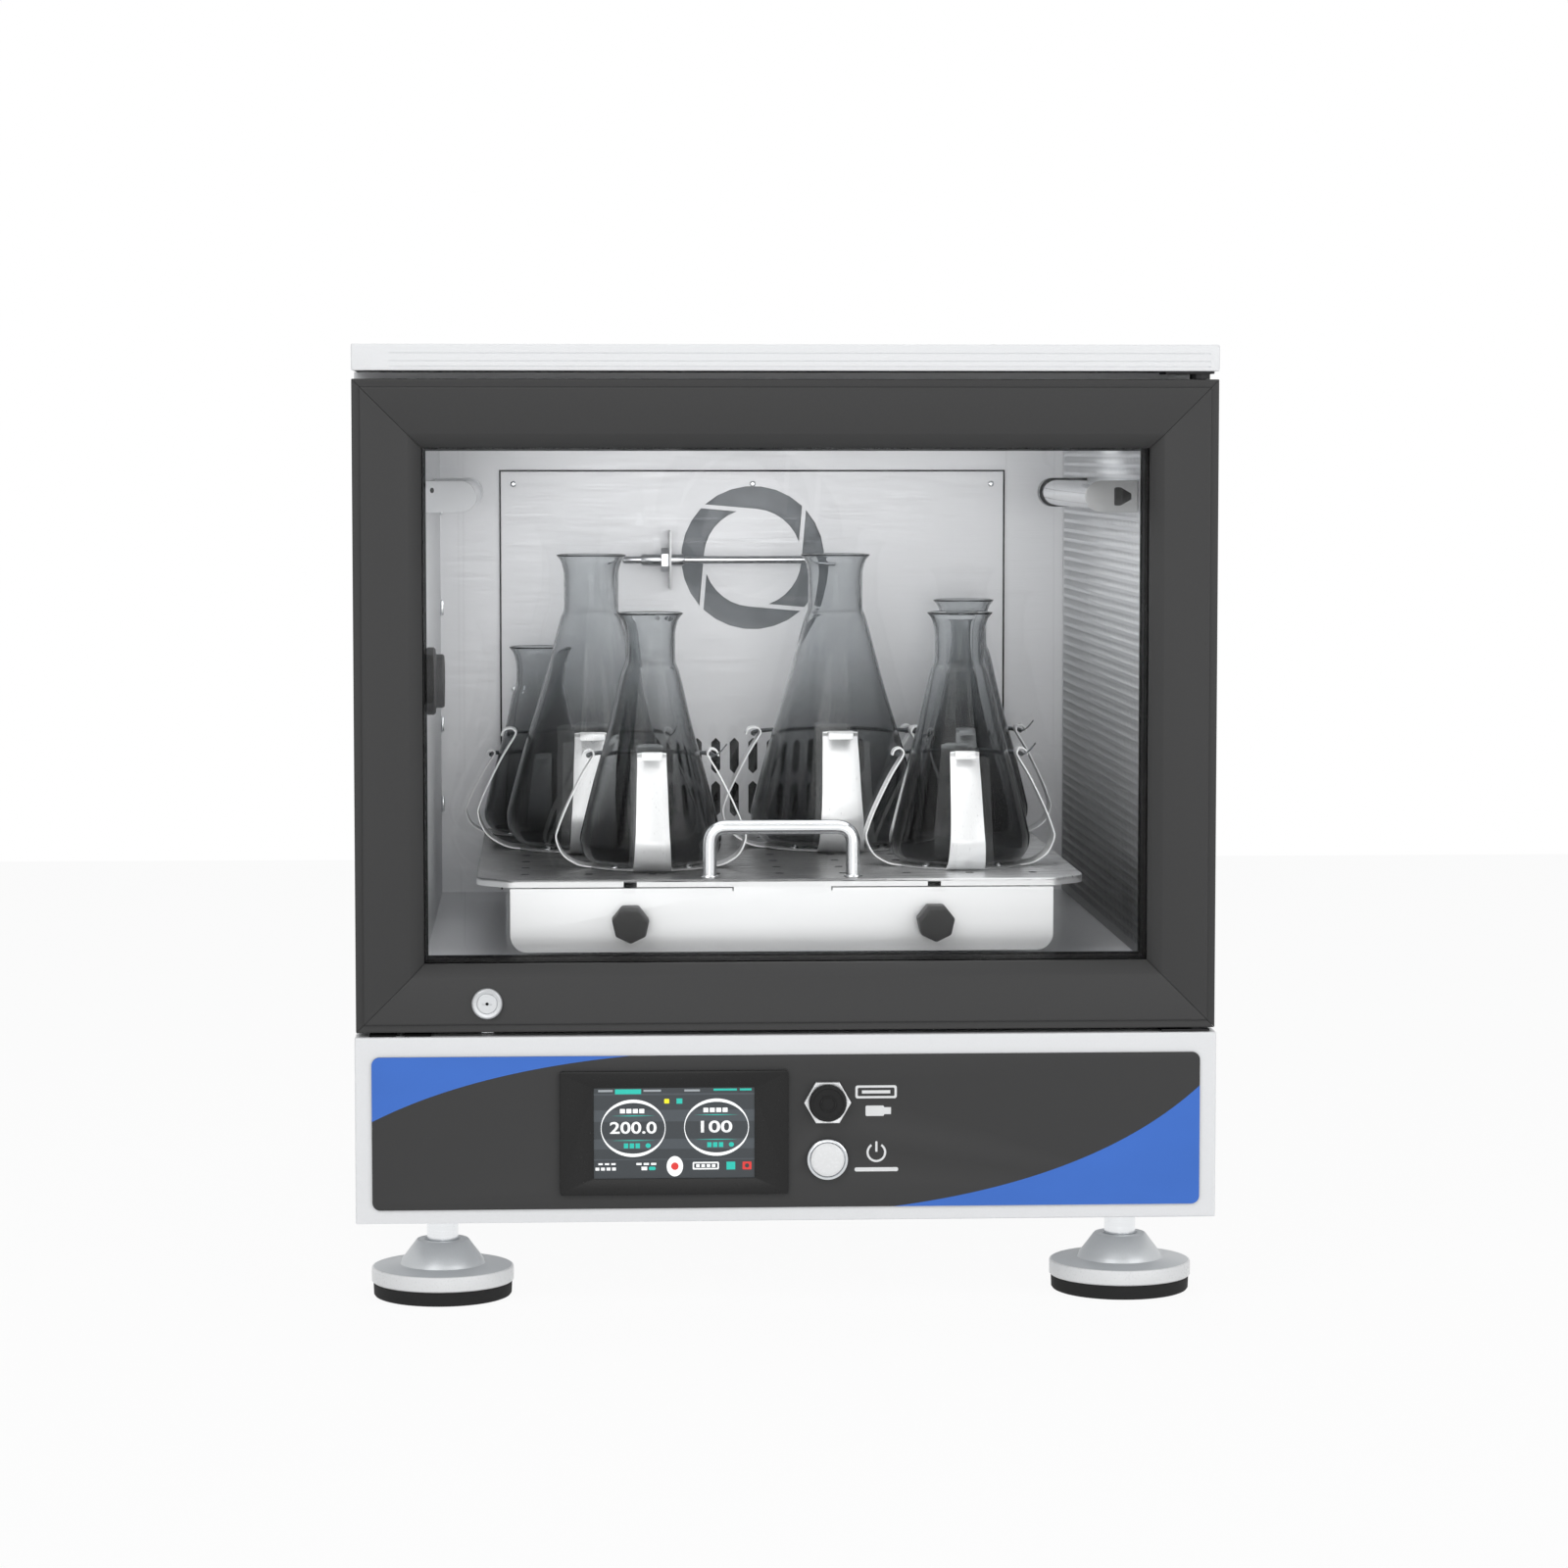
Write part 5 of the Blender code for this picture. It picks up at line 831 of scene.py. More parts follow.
class INCUBATOR_OT_stage(IncubatorOperator, bpy.types.Operator):
    """Pale floor, plain backdrop, soft lights and the camera."""

    bl_idname = "incubator.stage"
    bl_label = "Studio"

    def execute(self, context):
        studio = context.scene.incubator_studio
        self.floor()
        self.sky(studio)
        self.lamp("key_light", (-1.5, -2.6, 2.3), (0, 0, 0.35), 1.9, studio.key)
        self.lamp("fill_light", (1.9, -2.2, 1.3), (0, 0, 0.35), 1.8, studio.fill)
        self.lamp("front_light", (-0.1, -3.6, 0.35), (0, 0, 0.40), 1.4, studio.fill * 0.6)
        self.lamp("top_light", (0, 0.2, 2.6), (0, 0, 0.6), 1.6, studio.fill * 0.5)
        self.lamp("chamber_light", (0.03, -0.13, 0.585), (0.05, -0.05, 0.25), 0.40, studio.chamber)
        self.camera(studio)
        return {"FINISHED"}

    def floor(self):
        """A wide pale floor."""
        mesh = block((-3, -3, -0.02), (3, 3, 0))
        mesh.materials.append(self.pale("studio_floor"))
        placed("studio_floor", mesh)

    def pale(self, name):
        """Matt white that shows near white to the camera and keeps the shadow."""
        material = bpy.data.materials.new(name)
        material.use_nodes = True
        tree = material.node_tree
        matt = tree.nodes["Principled BSDF"]
        matt.inputs["Base Color"].default_value = (0.9, 0.9, 0.9, 1)
        matt.inputs["Roughness"].default_value = 0.9
        white = add(tree, "ShaderNodeEmission", {"Strength": 1.0})
        seen = self.seen_rays(tree)
        how_white = 0.93
        share = add(tree, "ShaderNodeMath", {0: seen, 1: how_white}, operation="MULTIPLY")
        mix = add(tree, "ShaderNodeMixShader", {0: share, 1: matt, 2: white})
        tree.links.new(mix.outputs[0], tree.nodes["Material Output"].inputs["Surface"])
        return material

    def seen_rays(self, tree):
        """One for each ray that meets the eye: straight, by a mirror or through glass."""
        path = add(tree, "ShaderNodeLightPath").outputs
        seen = path["Is Camera Ray"]
        for kind in ("Is Glossy Ray", "Is Transmission Ray"):
            seen = add(tree, "ShaderNodeMath", {0: seen, 1: path[kind]}, operation="MAXIMUM")
        return seen

    def sky(self, studio):
        """Even light from all round, and plain white where the eye sees it."""
        world = bpy.data.worlds.new("studio_sky")
        bpy.context.scene.world = world
        world.use_nodes = True
        tree = world.node_tree
        even = tree.nodes["Background"]
        even.inputs["Color"].default_value = (0.97, 0.98, 1.0, 1)
        even.inputs["Strength"].default_value = studio.sky
        white = add(tree, "ShaderNodeBackground", {"Color": (1, 1, 1, 1), "Strength": 1.0})
        mix = add(tree, "ShaderNodeMixShader", {0: self.seen_rays(tree), 1: even, 2: white})
        tree.links.new(mix.outputs[0], tree.nodes["World Output"].inputs["Surface"])

    def lamp(self, name, at, aim, size, power):
        """A square soft light, turned to its aim."""
        light = bpy.data.lights.new(name, "AREA")
        light.shape = "RECTANGLE"
        light.size = size
        light.size_y = size
        light.energy = power
        obj = placed(name, light)
        obj.location = at
        obj.rotation_euler = (Vector(aim) - Vector(at)).to_track_quat("-Z", "Y").to_euler()

    def camera(self, studio):
        """The photograph's view."""
        lens = bpy.data.cameras.new("camera")
        lens.lens = studio.lens
        lens.sensor_width = 36
        obj = placed("camera", lens)
        obj.location = CAMERA_AT
        yaw, pitch = radians(CAMERA_YAW), radians(CAMERA_PITCH)
        ahead = Vector((sin(yaw) * cos(pitch), cos(yaw) * cos(pitch), -sin(pitch)))
        obj.rotation_euler = ahead.to_track_quat("-Z", "Y").to_euler()
        bpy.context.scene.camera = obj
        bpy.context.scene.view_settings.view_transform = "Standard"


class INCUBATOR_OT_finishes(IncubatorOperator, bpy.types.Operator):
    """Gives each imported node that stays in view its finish."""

    bl_idname = "incubator.finishes"
    bl_label = "Finishes"

    plan = {
        "satin_stainless": ("chamber_liner", "back_air_panel"), "powder_coat_white": ("cabinet_shell",),
        "perforated_stainless": ("side_air_panel",), "floor_stainless": ("base_floor",),
        "polished_rod": ("latch_bolt",), "blackened_steel": ("hinge_lower", "hinge_upper"),
        "cast_aluminium": (
            "drive_frame", "main_crank", "idler_crank_left", "idler_crank_right", "carriage_plate",
            "fan_impeller", "fan_motor",
        ),
        "machined_aluminium": ("motor_pulley",), "moulded_grey": ("drive_motor",),
        "moulded_rubber": ("drive_belt",), "black_seal": ("door_gasket",), "foam_board": ("insulation_foam",),
    }

    def execute(self, context):
        for finish, nodes in self.plan.items():
            for node in nodes:
                obj = frame["nodes"][node]
                obj.data.materials.clear()
                obj.data.materials.append(look(finish))
        return {"FINISHED"}


class INCUBATOR_OT_cabinet(IncubatorOperator, bpy.types.Operator):
    """Top cover, base housing and rear cover, with folded edges."""

    bl_idname = "incubator.cabinet"
    bl_label = "Cabinet"

    def execute(self, context):
        edge = context.scene.incubator_trim.sheet_edge
        radius = context.scene.incubator_trim.screw_radius
        self.base(edge, radius)
        rear = dimpled(from_node("rear_cover", edge), cover_screws()["rear_cover"], radius)
        piece(
            "rear_cover_shell", rear, "powder_coat_white", "cabinet", "rear_cover", smooth=None
        )
        piece("top_cover_shell", self.cover(edge), "powder_coat_white", "cabinet", "top_cover")
        self.stops()
        return {"FINISHED"}

    def base(self, edge, radius):
        """The folded base, open at the back where the mains inlet sits."""
        _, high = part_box("base_housing")
        (x, z), half_x, half_z = INLET, 0.0162, 0.0302
        opening = block((x - half_x, high.y - 0.02, z - half_z), (x + half_x, high.y + 0.01, z + half_z))
        bm = bmesh.new()
        bm.from_mesh(carved(from_node("base_housing"), opening))
        bmesh.ops.triangulate(bm, faces=[face for face in bm.faces if len(face.verts) > 4])
        mesh = softened(from_bmesh(bm, recalc=False), edge)
        mesh = dimpled(mesh, cover_screws()["base_housing"], radius)
        piece(
            "base_housing_shell", mesh, "powder_coat_white", "cabinet", "base_housing",
            smooth=None,
        )

    def cover(self, edge):
        """The flat cover, with shallow grooves along its front and hollows for a stacked machine's feet."""
        low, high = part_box("top_cover")
        body = block(low, high, edge, 3)
        pocket = block(
            (low.x + 0.002, low.y + 0.002, low.z - 0.01), (high.x - 0.002, high.y - 0.002, high.z - 0.006)
        )
        cutters = [pocket]
        left, right = low.x + 0.0255, high.x - 0.0065
        half, deep = 0.0004, 0.0008
        for z in (0.0062, 0.0115, 0.0152):
            cutters.append(
                block((left, low.y - 0.01, high.z - z - half), (right, low.y + deep, high.z - z + half))
            )
        for name in ("front_left", "front_right", "rear_left", "rear_right"):
            near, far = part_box("foot_pad_" + name)
            centre, radius = (near + far) / 2, (far.x - near.x) / 2 + 0.0032
            cutters.append(
                lathe(
                    [(0, 0.01), (radius + 0.001, 0.01), (radius, -0.0025), (0, -0.003)],
                    matrix=Matrix.Translation((centre.x, centre.y, high.z)),
                )
            )
        return carved(body, *cutters)

    def stops(self):
        """Two dark stop plates on the deck under the free side of the door."""
        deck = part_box("base_housing")[1].z
        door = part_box("door_frame")[0]
        meshes = [
            block((x, door.y + 0.004, deck), (x + 0.018, door.y + 0.036, deck + 0.0017), 0.0004)
            for x in (-0.2860, -0.2620)
        ]
        piece("door_stop_plates", merged(*meshes), "black_seal", "cabinet")


class INCUBATOR_OT_door(IncubatorOperator, bpy.types.Operator):
    """Mitred door frame, glass, dark reveal and lock."""

    bl_idname = "incubator.door"
    bl_label = "Door"

    def execute(self, context):
        trim = context.scene.incubator_trim
        low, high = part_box("door_frame")
        glass_low, glass_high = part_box("door_glass")
        self.bars(trim, low, high, glass_low)
        piece("door_pane", block(glass_low, glass_high, 0.0006), "pane_glass", "door", "door_glass")
        self.reveal(low, high, glass_high)
        self.lock()
        return {"FINISHED"}

    def section(self, low, high, glass):
        """The bar's section as (inset, y) points, from its outer back edge round the front."""
        front, back = low.y, high.y
        width = glass.x - low.x + 0.0042
        return [
            (0.0, back), (0.0, front + 0.0032), (0.0003, front + 0.0024), (0.0010, front + 0.0020),
            (0.0046, front + 0.0020), (0.0051, front + 0.0017), (0.0057, front + 0.0004), (0.0064, front),
            (width - 0.0098, front), (width - 0.0088, front + 0.0003), (width - 0.0008, front + 0.0060),
            (width, front + 0.0070), (width, glass.y - 0.0002), (width - 0.0042, glass.y - 0.0002),
            (width - 0.0042, back),
        ]

    def bars(self, trim, low, high, glass):
        """Four bars of that section, mitred, with a hair's gap at each corner."""
        section = self.section(low, high, glass)
        gap = trim.mitre_gap / 2
        half = high.x
        middle_z, half_z = (low.z + high.z) / 2, (high.z - low.z) / 2
        bm = bmesh.new()
        for turn in range(4):
            upright = turn % 2
            reach, rise = (half_z, half) if upright else (half, half_z)
            ends = []
            for side in (-1, 1):
                ring = [
                    bm.verts.new((side * (reach - inset - gap), y, -(rise - inset))) for inset, y in section
                ]
                ends.append(ring)
            count = len(section)
            for k in range(count):
                j = (k + 1) % count
                bm.faces.new((ends[0][k], ends[1][k], ends[1][j], ends[0][j]))
            bm.faces.new(ends[0])
            bm.faces.new(ends[1][::-1])
            matrix = Matrix.Translation((0, 0, middle_z)) @ Matrix.Rotation(turn * pi / 2, 4, "Y")
            bmesh.ops.transform(bm, matrix=matrix, verts=ends[0] + ends[1])
        mesh = softened(from_bmesh(bm), 0.00025)
        piece("door_frame_bars", mesh, "powder_coat_charcoal", "door", "door_frame")

    def reveal(self, low, high, glass):
        """The black lining of the window behind the glass."""
        half, bottom, top = high.x - FRAME_WIDTH, low.z + FRAME_WIDTH, high.z - FRAME_WIDTH
        grown_by, slim = 0.0035, 0.0004
        outer = rectangle(-half - grown_by, bottom - grown_by, half + grown_by, top + grown_by)
        hole = rectangle(-half + slim, bottom + slim, half - slim, top - slim)
        depth = high.y - glass.y - 0.0004
        mesh = plate([outer, hole], depth, facing(0, high.y, 0))
        piece("window_lining", mesh, "black_seal", "door")

    def lock(self):
        """The lock's face, with its keyway and the pin in it, 3.5 mm in front of the door."""
        low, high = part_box("lock_cylinder")
        (x, z, radius), reach = front_circle("lock_cylinder"), 0.0035
        body = lathe(
            [
                (0, reach - 0.0003), (radius * 0.60, reach - 0.0003), (radius * 0.64, reach - 0.0006),
                (radius * 0.68, reach - 0.0002), (radius * 0.86, reach), (radius * 0.95, reach - 0.0006),
                (radius, reach - 0.0016), (radius, 0.0003), (radius * 0.83, 0.0003),
                (radius * 0.83, -(high.y - low.y - reach)), (0, -(high.y - low.y - reach)),
            ],
            matrix=facing(x, low.y + reach, z),
        )
        key = block((x - 0.0034, low.y - 0.001, z - 0.0006), (x + 0.0034, low.y + 0.0016, z + 0.0006))
        pin = lathe([(0, 0.004), (0.0011, 0.004), (0.0011, 0), (0, 0)], 20, facing(x, low.y + 0.0024, z))
        body = carved(body, key, pin)
        shade_disc = lathe(
            [(0, 0.0004), (0.0042, 0.0004), (0.0042, 0), (0, 0)], 32, facing(x, low.y + 0.0021, z)
        )
        piece("lock_keyway_shade", shade_disc, "black_seal", "lock")
        piece("lock_face", body, "satin_lock_steel", "lock", "lock_cylinder")


class INCUBATOR_OT_controls(IncubatorOperator, bpy.types.Operator):
    """Control film, data socket and power button."""

    bl_idname = "incubator.controls"
    bl_label = "Controls"

    def execute(self, context):
        self.film()
        self.socket()
        self.button()
        self.marks()
        return {"FINISHED"}

    def film(self):
        """The printed film, with holes for the screen, the socket and the button."""
        low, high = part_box("control_panel")
        screen_low, screen_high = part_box("touch_screen")
        corner, behind, bore = 0.0055, 0.006, 0.0116
        window = (
            screen_low.x + behind, screen_low.z + behind, screen_high.x - behind, screen_high.z - behind
        )
        loops = [rounded(low.x, low.z, high.x, high.z, corner), rectangle(*window)]
        for node in ("port_nut", "button_ring"):
            x, z, _ = front_circle(node)
            loops.append(ellipse(x, z, bore, bore))
        mesh = plate(loops, high.y - low.y, facing(0, high.y, 0), 0.0002)
        piece("control_film", mesh, "printed_polycarbonate", "cabinet", "control_panel")
        self.fields(low, high, corner)

    def fields(self, low, high, corner):
        """Two curved colour fields in opposite corners of the film."""
        ink, height = 0.00006, high.z - low.z
        upper = arc(low.x + corner, high.z - corner, corner, pi, pi / 2, 8)
        upper += self.swoop(
            (low.x + 0.1765, high.z), (low.x + 0.068, high.z - 0.010), (low.x, high.z - height * 0.42)
        )
        lower = self.swoop(
            (high.x - 0.2115, low.z), (high.x - 0.070, low.z + 0.018), (high.x, high.z - height * 0.22)
        )
        lower += arc(high.x - corner, low.z + corner, corner, 0, -pi / 2, 8)
        for name, loop in (("film_field_upper", upper), ("film_field_lower", lower)):
            mesh = plate([loop], ink, facing(0, low.y, 0))
            piece(name, mesh, "printed_accent", "cabinet")

    def swoop(self, start, middle, end):
        """A plain curve from the start to the end, drawn towards the middle point."""
        a, b, c = Vector(start), Vector(middle), Vector(end)
        steps = 32
        turns = (i / steps for i in range(steps + 1))
        return [tuple(a * (1 - t) ** 2 + b * 2 * t * (1 - t) + c * t * t) for t in turns]

    def socket(self):
        """The hexagon nut of the data socket, and the dust cap in it."""
        x, z, radius = front_circle("port_nut")
        back = film_face()
        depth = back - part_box("port_nut")[0].y
        bore = 0.0127
        hexagon = arc(0, 0, radius, 0, tau, 6)[:-1]
        nut = plate([hexagon, ellipse(0, 0, bore, bore, 64)], depth, facing(x, back, z), 0.0004)
        chamfer = lathe(
            [(radius * 0.905, depth + 0.001), (radius * 1.2, depth + 0.001), (radius * 1.2, depth - 0.0035)],
            matrix=facing(x, back, z),
        )
        piece("port_nut_hex", carved(nut, chamfer), "nickel_plate", "cabinet", "port_nut")
        cap_low, cap_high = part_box("port_cap")
        top = back - cap_low.y
        base = depth + 0.0003
        outer = (cap_high.x - cap_low.x) / 2
        cap = lathe(
            [
                (0, top - 0.0010), (outer * 0.36, top - 0.0010), (outer * 0.38, top - 0.0004),
                (outer * 0.42, top - 0.0004), (outer * 0.44, top - 0.0012), (outer * 0.80, top - 0.0012),
                (outer * 0.86, top - 0.0004), (outer * 0.93, top - 0.0006), (outer * 0.985, top - 0.0018),
                (outer, top - 0.0034), (outer, base), (outer * 0.6, base), (outer * 0.6, base - 0.008),
                (0, base - 0.008),
            ],
            matrix=facing(x, back, z),
        )
        piece("dust_cap", cap, "moulded_rubber", "data_port_cap", "port_cap")

    def button(self):
        """The power button: a chromed ring and a slightly domed key."""
        low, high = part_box("button_ring")
        x, z, radius = front_circle("button_ring")
        back = film_face()
        reach = back - low.y
        bore = 0.0119
        ring = lathe(
            [
                (bore, reach - 0.0006), (bore + 0.0005, reach), (radius - 0.0013, reach),
                (radius - 0.0004, reach - 0.0004), (radius, reach - 0.0013), (radius, 0), (0.0110, 0),
                (0.0110, -(high.y - back)), (0.0093, -(high.y - back)), (0.0093, 0.0005), (bore, 0.0005),
            ],
            matrix=facing(x, back, z),
        )
        piece("button_bezel", ring, "chrome_ring", "cabinet", "button_ring")
        low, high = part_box("power_button")
        face = back - low.y
        key = lathe(
            [
                (0, face), (bore * 0.35, face - 0.00004), (bore * 0.70, face - 0.00022),
                (bore - 0.0012, face - 0.0006), (bore - 0.0005, face - 0.0011),
                (bore - 0.0003, face - 0.0018), (bore - 0.0003, 0.0024), (0.0089, 0.0024),
                (0.0089, -(high.y - back)), (0, -(high.y - back)),
            ],
            matrix=facing(x, back, z),
        )
        piece("button_key", key, "gloss_white", "power_key", "power_button")

    def marks(self):
        """Plain pictograms in white ink: a plug beside the socket, a power sign beside the button."""
        low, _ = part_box("control_panel")
        _, socket_z, _ = front_circle("port_nut")
        _, button_z, _ = front_circle("button_ring")
        x = 0.0615
        loops = [
            [
                rounded(x - 0.0150, socket_z + 0.0022, x + 0.0135, socket_z + 0.0112, 0.0016),
                rounded(x - 0.0134, socket_z + 0.0038, x + 0.0119, socket_z + 0.0096, 0.0009),
            ],
            [rectangle(x - 0.0105, socket_z + 0.0056, x + 0.0090, socket_z + 0.0078)],
            [rounded(x - 0.0080, socket_z - 0.0100, x + 0.0048, socket_z - 0.0028, 0.0010)],
            [rectangle(x + 0.0048, socket_z - 0.0088, x + 0.0095, socket_z - 0.0040)],
            self.power_sign(x - 0.0005, button_z + 0.0042, 0.0068),
            [rounded(x - 0.0155, button_z - 0.0090, x + 0.0145, button_z - 0.0062, 0.0012)],
        ]
        upright = arc(0, 0, 0.00075, 0, pi, 6)
        upright = [(px + x - 0.0005, pz + button_z + 0.0112) for px, pz in upright]
        upright += [(x - 0.00125, button_z + 0.0046), (x + 0.00025, button_z + 0.0046)]
        loops.append([upright])
        meshes = [plate(loop, 0.00005, facing(0, low.y, 0)) for loop in loops]
        piece("film_marks", merged(*meshes), "white_ink", "cabinet", smooth=None)

    def power_sign(self, x, z, radius):
        """An open ring, with its gap at the top."""
        gap = radians(34)
        outer = arc(x, z, radius, pi / 2 + gap, 5 * pi / 2 - gap, 40)
        inner = arc(x, z, radius - 0.0015, 5 * pi / 2 - gap, pi / 2 + gap, 40)
        return [outer + inner]


class INCUBATOR_OT_display(IncubatorOperator, bpy.types.Operator):
    """Touch screen: frame, lit ground and plain readouts."""

    bl_idname = "incubator.display"
    bl_label = "Display"

    def execute(self, context):
        low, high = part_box("touch_screen")
        self.x, self.z, _ = front_circle("touch_screen")
        back = film_face()
        half_w, half_h = 0.0551, 0.0313
        frame_loops = [
            rounded(low.x, low.z, high.x, high.z, 0.0016),
            rounded(self.x - half_w, self.z - half_h, self.x + half_w, self.z + half_h, 0.0006),
        ]
        bezel = plate(frame_loops, back - low.y, facing(0, back, 0), 0.0003)
        tray_mesh = block(
            (self.x - half_w - 0.004, low.y + 0.0012, self.z - half_h - 0.004),
            (self.x + half_w + 0.004, high.y, self.z + half_h + 0.004), 0.0008,
        )
        piece(
            "screen_frame", merged(bezel, tray_mesh), "gloss_black", "cabinet",
            "touch_screen",
        )
        self.level = low.y + 0.0012
        self.show(half_w, half_h)
        return {"FINISHED"}

    def lay(self, name, groups, finish, height):
        """Flat shapes on the screen, in millimetres from its middle, as one thin piece."""
        at = facing(self.x, self.level, self.z)
        groups = [[[(x / 1000, z / 1000) for x, z in loop] for loop in loops] for loops in groups]
        meshes = [plate(loops, height, at) for loops in groups]
        piece(name, merged(*meshes), finish, "cabinet", smooth=None)

    def row(self, x0, z0, x1, z1, pitch, count):
        """A row of small bars, each a pitch to the right of the one before."""
        return [[rectangle(x0 + pitch * k, z0, x1 + pitch * k, z1)] for k in range(count)]

    def show(self, half_w, half_h):
        w, h = half_w * 1000, half_h * 1000
        self.lay("screen_ground", [[rectangle(-w, -h, w, h)]], "screen_ground", 0.0001)
        bands = [[rectangle(-w, 8, w, 16)], [rectangle(-w, -11, w, -4)], [rectangle(-w, -18.6, w, -17.8)]]
        bands += [[rectangle(-w, 26.2, w, 27.4)]]
        self.lay("screen_bands", bands, "screen_band", 0.00016)
        dials = ((-28.1, 3.4), (29.0, 3.8))
        rings = [[ellipse(x, z, 22.2, 19.8, 72), ellipse(x, z, 21.7, 17.6, 72)] for x, z in dials]
        self.lay("screen_rings", rings, "screen_white", 0.00024)
        whites = []
        for x, z in dials:
            whites += self.row(x - 9, z + 10.4, x - 5.6, z + 13.4, 4.4, 4)
        whites += self.row(-54, -25.6, -51.4, -23.6, 3.8, 4)
        whites += self.row(-52, -21.8, -49, -20.6, 4.4, 3)
        whites += self.row(-26, -22.0, -22.4, -20.6, 5, 3)
        whites += [[rectangle(-22.5, -25.6, -18.6, -23.2)]]
        whites += [[rounded(12.6, -25.4, 30.6, -20.2, 0.8), rounded(13.6, -24.4, 29.6, -21.2, 0.5)]]
        whites += self.row(15, -23.8, 17.4, -21.8, 3.6, 4)
        self.lay("screen_labels", whites, "screen_white", 0.00024)
        greys = [
            [rectangle(-52, 28.6, -42, 30.0)], [rectangle(-21, 28.6, -9, 30.0)],
            [rectangle(7, 28.6, 17.6, 30.0)],
        ]
        self.lay("screen_tabs", greys, "screen_grey", 0.00022)
        teals = []
        for x, z in dials:
            for dz in (8.6, -8.4):
                teals.append([[(x - 15, z + dz), (x, z + dz - 0.3), (x + 15, z + dz), (x, z + dz + 0.3)]])
            teals += self.row(x - 6.4, z - 13.8, x - 3.4, z - 10.4, 4, 3)
            teals += [[ellipse(x + 10.2, z - 12.0, 1.8, 1.6, 20)]]
        teals += [
            [rectangle(-40.5, 27.0, -22.6, 30.4)], [rectangle(27, 29.0, 43, 30.4)],
            [rectangle(45, 29.0, 53, 30.4)],
        ]
        teals += [[rectangle(1.6, 20.2, 5.6, 23.8)], [rectangle(35.8, -25.6, 41.8, -20.2)]]
        teals += [[rounded(-17.4, -25.6, -12.8, -23.2, 0.9)]]
        self.lay("screen_signals", teals, "screen_teal", 0.00024)
        self.lay("screen_yellow_mark", [[rounded(-6.8, 20.4, -3.4, 23.6, 0.6)]], "screen_yellow", 0.00024)
        reds = [[rounded(46.8, -25.6, 53.0, -20.2, 0.5), ellipse(49.9, -22.9, 1.5, 1.5, 20)]]
        self.lay("screen_red_mark", reds, "screen_red", 0.00024)
        self.lay("screen_knob", [[ellipse(0.4, -23.0, 5.6, 7.0, 48)]], "screen_white", 0.0003)
        self.lay("screen_knob_dot", [[ellipse(0.4, -23.0, 2.6, 2.6, 32)]], "screen_red", 0.00036)
        self.number("200.0", dials[0], 32.0)
        self.number("100", dials[1], 21.6)

    def number(self, digits, centre, width):
        """Plain digits, scaled to a width in millimetres."""
        curve = bpy.data.curves.new("digits", "FONT")
        curve.body = digits
        curve.offset = 0.018
        curve.align_x = "CENTER"
        curve.align_y = "CENTER"
        mesh = plain(placed("digits", curve))
        xs = [v.co.x for v in mesh.vertices]
        ys = [v.co.y for v in mesh.vertices]
        wide, tall = max(xs) - min(xs), max(ys) - min(ys)
        digit_height = 0.0083
        middle = Vector(((max(xs) + min(xs)) / 2, (max(ys) + min(ys)) / 2, 0))
        mesh.transform(Matrix.Translation(-middle))
        mesh.transform(Matrix.Diagonal((width / 1000 / wide, digit_height / tall, 1, 1)))
        x, z = self.x + centre[0] / 1000, self.z + (centre[1] + 0.4) / 1000
        mesh.transform(facing(x, self.level - 0.0003, z))
        obj = placed("digits", mesh)
        thick = obj.modifiers.new("thick", "SOLIDIFY")
        thick.thickness = 0.00008
        name = "screen_digits_" + digits.replace(".", "_")
        piece(name, plain(obj), "screen_white", "cabinet", smooth=None)


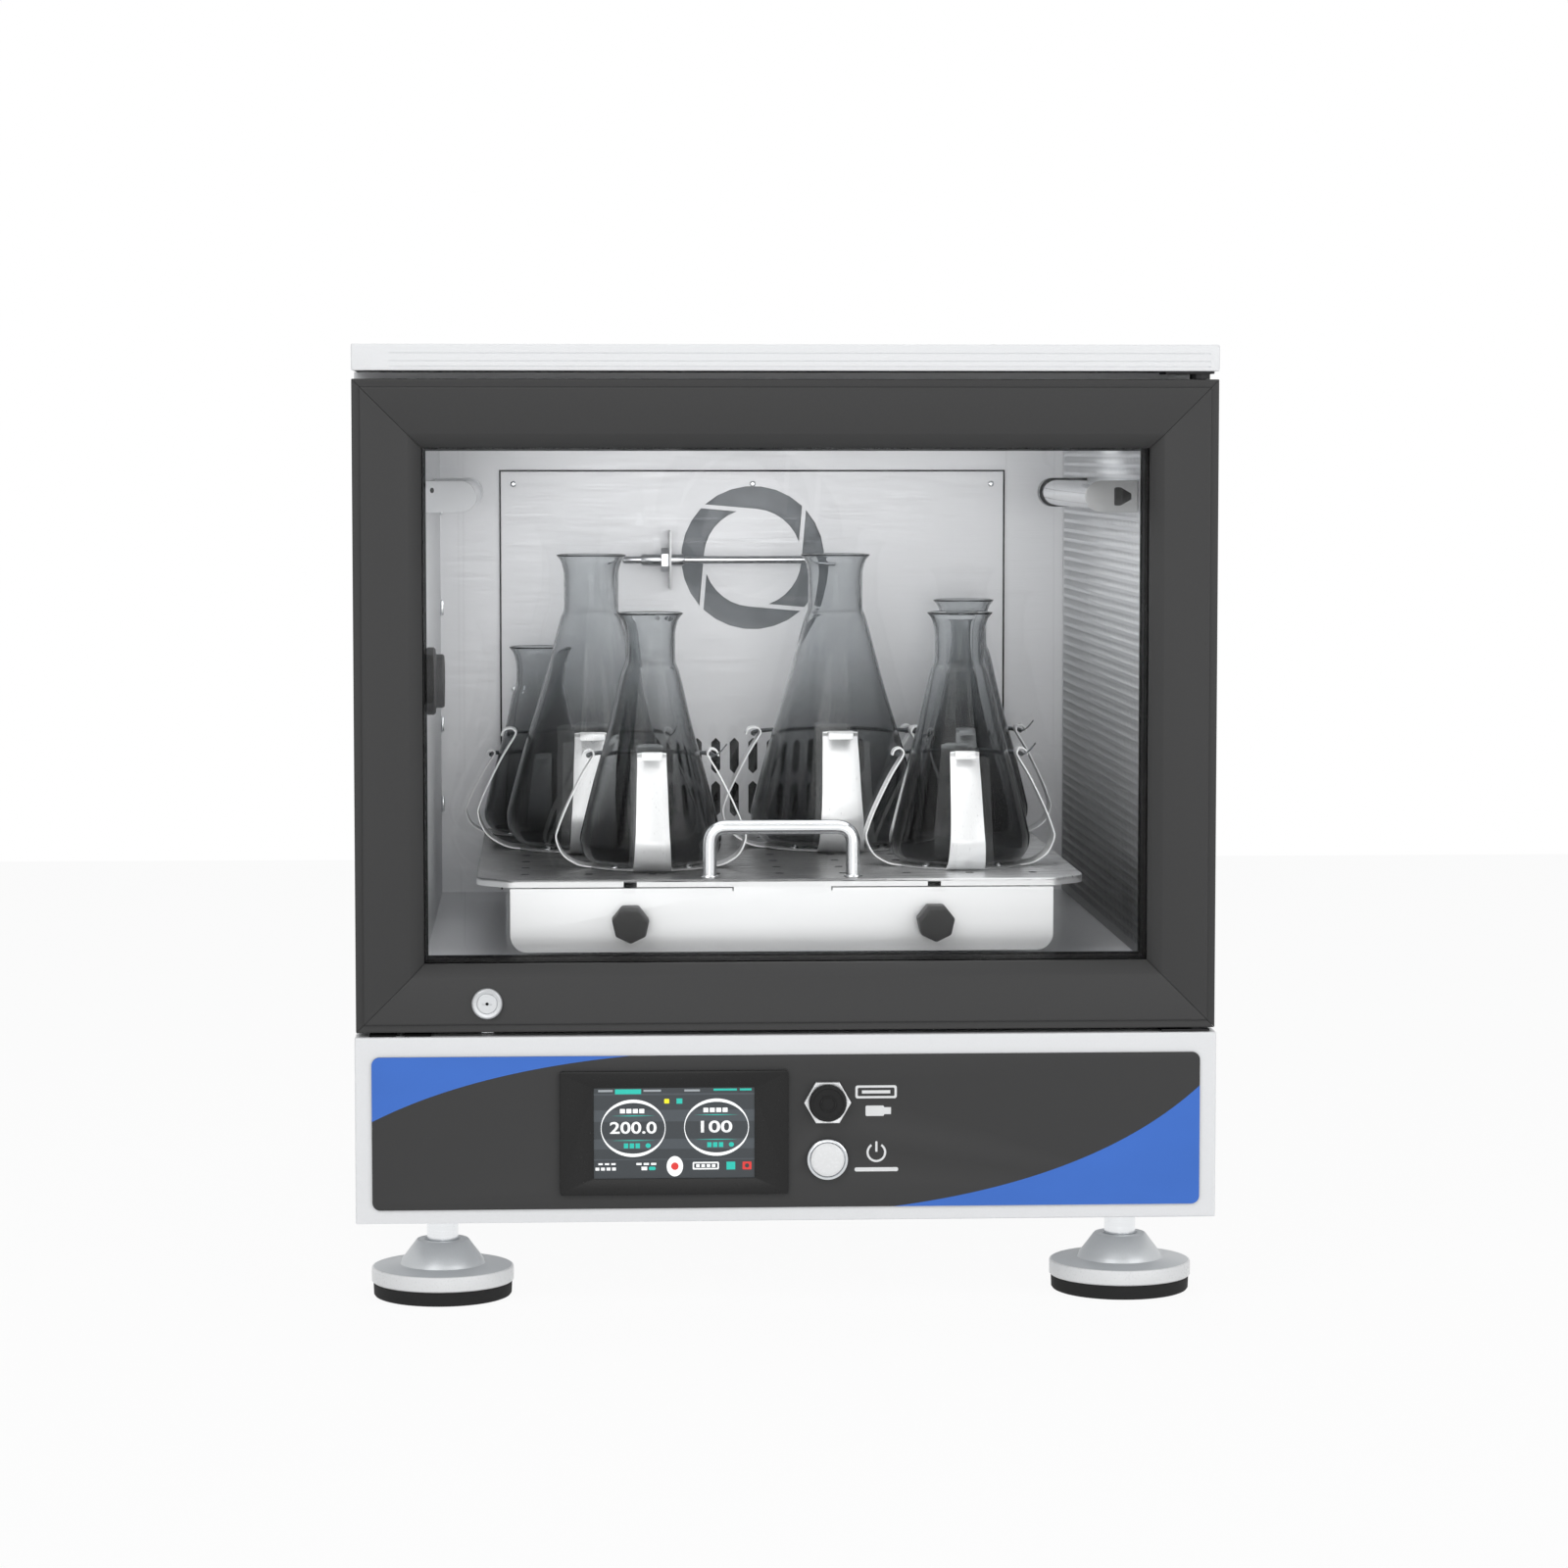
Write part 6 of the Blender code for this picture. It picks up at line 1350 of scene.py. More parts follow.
class INCUBATOR_OT_chamber(IncubatorOperator, bpy.types.Operator):
    """Back panel's strip, guard and filter, air wall, lamps, port plug, probe and wall clips."""

    bl_idname = "incubator.chamber"
    bl_label = "Chamber"

    def execute(self, context):
        self.back_panel()
        self.air_wall(context.scene.incubator_trim)
        self.lamps()
        self.plug()
        self.probe()
        self.clips()
        return {"FINISHED"}

    def back_panel(self):
        """A black strip round the back panel, as painted shadow of the gap at its edge, and what shows behind
        its outlet and its intake.
        """
        low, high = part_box("back_air_panel")
        shadow_width, fan_height = 0.0011, 0.5043
        frame_loop = [
            (low.x - shadow_width, low.z), (low.x + 0.0002, low.z), (low.x + 0.0002, high.z - 0.0002),
            (high.x - 0.0002, high.z - 0.0002), (high.x - 0.0002, low.z), (high.x + shadow_width, low.z),
            (high.x + shadow_width, high.z + shadow_width), (low.x - shadow_width, high.z + shadow_width),
        ]
        # The strip stands for the shadow in the gap round the panel: painted shadow
        shadow_strip = plate([frame_loop], 0.0022, facing(0, low.y + 0.0008, 0), 0.0003)
        piece("back_panel_edging", shadow_strip, "black_seal", "cabinet")
        guard = lathe(
            [(0.030, 0), (0.030, 0.0006), (0.064, 0.0006), (0.064, 0)],
            matrix=facing(0, high.y + 0.0040, fan_height),
        )
        piece("outlet_guard", guard, "zinc_sheet", "cabinet")
        half, bottom, top = 0.105, 0.288, 0.368
        foam = block((-half, high.y + 0.003, bottom), (half, high.y + 0.007, top), 0.001)
        piece("intake_filter", foam, "filter_foam", "cabinet")

    def air_wall(self, trim):
        """The perforated wall: rows of small upright slots in a stainless sheet."""
        low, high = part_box("side_air_panel")
        x, thick = low.x, 0.0012
        margin = 0.006
        depth, height = high.y - low.y - 2 * margin, high.z - low.z - 2 * margin
        columns, rows = round(depth / trim.slot_column), round(height / trim.slot_row)
        wide, tall = depth / columns, height / rows
        half_slot = wide * 0.26, tall * 0.33
        hole = rectangle(-half_slot[0], -half_slot[1], *half_slot)
        cell = plate([rectangle(-wide / 2, -tall / 2, wide / 2, tall / 2), hole], thick)
        self.open_sides(cell, wide / 2, tall / 2)
        obj = placed("slot_cell", cell)
        mesh = grown(
            tree_of(sheet_tree), Cell=obj, Columns=columns, Rows=rows, Width=depth - wide,
            Height=height - tall, Material=look("perforated_stainless"),
        )
        bpy.data.objects.remove(obj, do_unlink=True)
        stand = Matrix(((0, 0, 1, 0), (1, 0, 0, 0), (0, 1, 0, 0), (0, 0, 0, 1)))
        middle = Matrix.Translation((x, (low.y + high.y) / 2, (low.z + high.z) / 2))
        mesh.transform(middle @ stand)
        border = plate(
            [
                rectangle(low.y, low.z, high.y, high.z),
                rectangle(low.y + margin, low.z + margin, high.y - margin, high.z - margin),
            ],
            thick, Matrix.Translation((x, 0, 0)) @ stand,
        )
        folds = [block((x + thick, y, low.z), (high.x, y + thick, high.z)) for y in (low.y, high.y - thick)]
        piece(
            "air_wall", merged(mesh, border, *folds), "perforated_stainless", "cabinet",
            "side_air_panel", smooth=None,
        )
        backing = block((high.x - 0.0012, low.y, low.z), (high.x - 0.0004, high.y, high.z))
        piece("air_wall_backing", backing, "filter_foam", "cabinet")

    def open_sides(self, mesh, half_wide, half_tall):
        """Takes away a cell's outer walls, so that neighbours join."""
        bm = bmesh.new()
        bm.from_mesh(mesh)
        walls = []
        for face in bm.faces:
            centre = face.calc_center_median()
            on_side = abs(abs(centre.x) - half_wide) < 1e-6 or abs(abs(centre.y) - half_tall) < 1e-6
            if on_side and abs(face.normal.z) < 0.5:
                walls.append(face)
        bmesh.ops.delete(bm, geom=walls, context="FACES")
        bm.to_mesh(mesh)
        bm.free()

    def lamps(self):
        """A clear tube on each wall between end caps, with a mark sunk in the front one and three rings."""
        wall_thickness, cap_depth = 0.0014, 0.004
        for name, side in (("left", -1), ("right", 1)):
            low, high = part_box("lamp_" + name)
            r, z = (high.z - low.z) / 2, (high.z + low.z) / 2
            wall = max(abs(low.x), abs(high.x))
            nose = min(abs(low.x), abs(high.x)) + r
            outlines = []
            for radius, cut in ((r, 0), (r - wall_thickness, 0.001)):
                flat = [(wall - cut, z - radius), (wall - cut, z + radius)]
                round_front = arc(nose, z, radius, pi / 2, 3 * pi / 2, 20)
                outlines.append([(side * px, pz) for px, pz in flat + round_front])
            shape, inner = outlines
            front_cap = plate([shape], cap_depth, facing(0, low.y + cap_depth, 0), 0.0005)
            back_cap = plate([shape], cap_depth, facing(0, high.y, 0), 0.0005)
            mark = [(-0.0062, -0.0058), (-0.0050, -0.0064), (-0.0016, -0.0064), (0.0060, -0.0020)]
            mark += [(px, -pz) for px, pz in mark[::-1]]
            if side < 0:
                mark = ellipse(0.0042, 0.0044, 0.0014, 0.0019, 16)
            mark = [(side * (wall - 0.0104 + px), z + pz) for px, pz in mark]
            front_cap = carved(front_cap, plate([mark], 0.004, facing(0, low.y + 0.0015, 0)))
            length = high.y - low.y - 2 * cap_depth + 0.0004
            sleeve = plate([inner], length, facing(0, high.y - cap_depth + 0.0002, 0))
            # The same cap is darker on the right as painted shade and near white on the left as painted light
            cap_finish = "lamp_cap_shaded" if side > 0 else "lamp_cap_pale"
            caps = merged(front_cap, back_cap)
            piece("lamp_caps_" + name, caps, cap_finish, "cabinet", "lamp_" + name)
            piece("lamp_tube_" + name, sleeve, "drawn_lamp_tube", "cabinet", smooth=40)
            # A thin dark plate at the bottom of the sunk mark: painted shade of its hollow
            seat = plate([mark], 0.0005, facing(0, low.y + 0.0016, 0))
            piece("lamp_socket_" + name, seat, "dark_socket", "cabinet")
            rings = ("black_seal", "chrome_ring", "black_seal")
            # On the left the two seal rings take the cap's pale colour in place of black: painted light
            if side < 0:
                rings = ("lamp_cap_pale", "zinc_sheet", "lamp_cap_pale")
            for step, finish in zip((0.002, 0.006, 0.010), rings):
                back = high.y - cap_depth - step
                ring = plate([shape, inner], 0.0036, facing(0, back, 0))
                piece(f"lamp_ring_{name}_{step * 1000:.0f}", ring, finish, "cabinet")

    def plug(self):
        """The stepped plug in the left wall's port."""
        low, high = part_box("wall_port_plug")
        y, z = (low.y + high.y) / 2, (low.z + high.z) / 2
        inward = Matrix.Translation((high.x - 0.0125, y, z)) @ Matrix.Rotation(pi / 2, 4, "Y")
        mesh = lathe(
            [
                (0, 0.0115), (0.0130, 0.0115), (0.0150, 0.0125), (0.0180, 0.0125), (0.0190, 0.0115),
                (0.0190, 0.0072), (0.0196, 0.0065), (0.0226, 0.0063), (0.0240, 0.0050), (0.0240, 0.0008),
                (0.0232, 0), (0.0155, 0), (0.0145, -0.0295), (0.0138, -0.0300), (0, -0.0300),
            ],
            matrix=inward,
        )
        piece("wall_plug_grip", mesh, "moulded_grey", "port_plug", "wall_port_plug")

    def probe(self):
        """The temperature probe: rod, sleeve and nut, on a thin bracket from the back panel."""
        low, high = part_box("temperature_probe")
        y, z = 0.170, (low.z + high.z) / 2
        along = Matrix.Translation((0, y, z)) @ Matrix.Rotation(pi / 2, 4, "Y")
        bracket = -0.067
        rod = lathe(
            [
                (0, high.x), (0.0018, high.x - 0.0002), (0.0028, high.x - 0.0012), (0.0030, high.x - 0.0024),
                (0.0030, bracket + 0.0116), (0.0042, bracket + 0.0112), (0.0048, bracket + 0.0098),
                (0.0048, bracket - 0.0215), (0.0042, bracket - 0.0229), (0.0030, bracket - 0.0231),
                (0.0030, low.x + 0.0020), (0.0024, low.x + 0.0006), (0, low.x),
            ],
            32, along,
        )
        hexagon = arc(0, 0, 0.0095, 0, tau, 6)[:-1]
        nut = plate([hexagon], 0.0064, along @ Matrix.Translation((0, 0, bracket - 0.0074)), 0.0005)
        thin, tall = 0.0009, (high.z - low.z) / 2
        arm = block((bracket - thin, low.y, z - tall), (bracket + thin, high.y, z + tall), 0.0004)
        piece("probe_rod", merged(rod, nut), "polished_rod", "cabinet", "temperature_probe")
        piece("probe_bracket", arm, "spring_leaf_steel", "cabinet")

    def clips(self):
        """Small spring clips that hold the left wall's lining, one above the other."""
        heights, half = (0.545, 0.465, 0.372, 0.308), 0.006
        near, far = (-0.2495, 0.196), (-0.2470, 0.2045)
        meshes = [block((*near, z - half), (*far, z + half), 0.0006) for z in heights]
        piece("wall_clips", merged(*meshes), "polished_rod", "cabinet")


class INCUBATOR_OT_tray(IncubatorOperator, bpy.types.Operator):
    """Tray, handle and clamping knobs."""

    bl_idname = "incubator.tray"
    bl_label = "Tray"

    def execute(self, context):
        self.sheet()
        self.handle()
        self.knobs()
        return {"FINISHED"}

    def outline(self, low, high, inset):
        """The tray's outline from above, with cut front corners, moved inwards by the inset."""
        front_half = 0.1918 - inset
        y0, y1 = low.y + inset, high.y - inset
        x1 = high.x - inset
        shoulder = y0 + 0.022
        points = [(-front_half, y0), (front_half, y0), (x1, shoulder), (x1, y1), (-x1, y1), (-x1, shoulder)]
        loop = []
        count = len(points)
        for i in range(count):
            before, here, after = (Vector((*points[(i + k) % count], 0)) for k in (-1, 0, 1))
            radius = 0.004 if i < 2 else 0.010
            loop += [tuple(p)[:2] for p in bent([before, here, after], radius)[1:-1]]
        return loop

    def sheet(self):
        """The tray's deck, the rim under its edge and the apron at its front."""
        low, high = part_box("tray")
        sheet, rim = 0.0024, 0.0054
        notches_at = -0.1065, 0.1065
        top = plate([self.outline(low, high, 0.0)], sheet, Matrix.Translation((0, 0, high.z - sheet)), 0.0005)
        band = plate(
            [self.outline(low, high, 0.0), self.outline(low, high, 0.0013)], rim - sheet / 2,
            Matrix.Translation((0, 0, high.z - rim)),
        )
        notches = [
            block(
                (x - 0.0046, low.y - 0.01, high.z - rim - 0.001), (x + 0.0046, low.y + 0.006, high.z - 0.0004)
            )
            for x in notches_at
        ]
        band = carved(band, *notches)
        half, corner = 0.1903, 0.012
        line = high.z - rim - 0.0008
        lip = 0.0342
        apron_loop = arc(-half + corner, low.z + corner, corner, pi, 3 * pi / 2, 10)
        apron_loop += arc(half - corner, low.z + corner, corner, -pi / 2, 0, 10)
        apron_loop += [
            (half, line), (lip + 0.0008, line), (lip + 0.0008, line - 0.0022), (lip, line - 0.0022),
            (lip, high.z - sheet), (-lip, high.z - sheet), (-lip, line - 0.0022),
            (-lip - 0.0008, line - 0.0022), (-lip - 0.0008, line), (-half, line),
        ]
        apron = plate([apron_loop], 0.0020, facing(0, low.y + 0.0021, 0), 0.0003)
        piece("tray_deck", top, "tray_deck_steel", "tray", "tray", smooth=35)
        piece("tray_front", merged(band, apron), "tray_stainless", "tray", smooth=35)
        dark = [
            block((x - 0.0060, low.y + 0.0016, high.z - rim), (x + 0.0060, low.y + 0.0030, high.z - sheet))
            for x in notches_at
        ]
        piece("tray_notch_shades", merged(*dark), "black_seal", "tray")
        self.holes(low, high)

    def holes(self, low, high):
        """Rims of the spare threaded holes between the clamps."""
        clamps = [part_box(n) for n in frame["nodes"] if n.startswith("flask_clamp_")]
        taken = [((a + b) / 2, (b.x - a.x) / 2) for a, b in clamps]
        spots = []
        pitch_x, pitch_y = 0.045, 0.048
        columns = [-0.18 + i * pitch_x for i in range(9)]
        rows = [low.y + 0.040 + j * pitch_y for j in range(8)]
        for x in columns:
            for y in rows:
                clear = all((Vector((x, y)) - Vector((c.x, c.y))).length > reach * 0.80 for c, reach in taken)
                if clear and abs(x) < high.x - 0.02:
                    spots.append(((x, y, high.z - 0.00015), (0, 0, 1)))
        ring = lathe([(0.0016, 0), (0.0016, 0.0003), (0.0030, 0.0003), (0.0032, 0)], 16)
        piece("tray_hole_rims", at_points(spots, ring, "black_seal"), "black_seal", "tray")

    def handle(self):
        """The bent rod over the tray's front, with a collar at each foot."""
        low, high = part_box("tray_handle")
        radius = (high.y - low.y) / 2
        y = (high.y + low.y) / 2
        half = (high.x - low.x) / 2 - radius
        path = bent(
            [(-half, y, low.z), (-half, y, high.z - radius), (half, y, high.z - radius), (half, y, low.z)],
            0.0125, 12,
        )
        rod = tube(path, radius, 24)
        collars = [
            lathe(
                [
                    (radius + 0.0002, 0.0012), (radius + 0.0013, 0.0008), (radius + 0.0016, 0), (0, 0),
                    (0, 0.0012),
                ],
                40, Matrix.Translation((side * half, y, low.z)),
            )
            for side in (-1, 1)
        ]
        piece("tray_bow_handle", rod, "polished_rod", "tray", "tray_handle")
        piece("tray_handle_collars", merged(*collars), "polished_rod", "tray")

    def knobs(self):
        """The two knobs that clamp the tray: a grip with seven sides, a collar and a stud."""
        knob_height, radius, sides = 0.2617, 0.0134, 7
        for name in ("left", "right"):
            low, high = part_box("tray_knob_" + name)
            x, z = (low.x + high.x) / 2, knob_height
            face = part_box("tray")[0].y - 0.0003
            reach = face - low.y
            loop = []
            corners = arc(0, 0, radius, -pi / 2, 3 * pi / 2, sides)[:-1]
            for i in range(sides):
                before, here, after = (Vector((*corners[(i + k) % sides], 0)) for k in (-1, 0, 1))
                loop += [tuple(p)[:2] for p in bent([before, here, after], 0.0012, 4)[1:-1]]
            grip = plate([loop], reach - 0.0015, facing(x, face - 0.0015, z), 0.0006, 3)
            collar = lathe([(0, 0.003), (0.0070, 0.003), (0.0072, 0), (0, 0)], 40, facing(x, face, z))
            stud = lathe([(0, 0.004), (0.003, 0.004), (0.003, -0.020), (0, -0.0205)], 24, facing(x, face, z))
            piece(
                "clamping_knob_" + name, merged(grip, collar), "moulded_grey", "knob_" + name,
                "tray_knob_" + name, smooth=25,
            )
            piece("knob_stud_" + name, stud, "polished_rod", "knob_" + name)


class INCUBATOR_OT_flasks(IncubatorOperator, bpy.types.Operator):
    """Blown flasks in their spring clamps."""

    bl_idname = "incubator.flasks"
    bl_label = "Flasks"

    # Flask height: neck radius and length. Flask radius: how far out its clamp's hooks stand
    necks = {0.1445: (0.0165, 0.030), 0.1810: (0.0180, 0.036), 0.2190: (0.0205, 0.042)}
    hooks = {0.042: 0.0336, 0.051: 0.0410, 0.064: 0.0570}

    def execute(self, context):
        trim = context.scene.incubator_trim
        for node in sorted(frame["nodes"]):
            if node.startswith("flask_clamp_"):
                self.clamp(node, trim)
            elif node.startswith("flask_"):
                self.flask(node)
        return {"FINISHED"}

    def flask(self, node):
        """A blown conical flask: its outside line, then the same line one wall's thickness inside it."""
        low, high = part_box(node)
        radius, height = (high.x - low.x) / 2, high.z - low.z
        size = min(self.necks, key=lambda h: abs(h - height))
        neck, neck_length = self.necks[size]
        wall, shoulder = 0.0022, height - neck_length
        heel, lip = radius * 0.33, neck + 0.0055
        outside = smooth_line(
            [
                (0, 0.0022), (radius * 0.40, 0.0006), (radius - heel, 0.0),
                (radius - heel * 0.42, heel * 0.16), (radius - heel * 0.10, heel * 0.55),
                (radius, heel * 1.05), (radius - heel * 0.10, heel * 1.62),
                (radius - (radius - neck) * 0.30, heel * 1.6 + (shoulder - heel * 1.6) * 0.28),
                (radius - (radius - neck) * 0.62, heel * 1.6 + (shoulder - heel * 1.6) * 0.60),
                (neck + 0.0036, shoulder - 0.0090), (neck + 0.0007, shoulder - 0.0010),
                (neck, shoulder + 0.0050), (neck, height - 0.0170), (neck + 0.0006, height - 0.0110),
                (neck + 0.0024, height - 0.0050), (lip, height - 0.0010),
            ],
            5,
        )
        line = [(p.x, p.y) for p in outside]
        inner = []
        for before, here, after in zip(line, line[1:], line[2:]):
            along = Vector((after[0] - before[0], after[1] - before[1])).normalized()
            inner.append((max(here[0] - along.y * wall, 0.0), here[1] + along.x * wall))
        inner = [p for p in inner if p[0] > 0.0005]
        rim = [(lip - 0.0002, height - 0.0002), (lip - 0.0010, height), (lip - wall * 0.9, height - 0.0006)]
        profile = line + rim + inner[::-1] + [(0, line[0][1] + wall)]
        mesh = lathe(profile, 96, Matrix.Translation(((low.x + high.x) / 2, (low.y + high.y) / 2, low.z)))
        piece(node + "_glass", mesh, "smoky_glass", "tray", node, smooth=60)

    def clamp(self, node, trim):
        """Four bent spring leaves on a round foot, hooked at their tops, with a spring and four screws."""
        low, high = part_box(node)
        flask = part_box(node.replace("clamp_", ""))
        x, y = (flask[0].x + flask[1].x) / 2, (flask[0].y + flask[1].y) / 2
        radius = (flask[1].x - flask[0].x) / 2
        sheet = 0.0012
        tip = high.z - low.z - 0.0008
        hook = self.hooks[min(self.hooks, key=lambda r: abs(r - radius))]
        foot, bulge, rise = radius * 0.90, radius * 1.34, radius * 0.40
        centre = smooth_line(
            [
                (foot * 0.55, 0, sheet / 2), (foot * 0.86, 0, sheet / 2), (foot * 1.03, 0, sheet * 0.9),
                (foot * 1.19, 0, rise * 0.16), (bulge * 0.925, 0, rise * 0.46),
                (bulge * 0.995, 0, rise * 0.98), (bulge * 0.975, 0, rise * 1.36),
                (hook + (bulge - hook) * 0.72, 0, rise + (tip - rise) * 0.36),
                (hook + (bulge - hook) * 0.34, 0, rise + (tip - rise) * 0.70), (hook * 1.02, 0, tip * 0.945),
                (hook * 1.00, 0, tip * 0.985), (hook * 1.035, 0, tip * 1.012), (hook * 1.100, 0, tip * 1.016),
                (hook * 1.165, 0, tip * 0.995), (hook * 1.190, 0, tip * 0.955),
            ],
            5,
        )
        wide = radius * 0.30
        count = len(centre)
        widths = [wide * (1 - 0.32 * min(1.0, i / count / 0.62)) for i in range(count)]
        lip = 16
        widths[-lip:] = [width * 0.70 for width in widths[-lip:]]
        meshes = [
            lathe([(0, sheet), (foot * 0.98, sheet), (foot, sheet * 0.5), (foot * 0.98, 0), (0, 0)], 64)
        ]
        for turn in range(4):
            arm = ribbon(centre, widths, sheet, Matrix.Rotation(turn * pi / 2, 4, "Z"))
            meshes.append(softened(arm, 0.00025))
        mesh = merged(*meshes)
        mesh.transform(Matrix.Translation((x, y, low.z)))
        piece(node + "_leaves", mesh, "spring_leaf_steel", "tray", node, smooth=40)
        self.spring(node, Vector((x, y, low.z + tip * 0.962)), hook * 1.095, trim)
        screw = cross_screw(0.0030, 0.0014)
        spots = []
        for k in range(4):
            angle = (k + 0.5) * pi / 2
            spots.append(
                ((x + foot * 0.8 * cos(angle), y + foot * 0.8 * sin(angle), low.z + sheet), (0, 0, 1))
            )
        piece(
            node + "_screws", at_points(spots, screw, "polished_rod"), "polished_rod", "tray"
        )

    def spring(self, node, middle, ring, trim):
        """The coil spring that runs behind the flask, inside the curls of the arms, with twisted ends."""
        lead = 0.12
        spring = grown(
            tree_of(coil_tree), Ring=ring, Start=-lead, Sweep=pi + 2 * lead, Coil=trim.spring_coil,
            Wire=trim.spring_wire, Turns=int((pi + 2 * lead) * ring / (trim.spring_wire * 2.3)),
            Material=look("spring_wire"),
        )
        spring.transform(Matrix.Translation(middle))
        tails = []
        for lean in (-0.0014, 0.0014):
            start = middle + Vector((ring * cos(lead), -ring * sin(lead), 0))
            steps = [(0.0030, -0.001 + lean, 0.0010), (0.0065, -0.001 - lean, 0.0038), (0.0100, lean, 0.0080)]
            path = smooth_line([start] + [start + Vector(step) for step in steps], 8)
            tails.append(tube(path, 0.0005, 8))
        piece(node + "_spring", merged(spring, *tails), "spring_wire", "tray", smooth=60)


class INCUBATOR_OT_feet(IncubatorOperator, bpy.types.Operator):
    """Levelling feet with rubber pads."""

    bl_idname = "incubator.feet"
    bl_label = "Feet"

    def execute(self, context):
        for name in ("front_left", "front_right", "rear_left", "rear_right"):
            pad_low, pad_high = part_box("foot_pad_" + name)
            low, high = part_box("levelling_foot_" + name)
            centre = (low + high) / 2
            at = Matrix.Translation((centre.x, centre.y, 0))
            r = (high.x - low.x) / 2
            top = low.z + 0.0105
            disc = lathe(
                [
                    (0, low.z), (r - 0.0008, low.z), (r, low.z + 0.0008), (r, top - 0.0012),
                    (r - 0.0004, top - 0.0004), (r - 0.0012, top), (0, top),
                ],
                96, at,
            )
            hub = lathe(
                [
                    (0, top - 0.001), (r - 0.0014, top + 0.0001), (0.0310, top + 0.0010),
                    (0.0296, top + 0.0016), (0.0290, top + 0.0030), (0.0285, top + 0.0048), (0.0186, 0.0388),
                    (0.0178, 0.0395), (0.0128, 0.0395), (0.0120, 0.0385), (0.0115, 0.0370), (0, 0.0370),
                ],
                96, at,
            )
            stem = lathe(
                [(0, 0.036), (0.011, 0.036), (0.011, high.z - 0.001), (0.010, high.z), (0, high.z)], 48, at
            )
            body = "foot_" + name
            piece("foot_disc_" + name, disc, "white_lacquer", body, "levelling_foot_" + name)
            piece("foot_hub_" + name, hub, "machined_aluminium", body, smooth=25)
            piece("foot_stem_" + name, stem, "bright_stainless", body)
            pr = (pad_high.x - pad_low.x) / 2
            pad = lathe(
                [
                    (0, pad_high.z), (pr - 0.0004, pad_high.z), (pr, pad_high.z - 0.0006),
                    (pr - 0.0003, 0.0016), (pr - 0.0012, 0.0004), (pr - 0.0022, 0.0), (pr * 0.72, 0.0),
                    (pr * 0.70, 0.0015), (pr * 0.30, 0.0015), (pr * 0.28, 0.0), (0, 0.0),
                ],
                96, at,
            )
            piece("foot_rubber_" + name, pad, "moulded_rubber", body, "foot_pad_" + name)
        return {"FINISHED"}


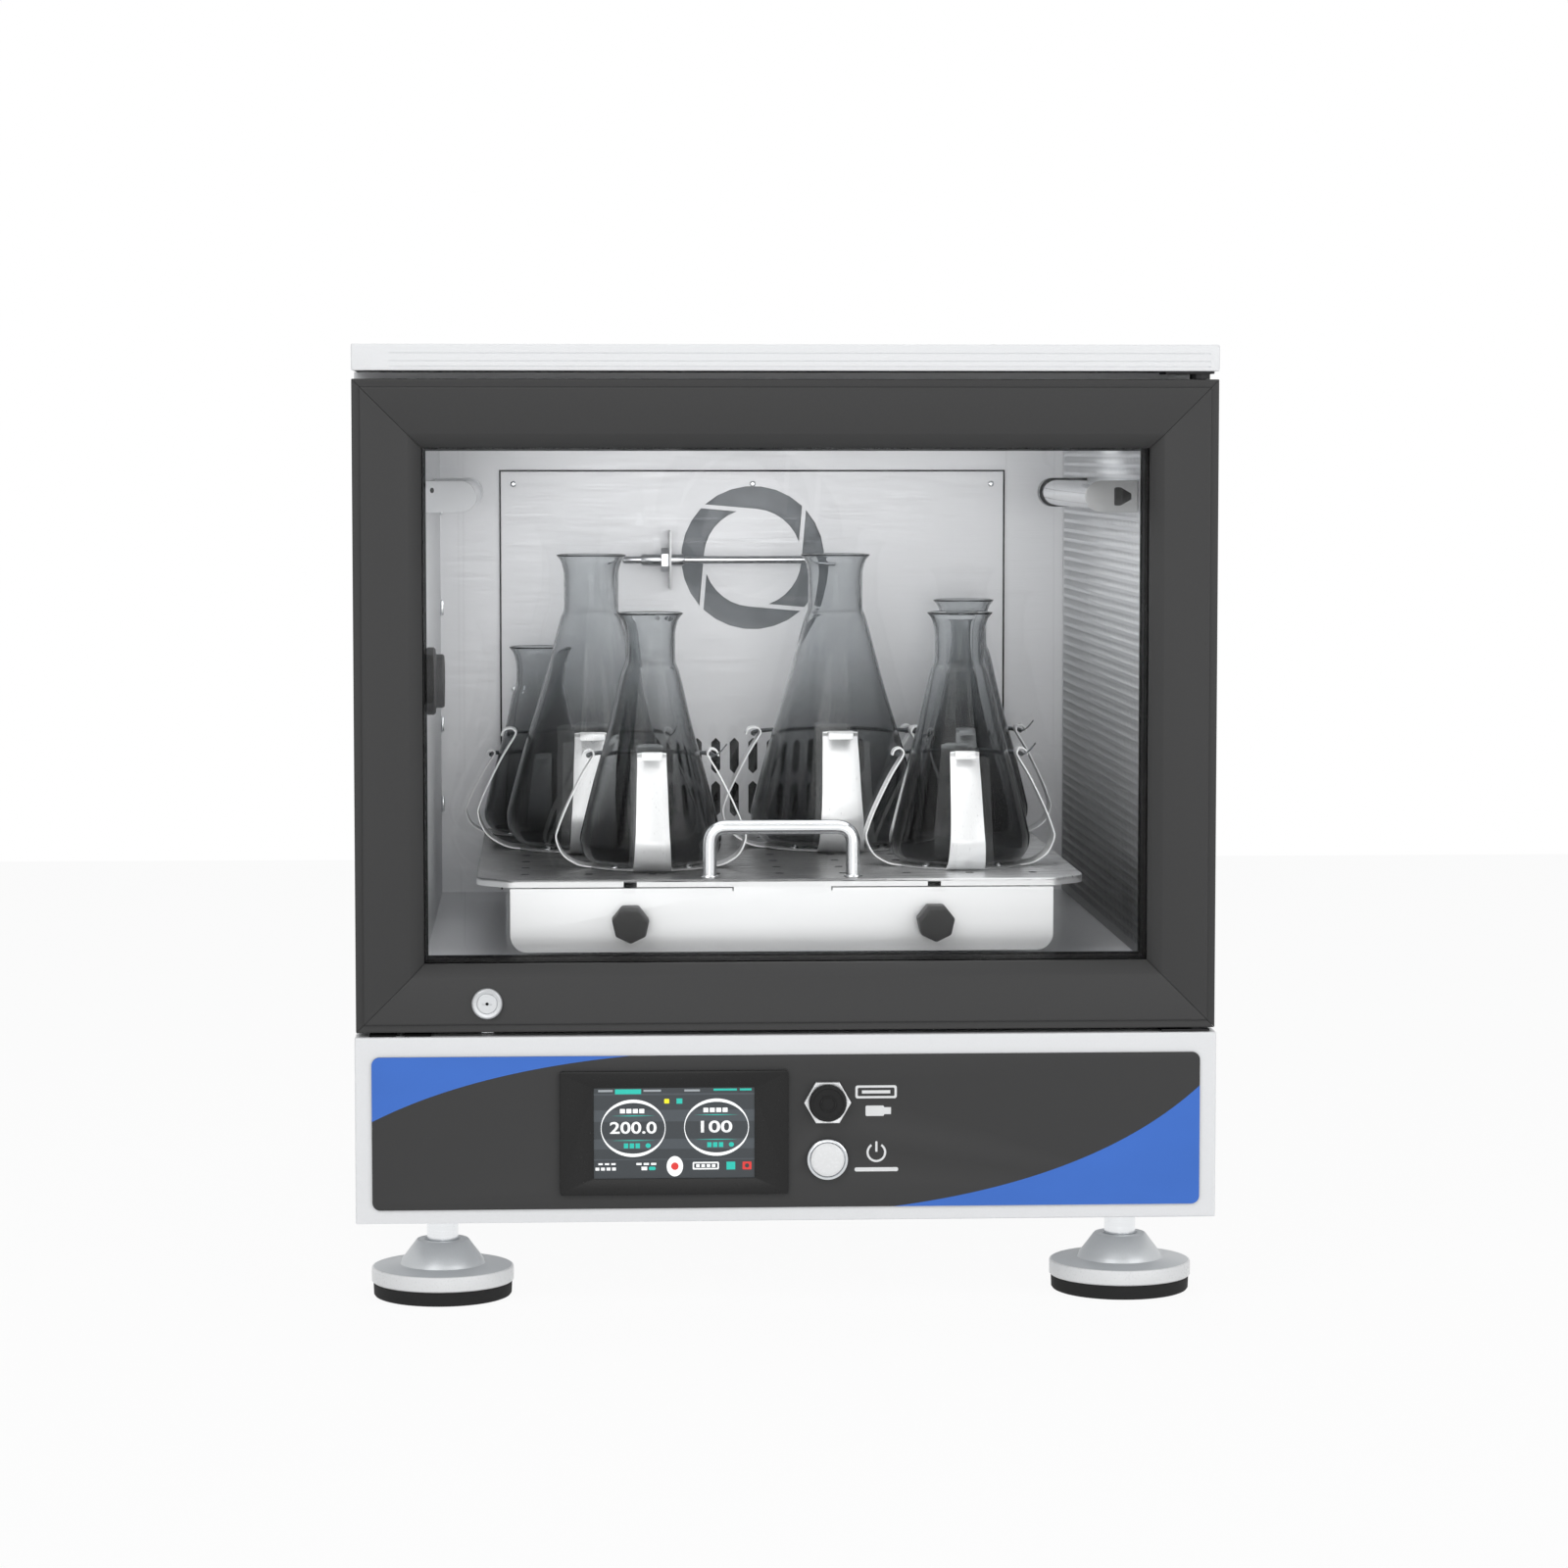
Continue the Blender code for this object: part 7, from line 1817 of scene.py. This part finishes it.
class INCUBATOR_OT_fasteners(IncubatorOperator, bpy.types.Operator):
    """Screws on the cabinet and chamber, and the power inlet on the back."""

    bl_idname = "incubator.fasteners"
    bl_label = "Fasteners and inlet"

    def execute(self, context):
        trim = context.scene.incubator_trim
        self.outside(trim)
        self.inlet()
        return {"FINISHED"}

    def outside(self, trim):
        """Screws round the rear cover, the base and the cabinet, and small ones in the back panel."""
        spots = cover_screws()
        seated = spots["rear_cover"] + spots["base_housing"]
        seated = [(tuple(Vector(point) - Vector(out) * SCREW_SEAT), out) for point, out in seated]
        spots = seated + spots["cabinet_shell"]
        mesh = at_points(spots, cross_screw(trim.screw_radius, 0.0009), "polished_rod")
        piece("cabinet_screws", mesh, "polished_rod", "cabinet")
        panel_low, panel_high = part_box("back_air_panel")
        spots = []
        for x in (panel_low.x + 0.010, 0.0, panel_high.x - 0.010):
            spots.append(((x, panel_low.y, panel_high.z - 0.010), (0, -1, 0)))
        for x in (panel_low.x + 0.010, panel_high.x - 0.010):
            spots.append(((x, panel_low.y, 0.40), (0, -1, 0)))
        small = at_points(spots, cross_screw(0.0024, 0.0010), "polished_rod", seed=5)
        piece("chamber_screws", small, "polished_rod", "cabinet")

    def inlet(self):
        """A flush mains inlet with its fuse drawer, low on the back of the base."""
        _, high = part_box("base_housing")
        at = Matrix.Translation((INLET[0], high.y - 0.0012, INLET[1])) @ Matrix.Rotation(-pi / 2, 4, "X")
        mouth = rounded(-0.0125, -0.024, 0.0125, -0.004, 0.003)
        plate_mesh = plate([rounded(-0.016, -0.030, 0.016, 0.030, 0.003), mouth], 0.0012, at, 0.0003)
        well = plate(
            [mouth, rounded(-0.0115, -0.023, 0.0115, -0.005, 0.0026)], 0.016,
            Matrix.Translation((0, -0.0158, 0)) @ at,
        )
        floor = plate([mouth], 0.001, Matrix.Translation((0, -0.0155, 0)) @ at)
        drawer = plate(
            [rounded(-0.012, 0.004, 0.012, 0.023, 0.0015)], 0.0006, Matrix.Translation((0, 0.0004, 0)) @ at,
            0.0002,
        )
        pins = [
            plate(
                [rectangle(px - 0.001, pz - 0.0025, px + 0.001, pz + 0.0025)], 0.013,
                Matrix.Translation((0, -0.0150, 0)) @ at,
            )
            for px, pz in ((-0.007, -0.015), (0.007, -0.015), (0, -0.011))
        ]
        piece("power_inlet", merged(plate_mesh, well, floor), "moulded_rubber", "cabinet")
        piece("inlet_fuse_drawer", drawer, "moulded_grey", "cabinet")
        piece("inlet_pins", merged(*pins), "polished_rod", "cabinet")


OPERATORS = (
    INCUBATOR_OT_stage, INCUBATOR_OT_finishes, INCUBATOR_OT_cabinet, INCUBATOR_OT_door, INCUBATOR_OT_controls,
    INCUBATOR_OT_display, INCUBATOR_OT_chamber, INCUBATOR_OT_tray, INCUBATOR_OT_flasks, INCUBATOR_OT_feet,
    INCUBATOR_OT_fasteners,
)


class INCUBATOR_PT_panel(bpy.types.Panel):
    """Sizes, colours and the steps that dress the incubator."""

    bl_label = "Incubator"
    bl_idname = "INCUBATOR_PT_panel"
    bl_space_type = "VIEW_3D"
    bl_region_type = "UI"
    bl_category = "Incubator"

    def draw(self, context):
        for group in (
            context.scene.incubator_colours, context.scene.incubator_trim, context.scene.incubator_studio
        ):
            box = self.layout.box()
            for name in group.__annotations__:
                box.prop(group, name)
        for operator in OPERATORS:
            self.layout.operator(operator.bl_idname)


GROUPS = {
    "incubator_colours": IncubatorColours, "incubator_trim": IncubatorTrim,
    "incubator_studio": IncubatorStudio,
}


def register():
    for name, group in GROUPS.items():
        bpy.utils.register_class(group)
        setattr(bpy.types.Scene, name, PointerProperty(type=group))
    for kind in (*OPERATORS, INCUBATOR_PT_panel):
        bpy.utils.register_class(kind)


def unregister():
    for kind in (INCUBATOR_PT_panel, *reversed(OPERATORS)):
        bpy.utils.unregister_class(kind)
    for name, group in GROUPS.items():
        delattr(bpy.types.Scene, name)
        bpy.utils.unregister_class(group)


def clear_start_scene():
    """Removes what Blender starts with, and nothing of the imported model."""
    for name in ("Cube", "Light", "Camera"):
        start = bpy.data.objects.get(name)
        if start and "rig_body" not in start:
            bpy.data.objects.remove(start, do_unlink=True)


def main():
    clear_start_scene()
    register()
    for operator in OPERATORS:
        group, name = operator.bl_idname.split(".")
        getattr(getattr(bpy.ops, group), name)()


if __name__ == "__main__":
    main()
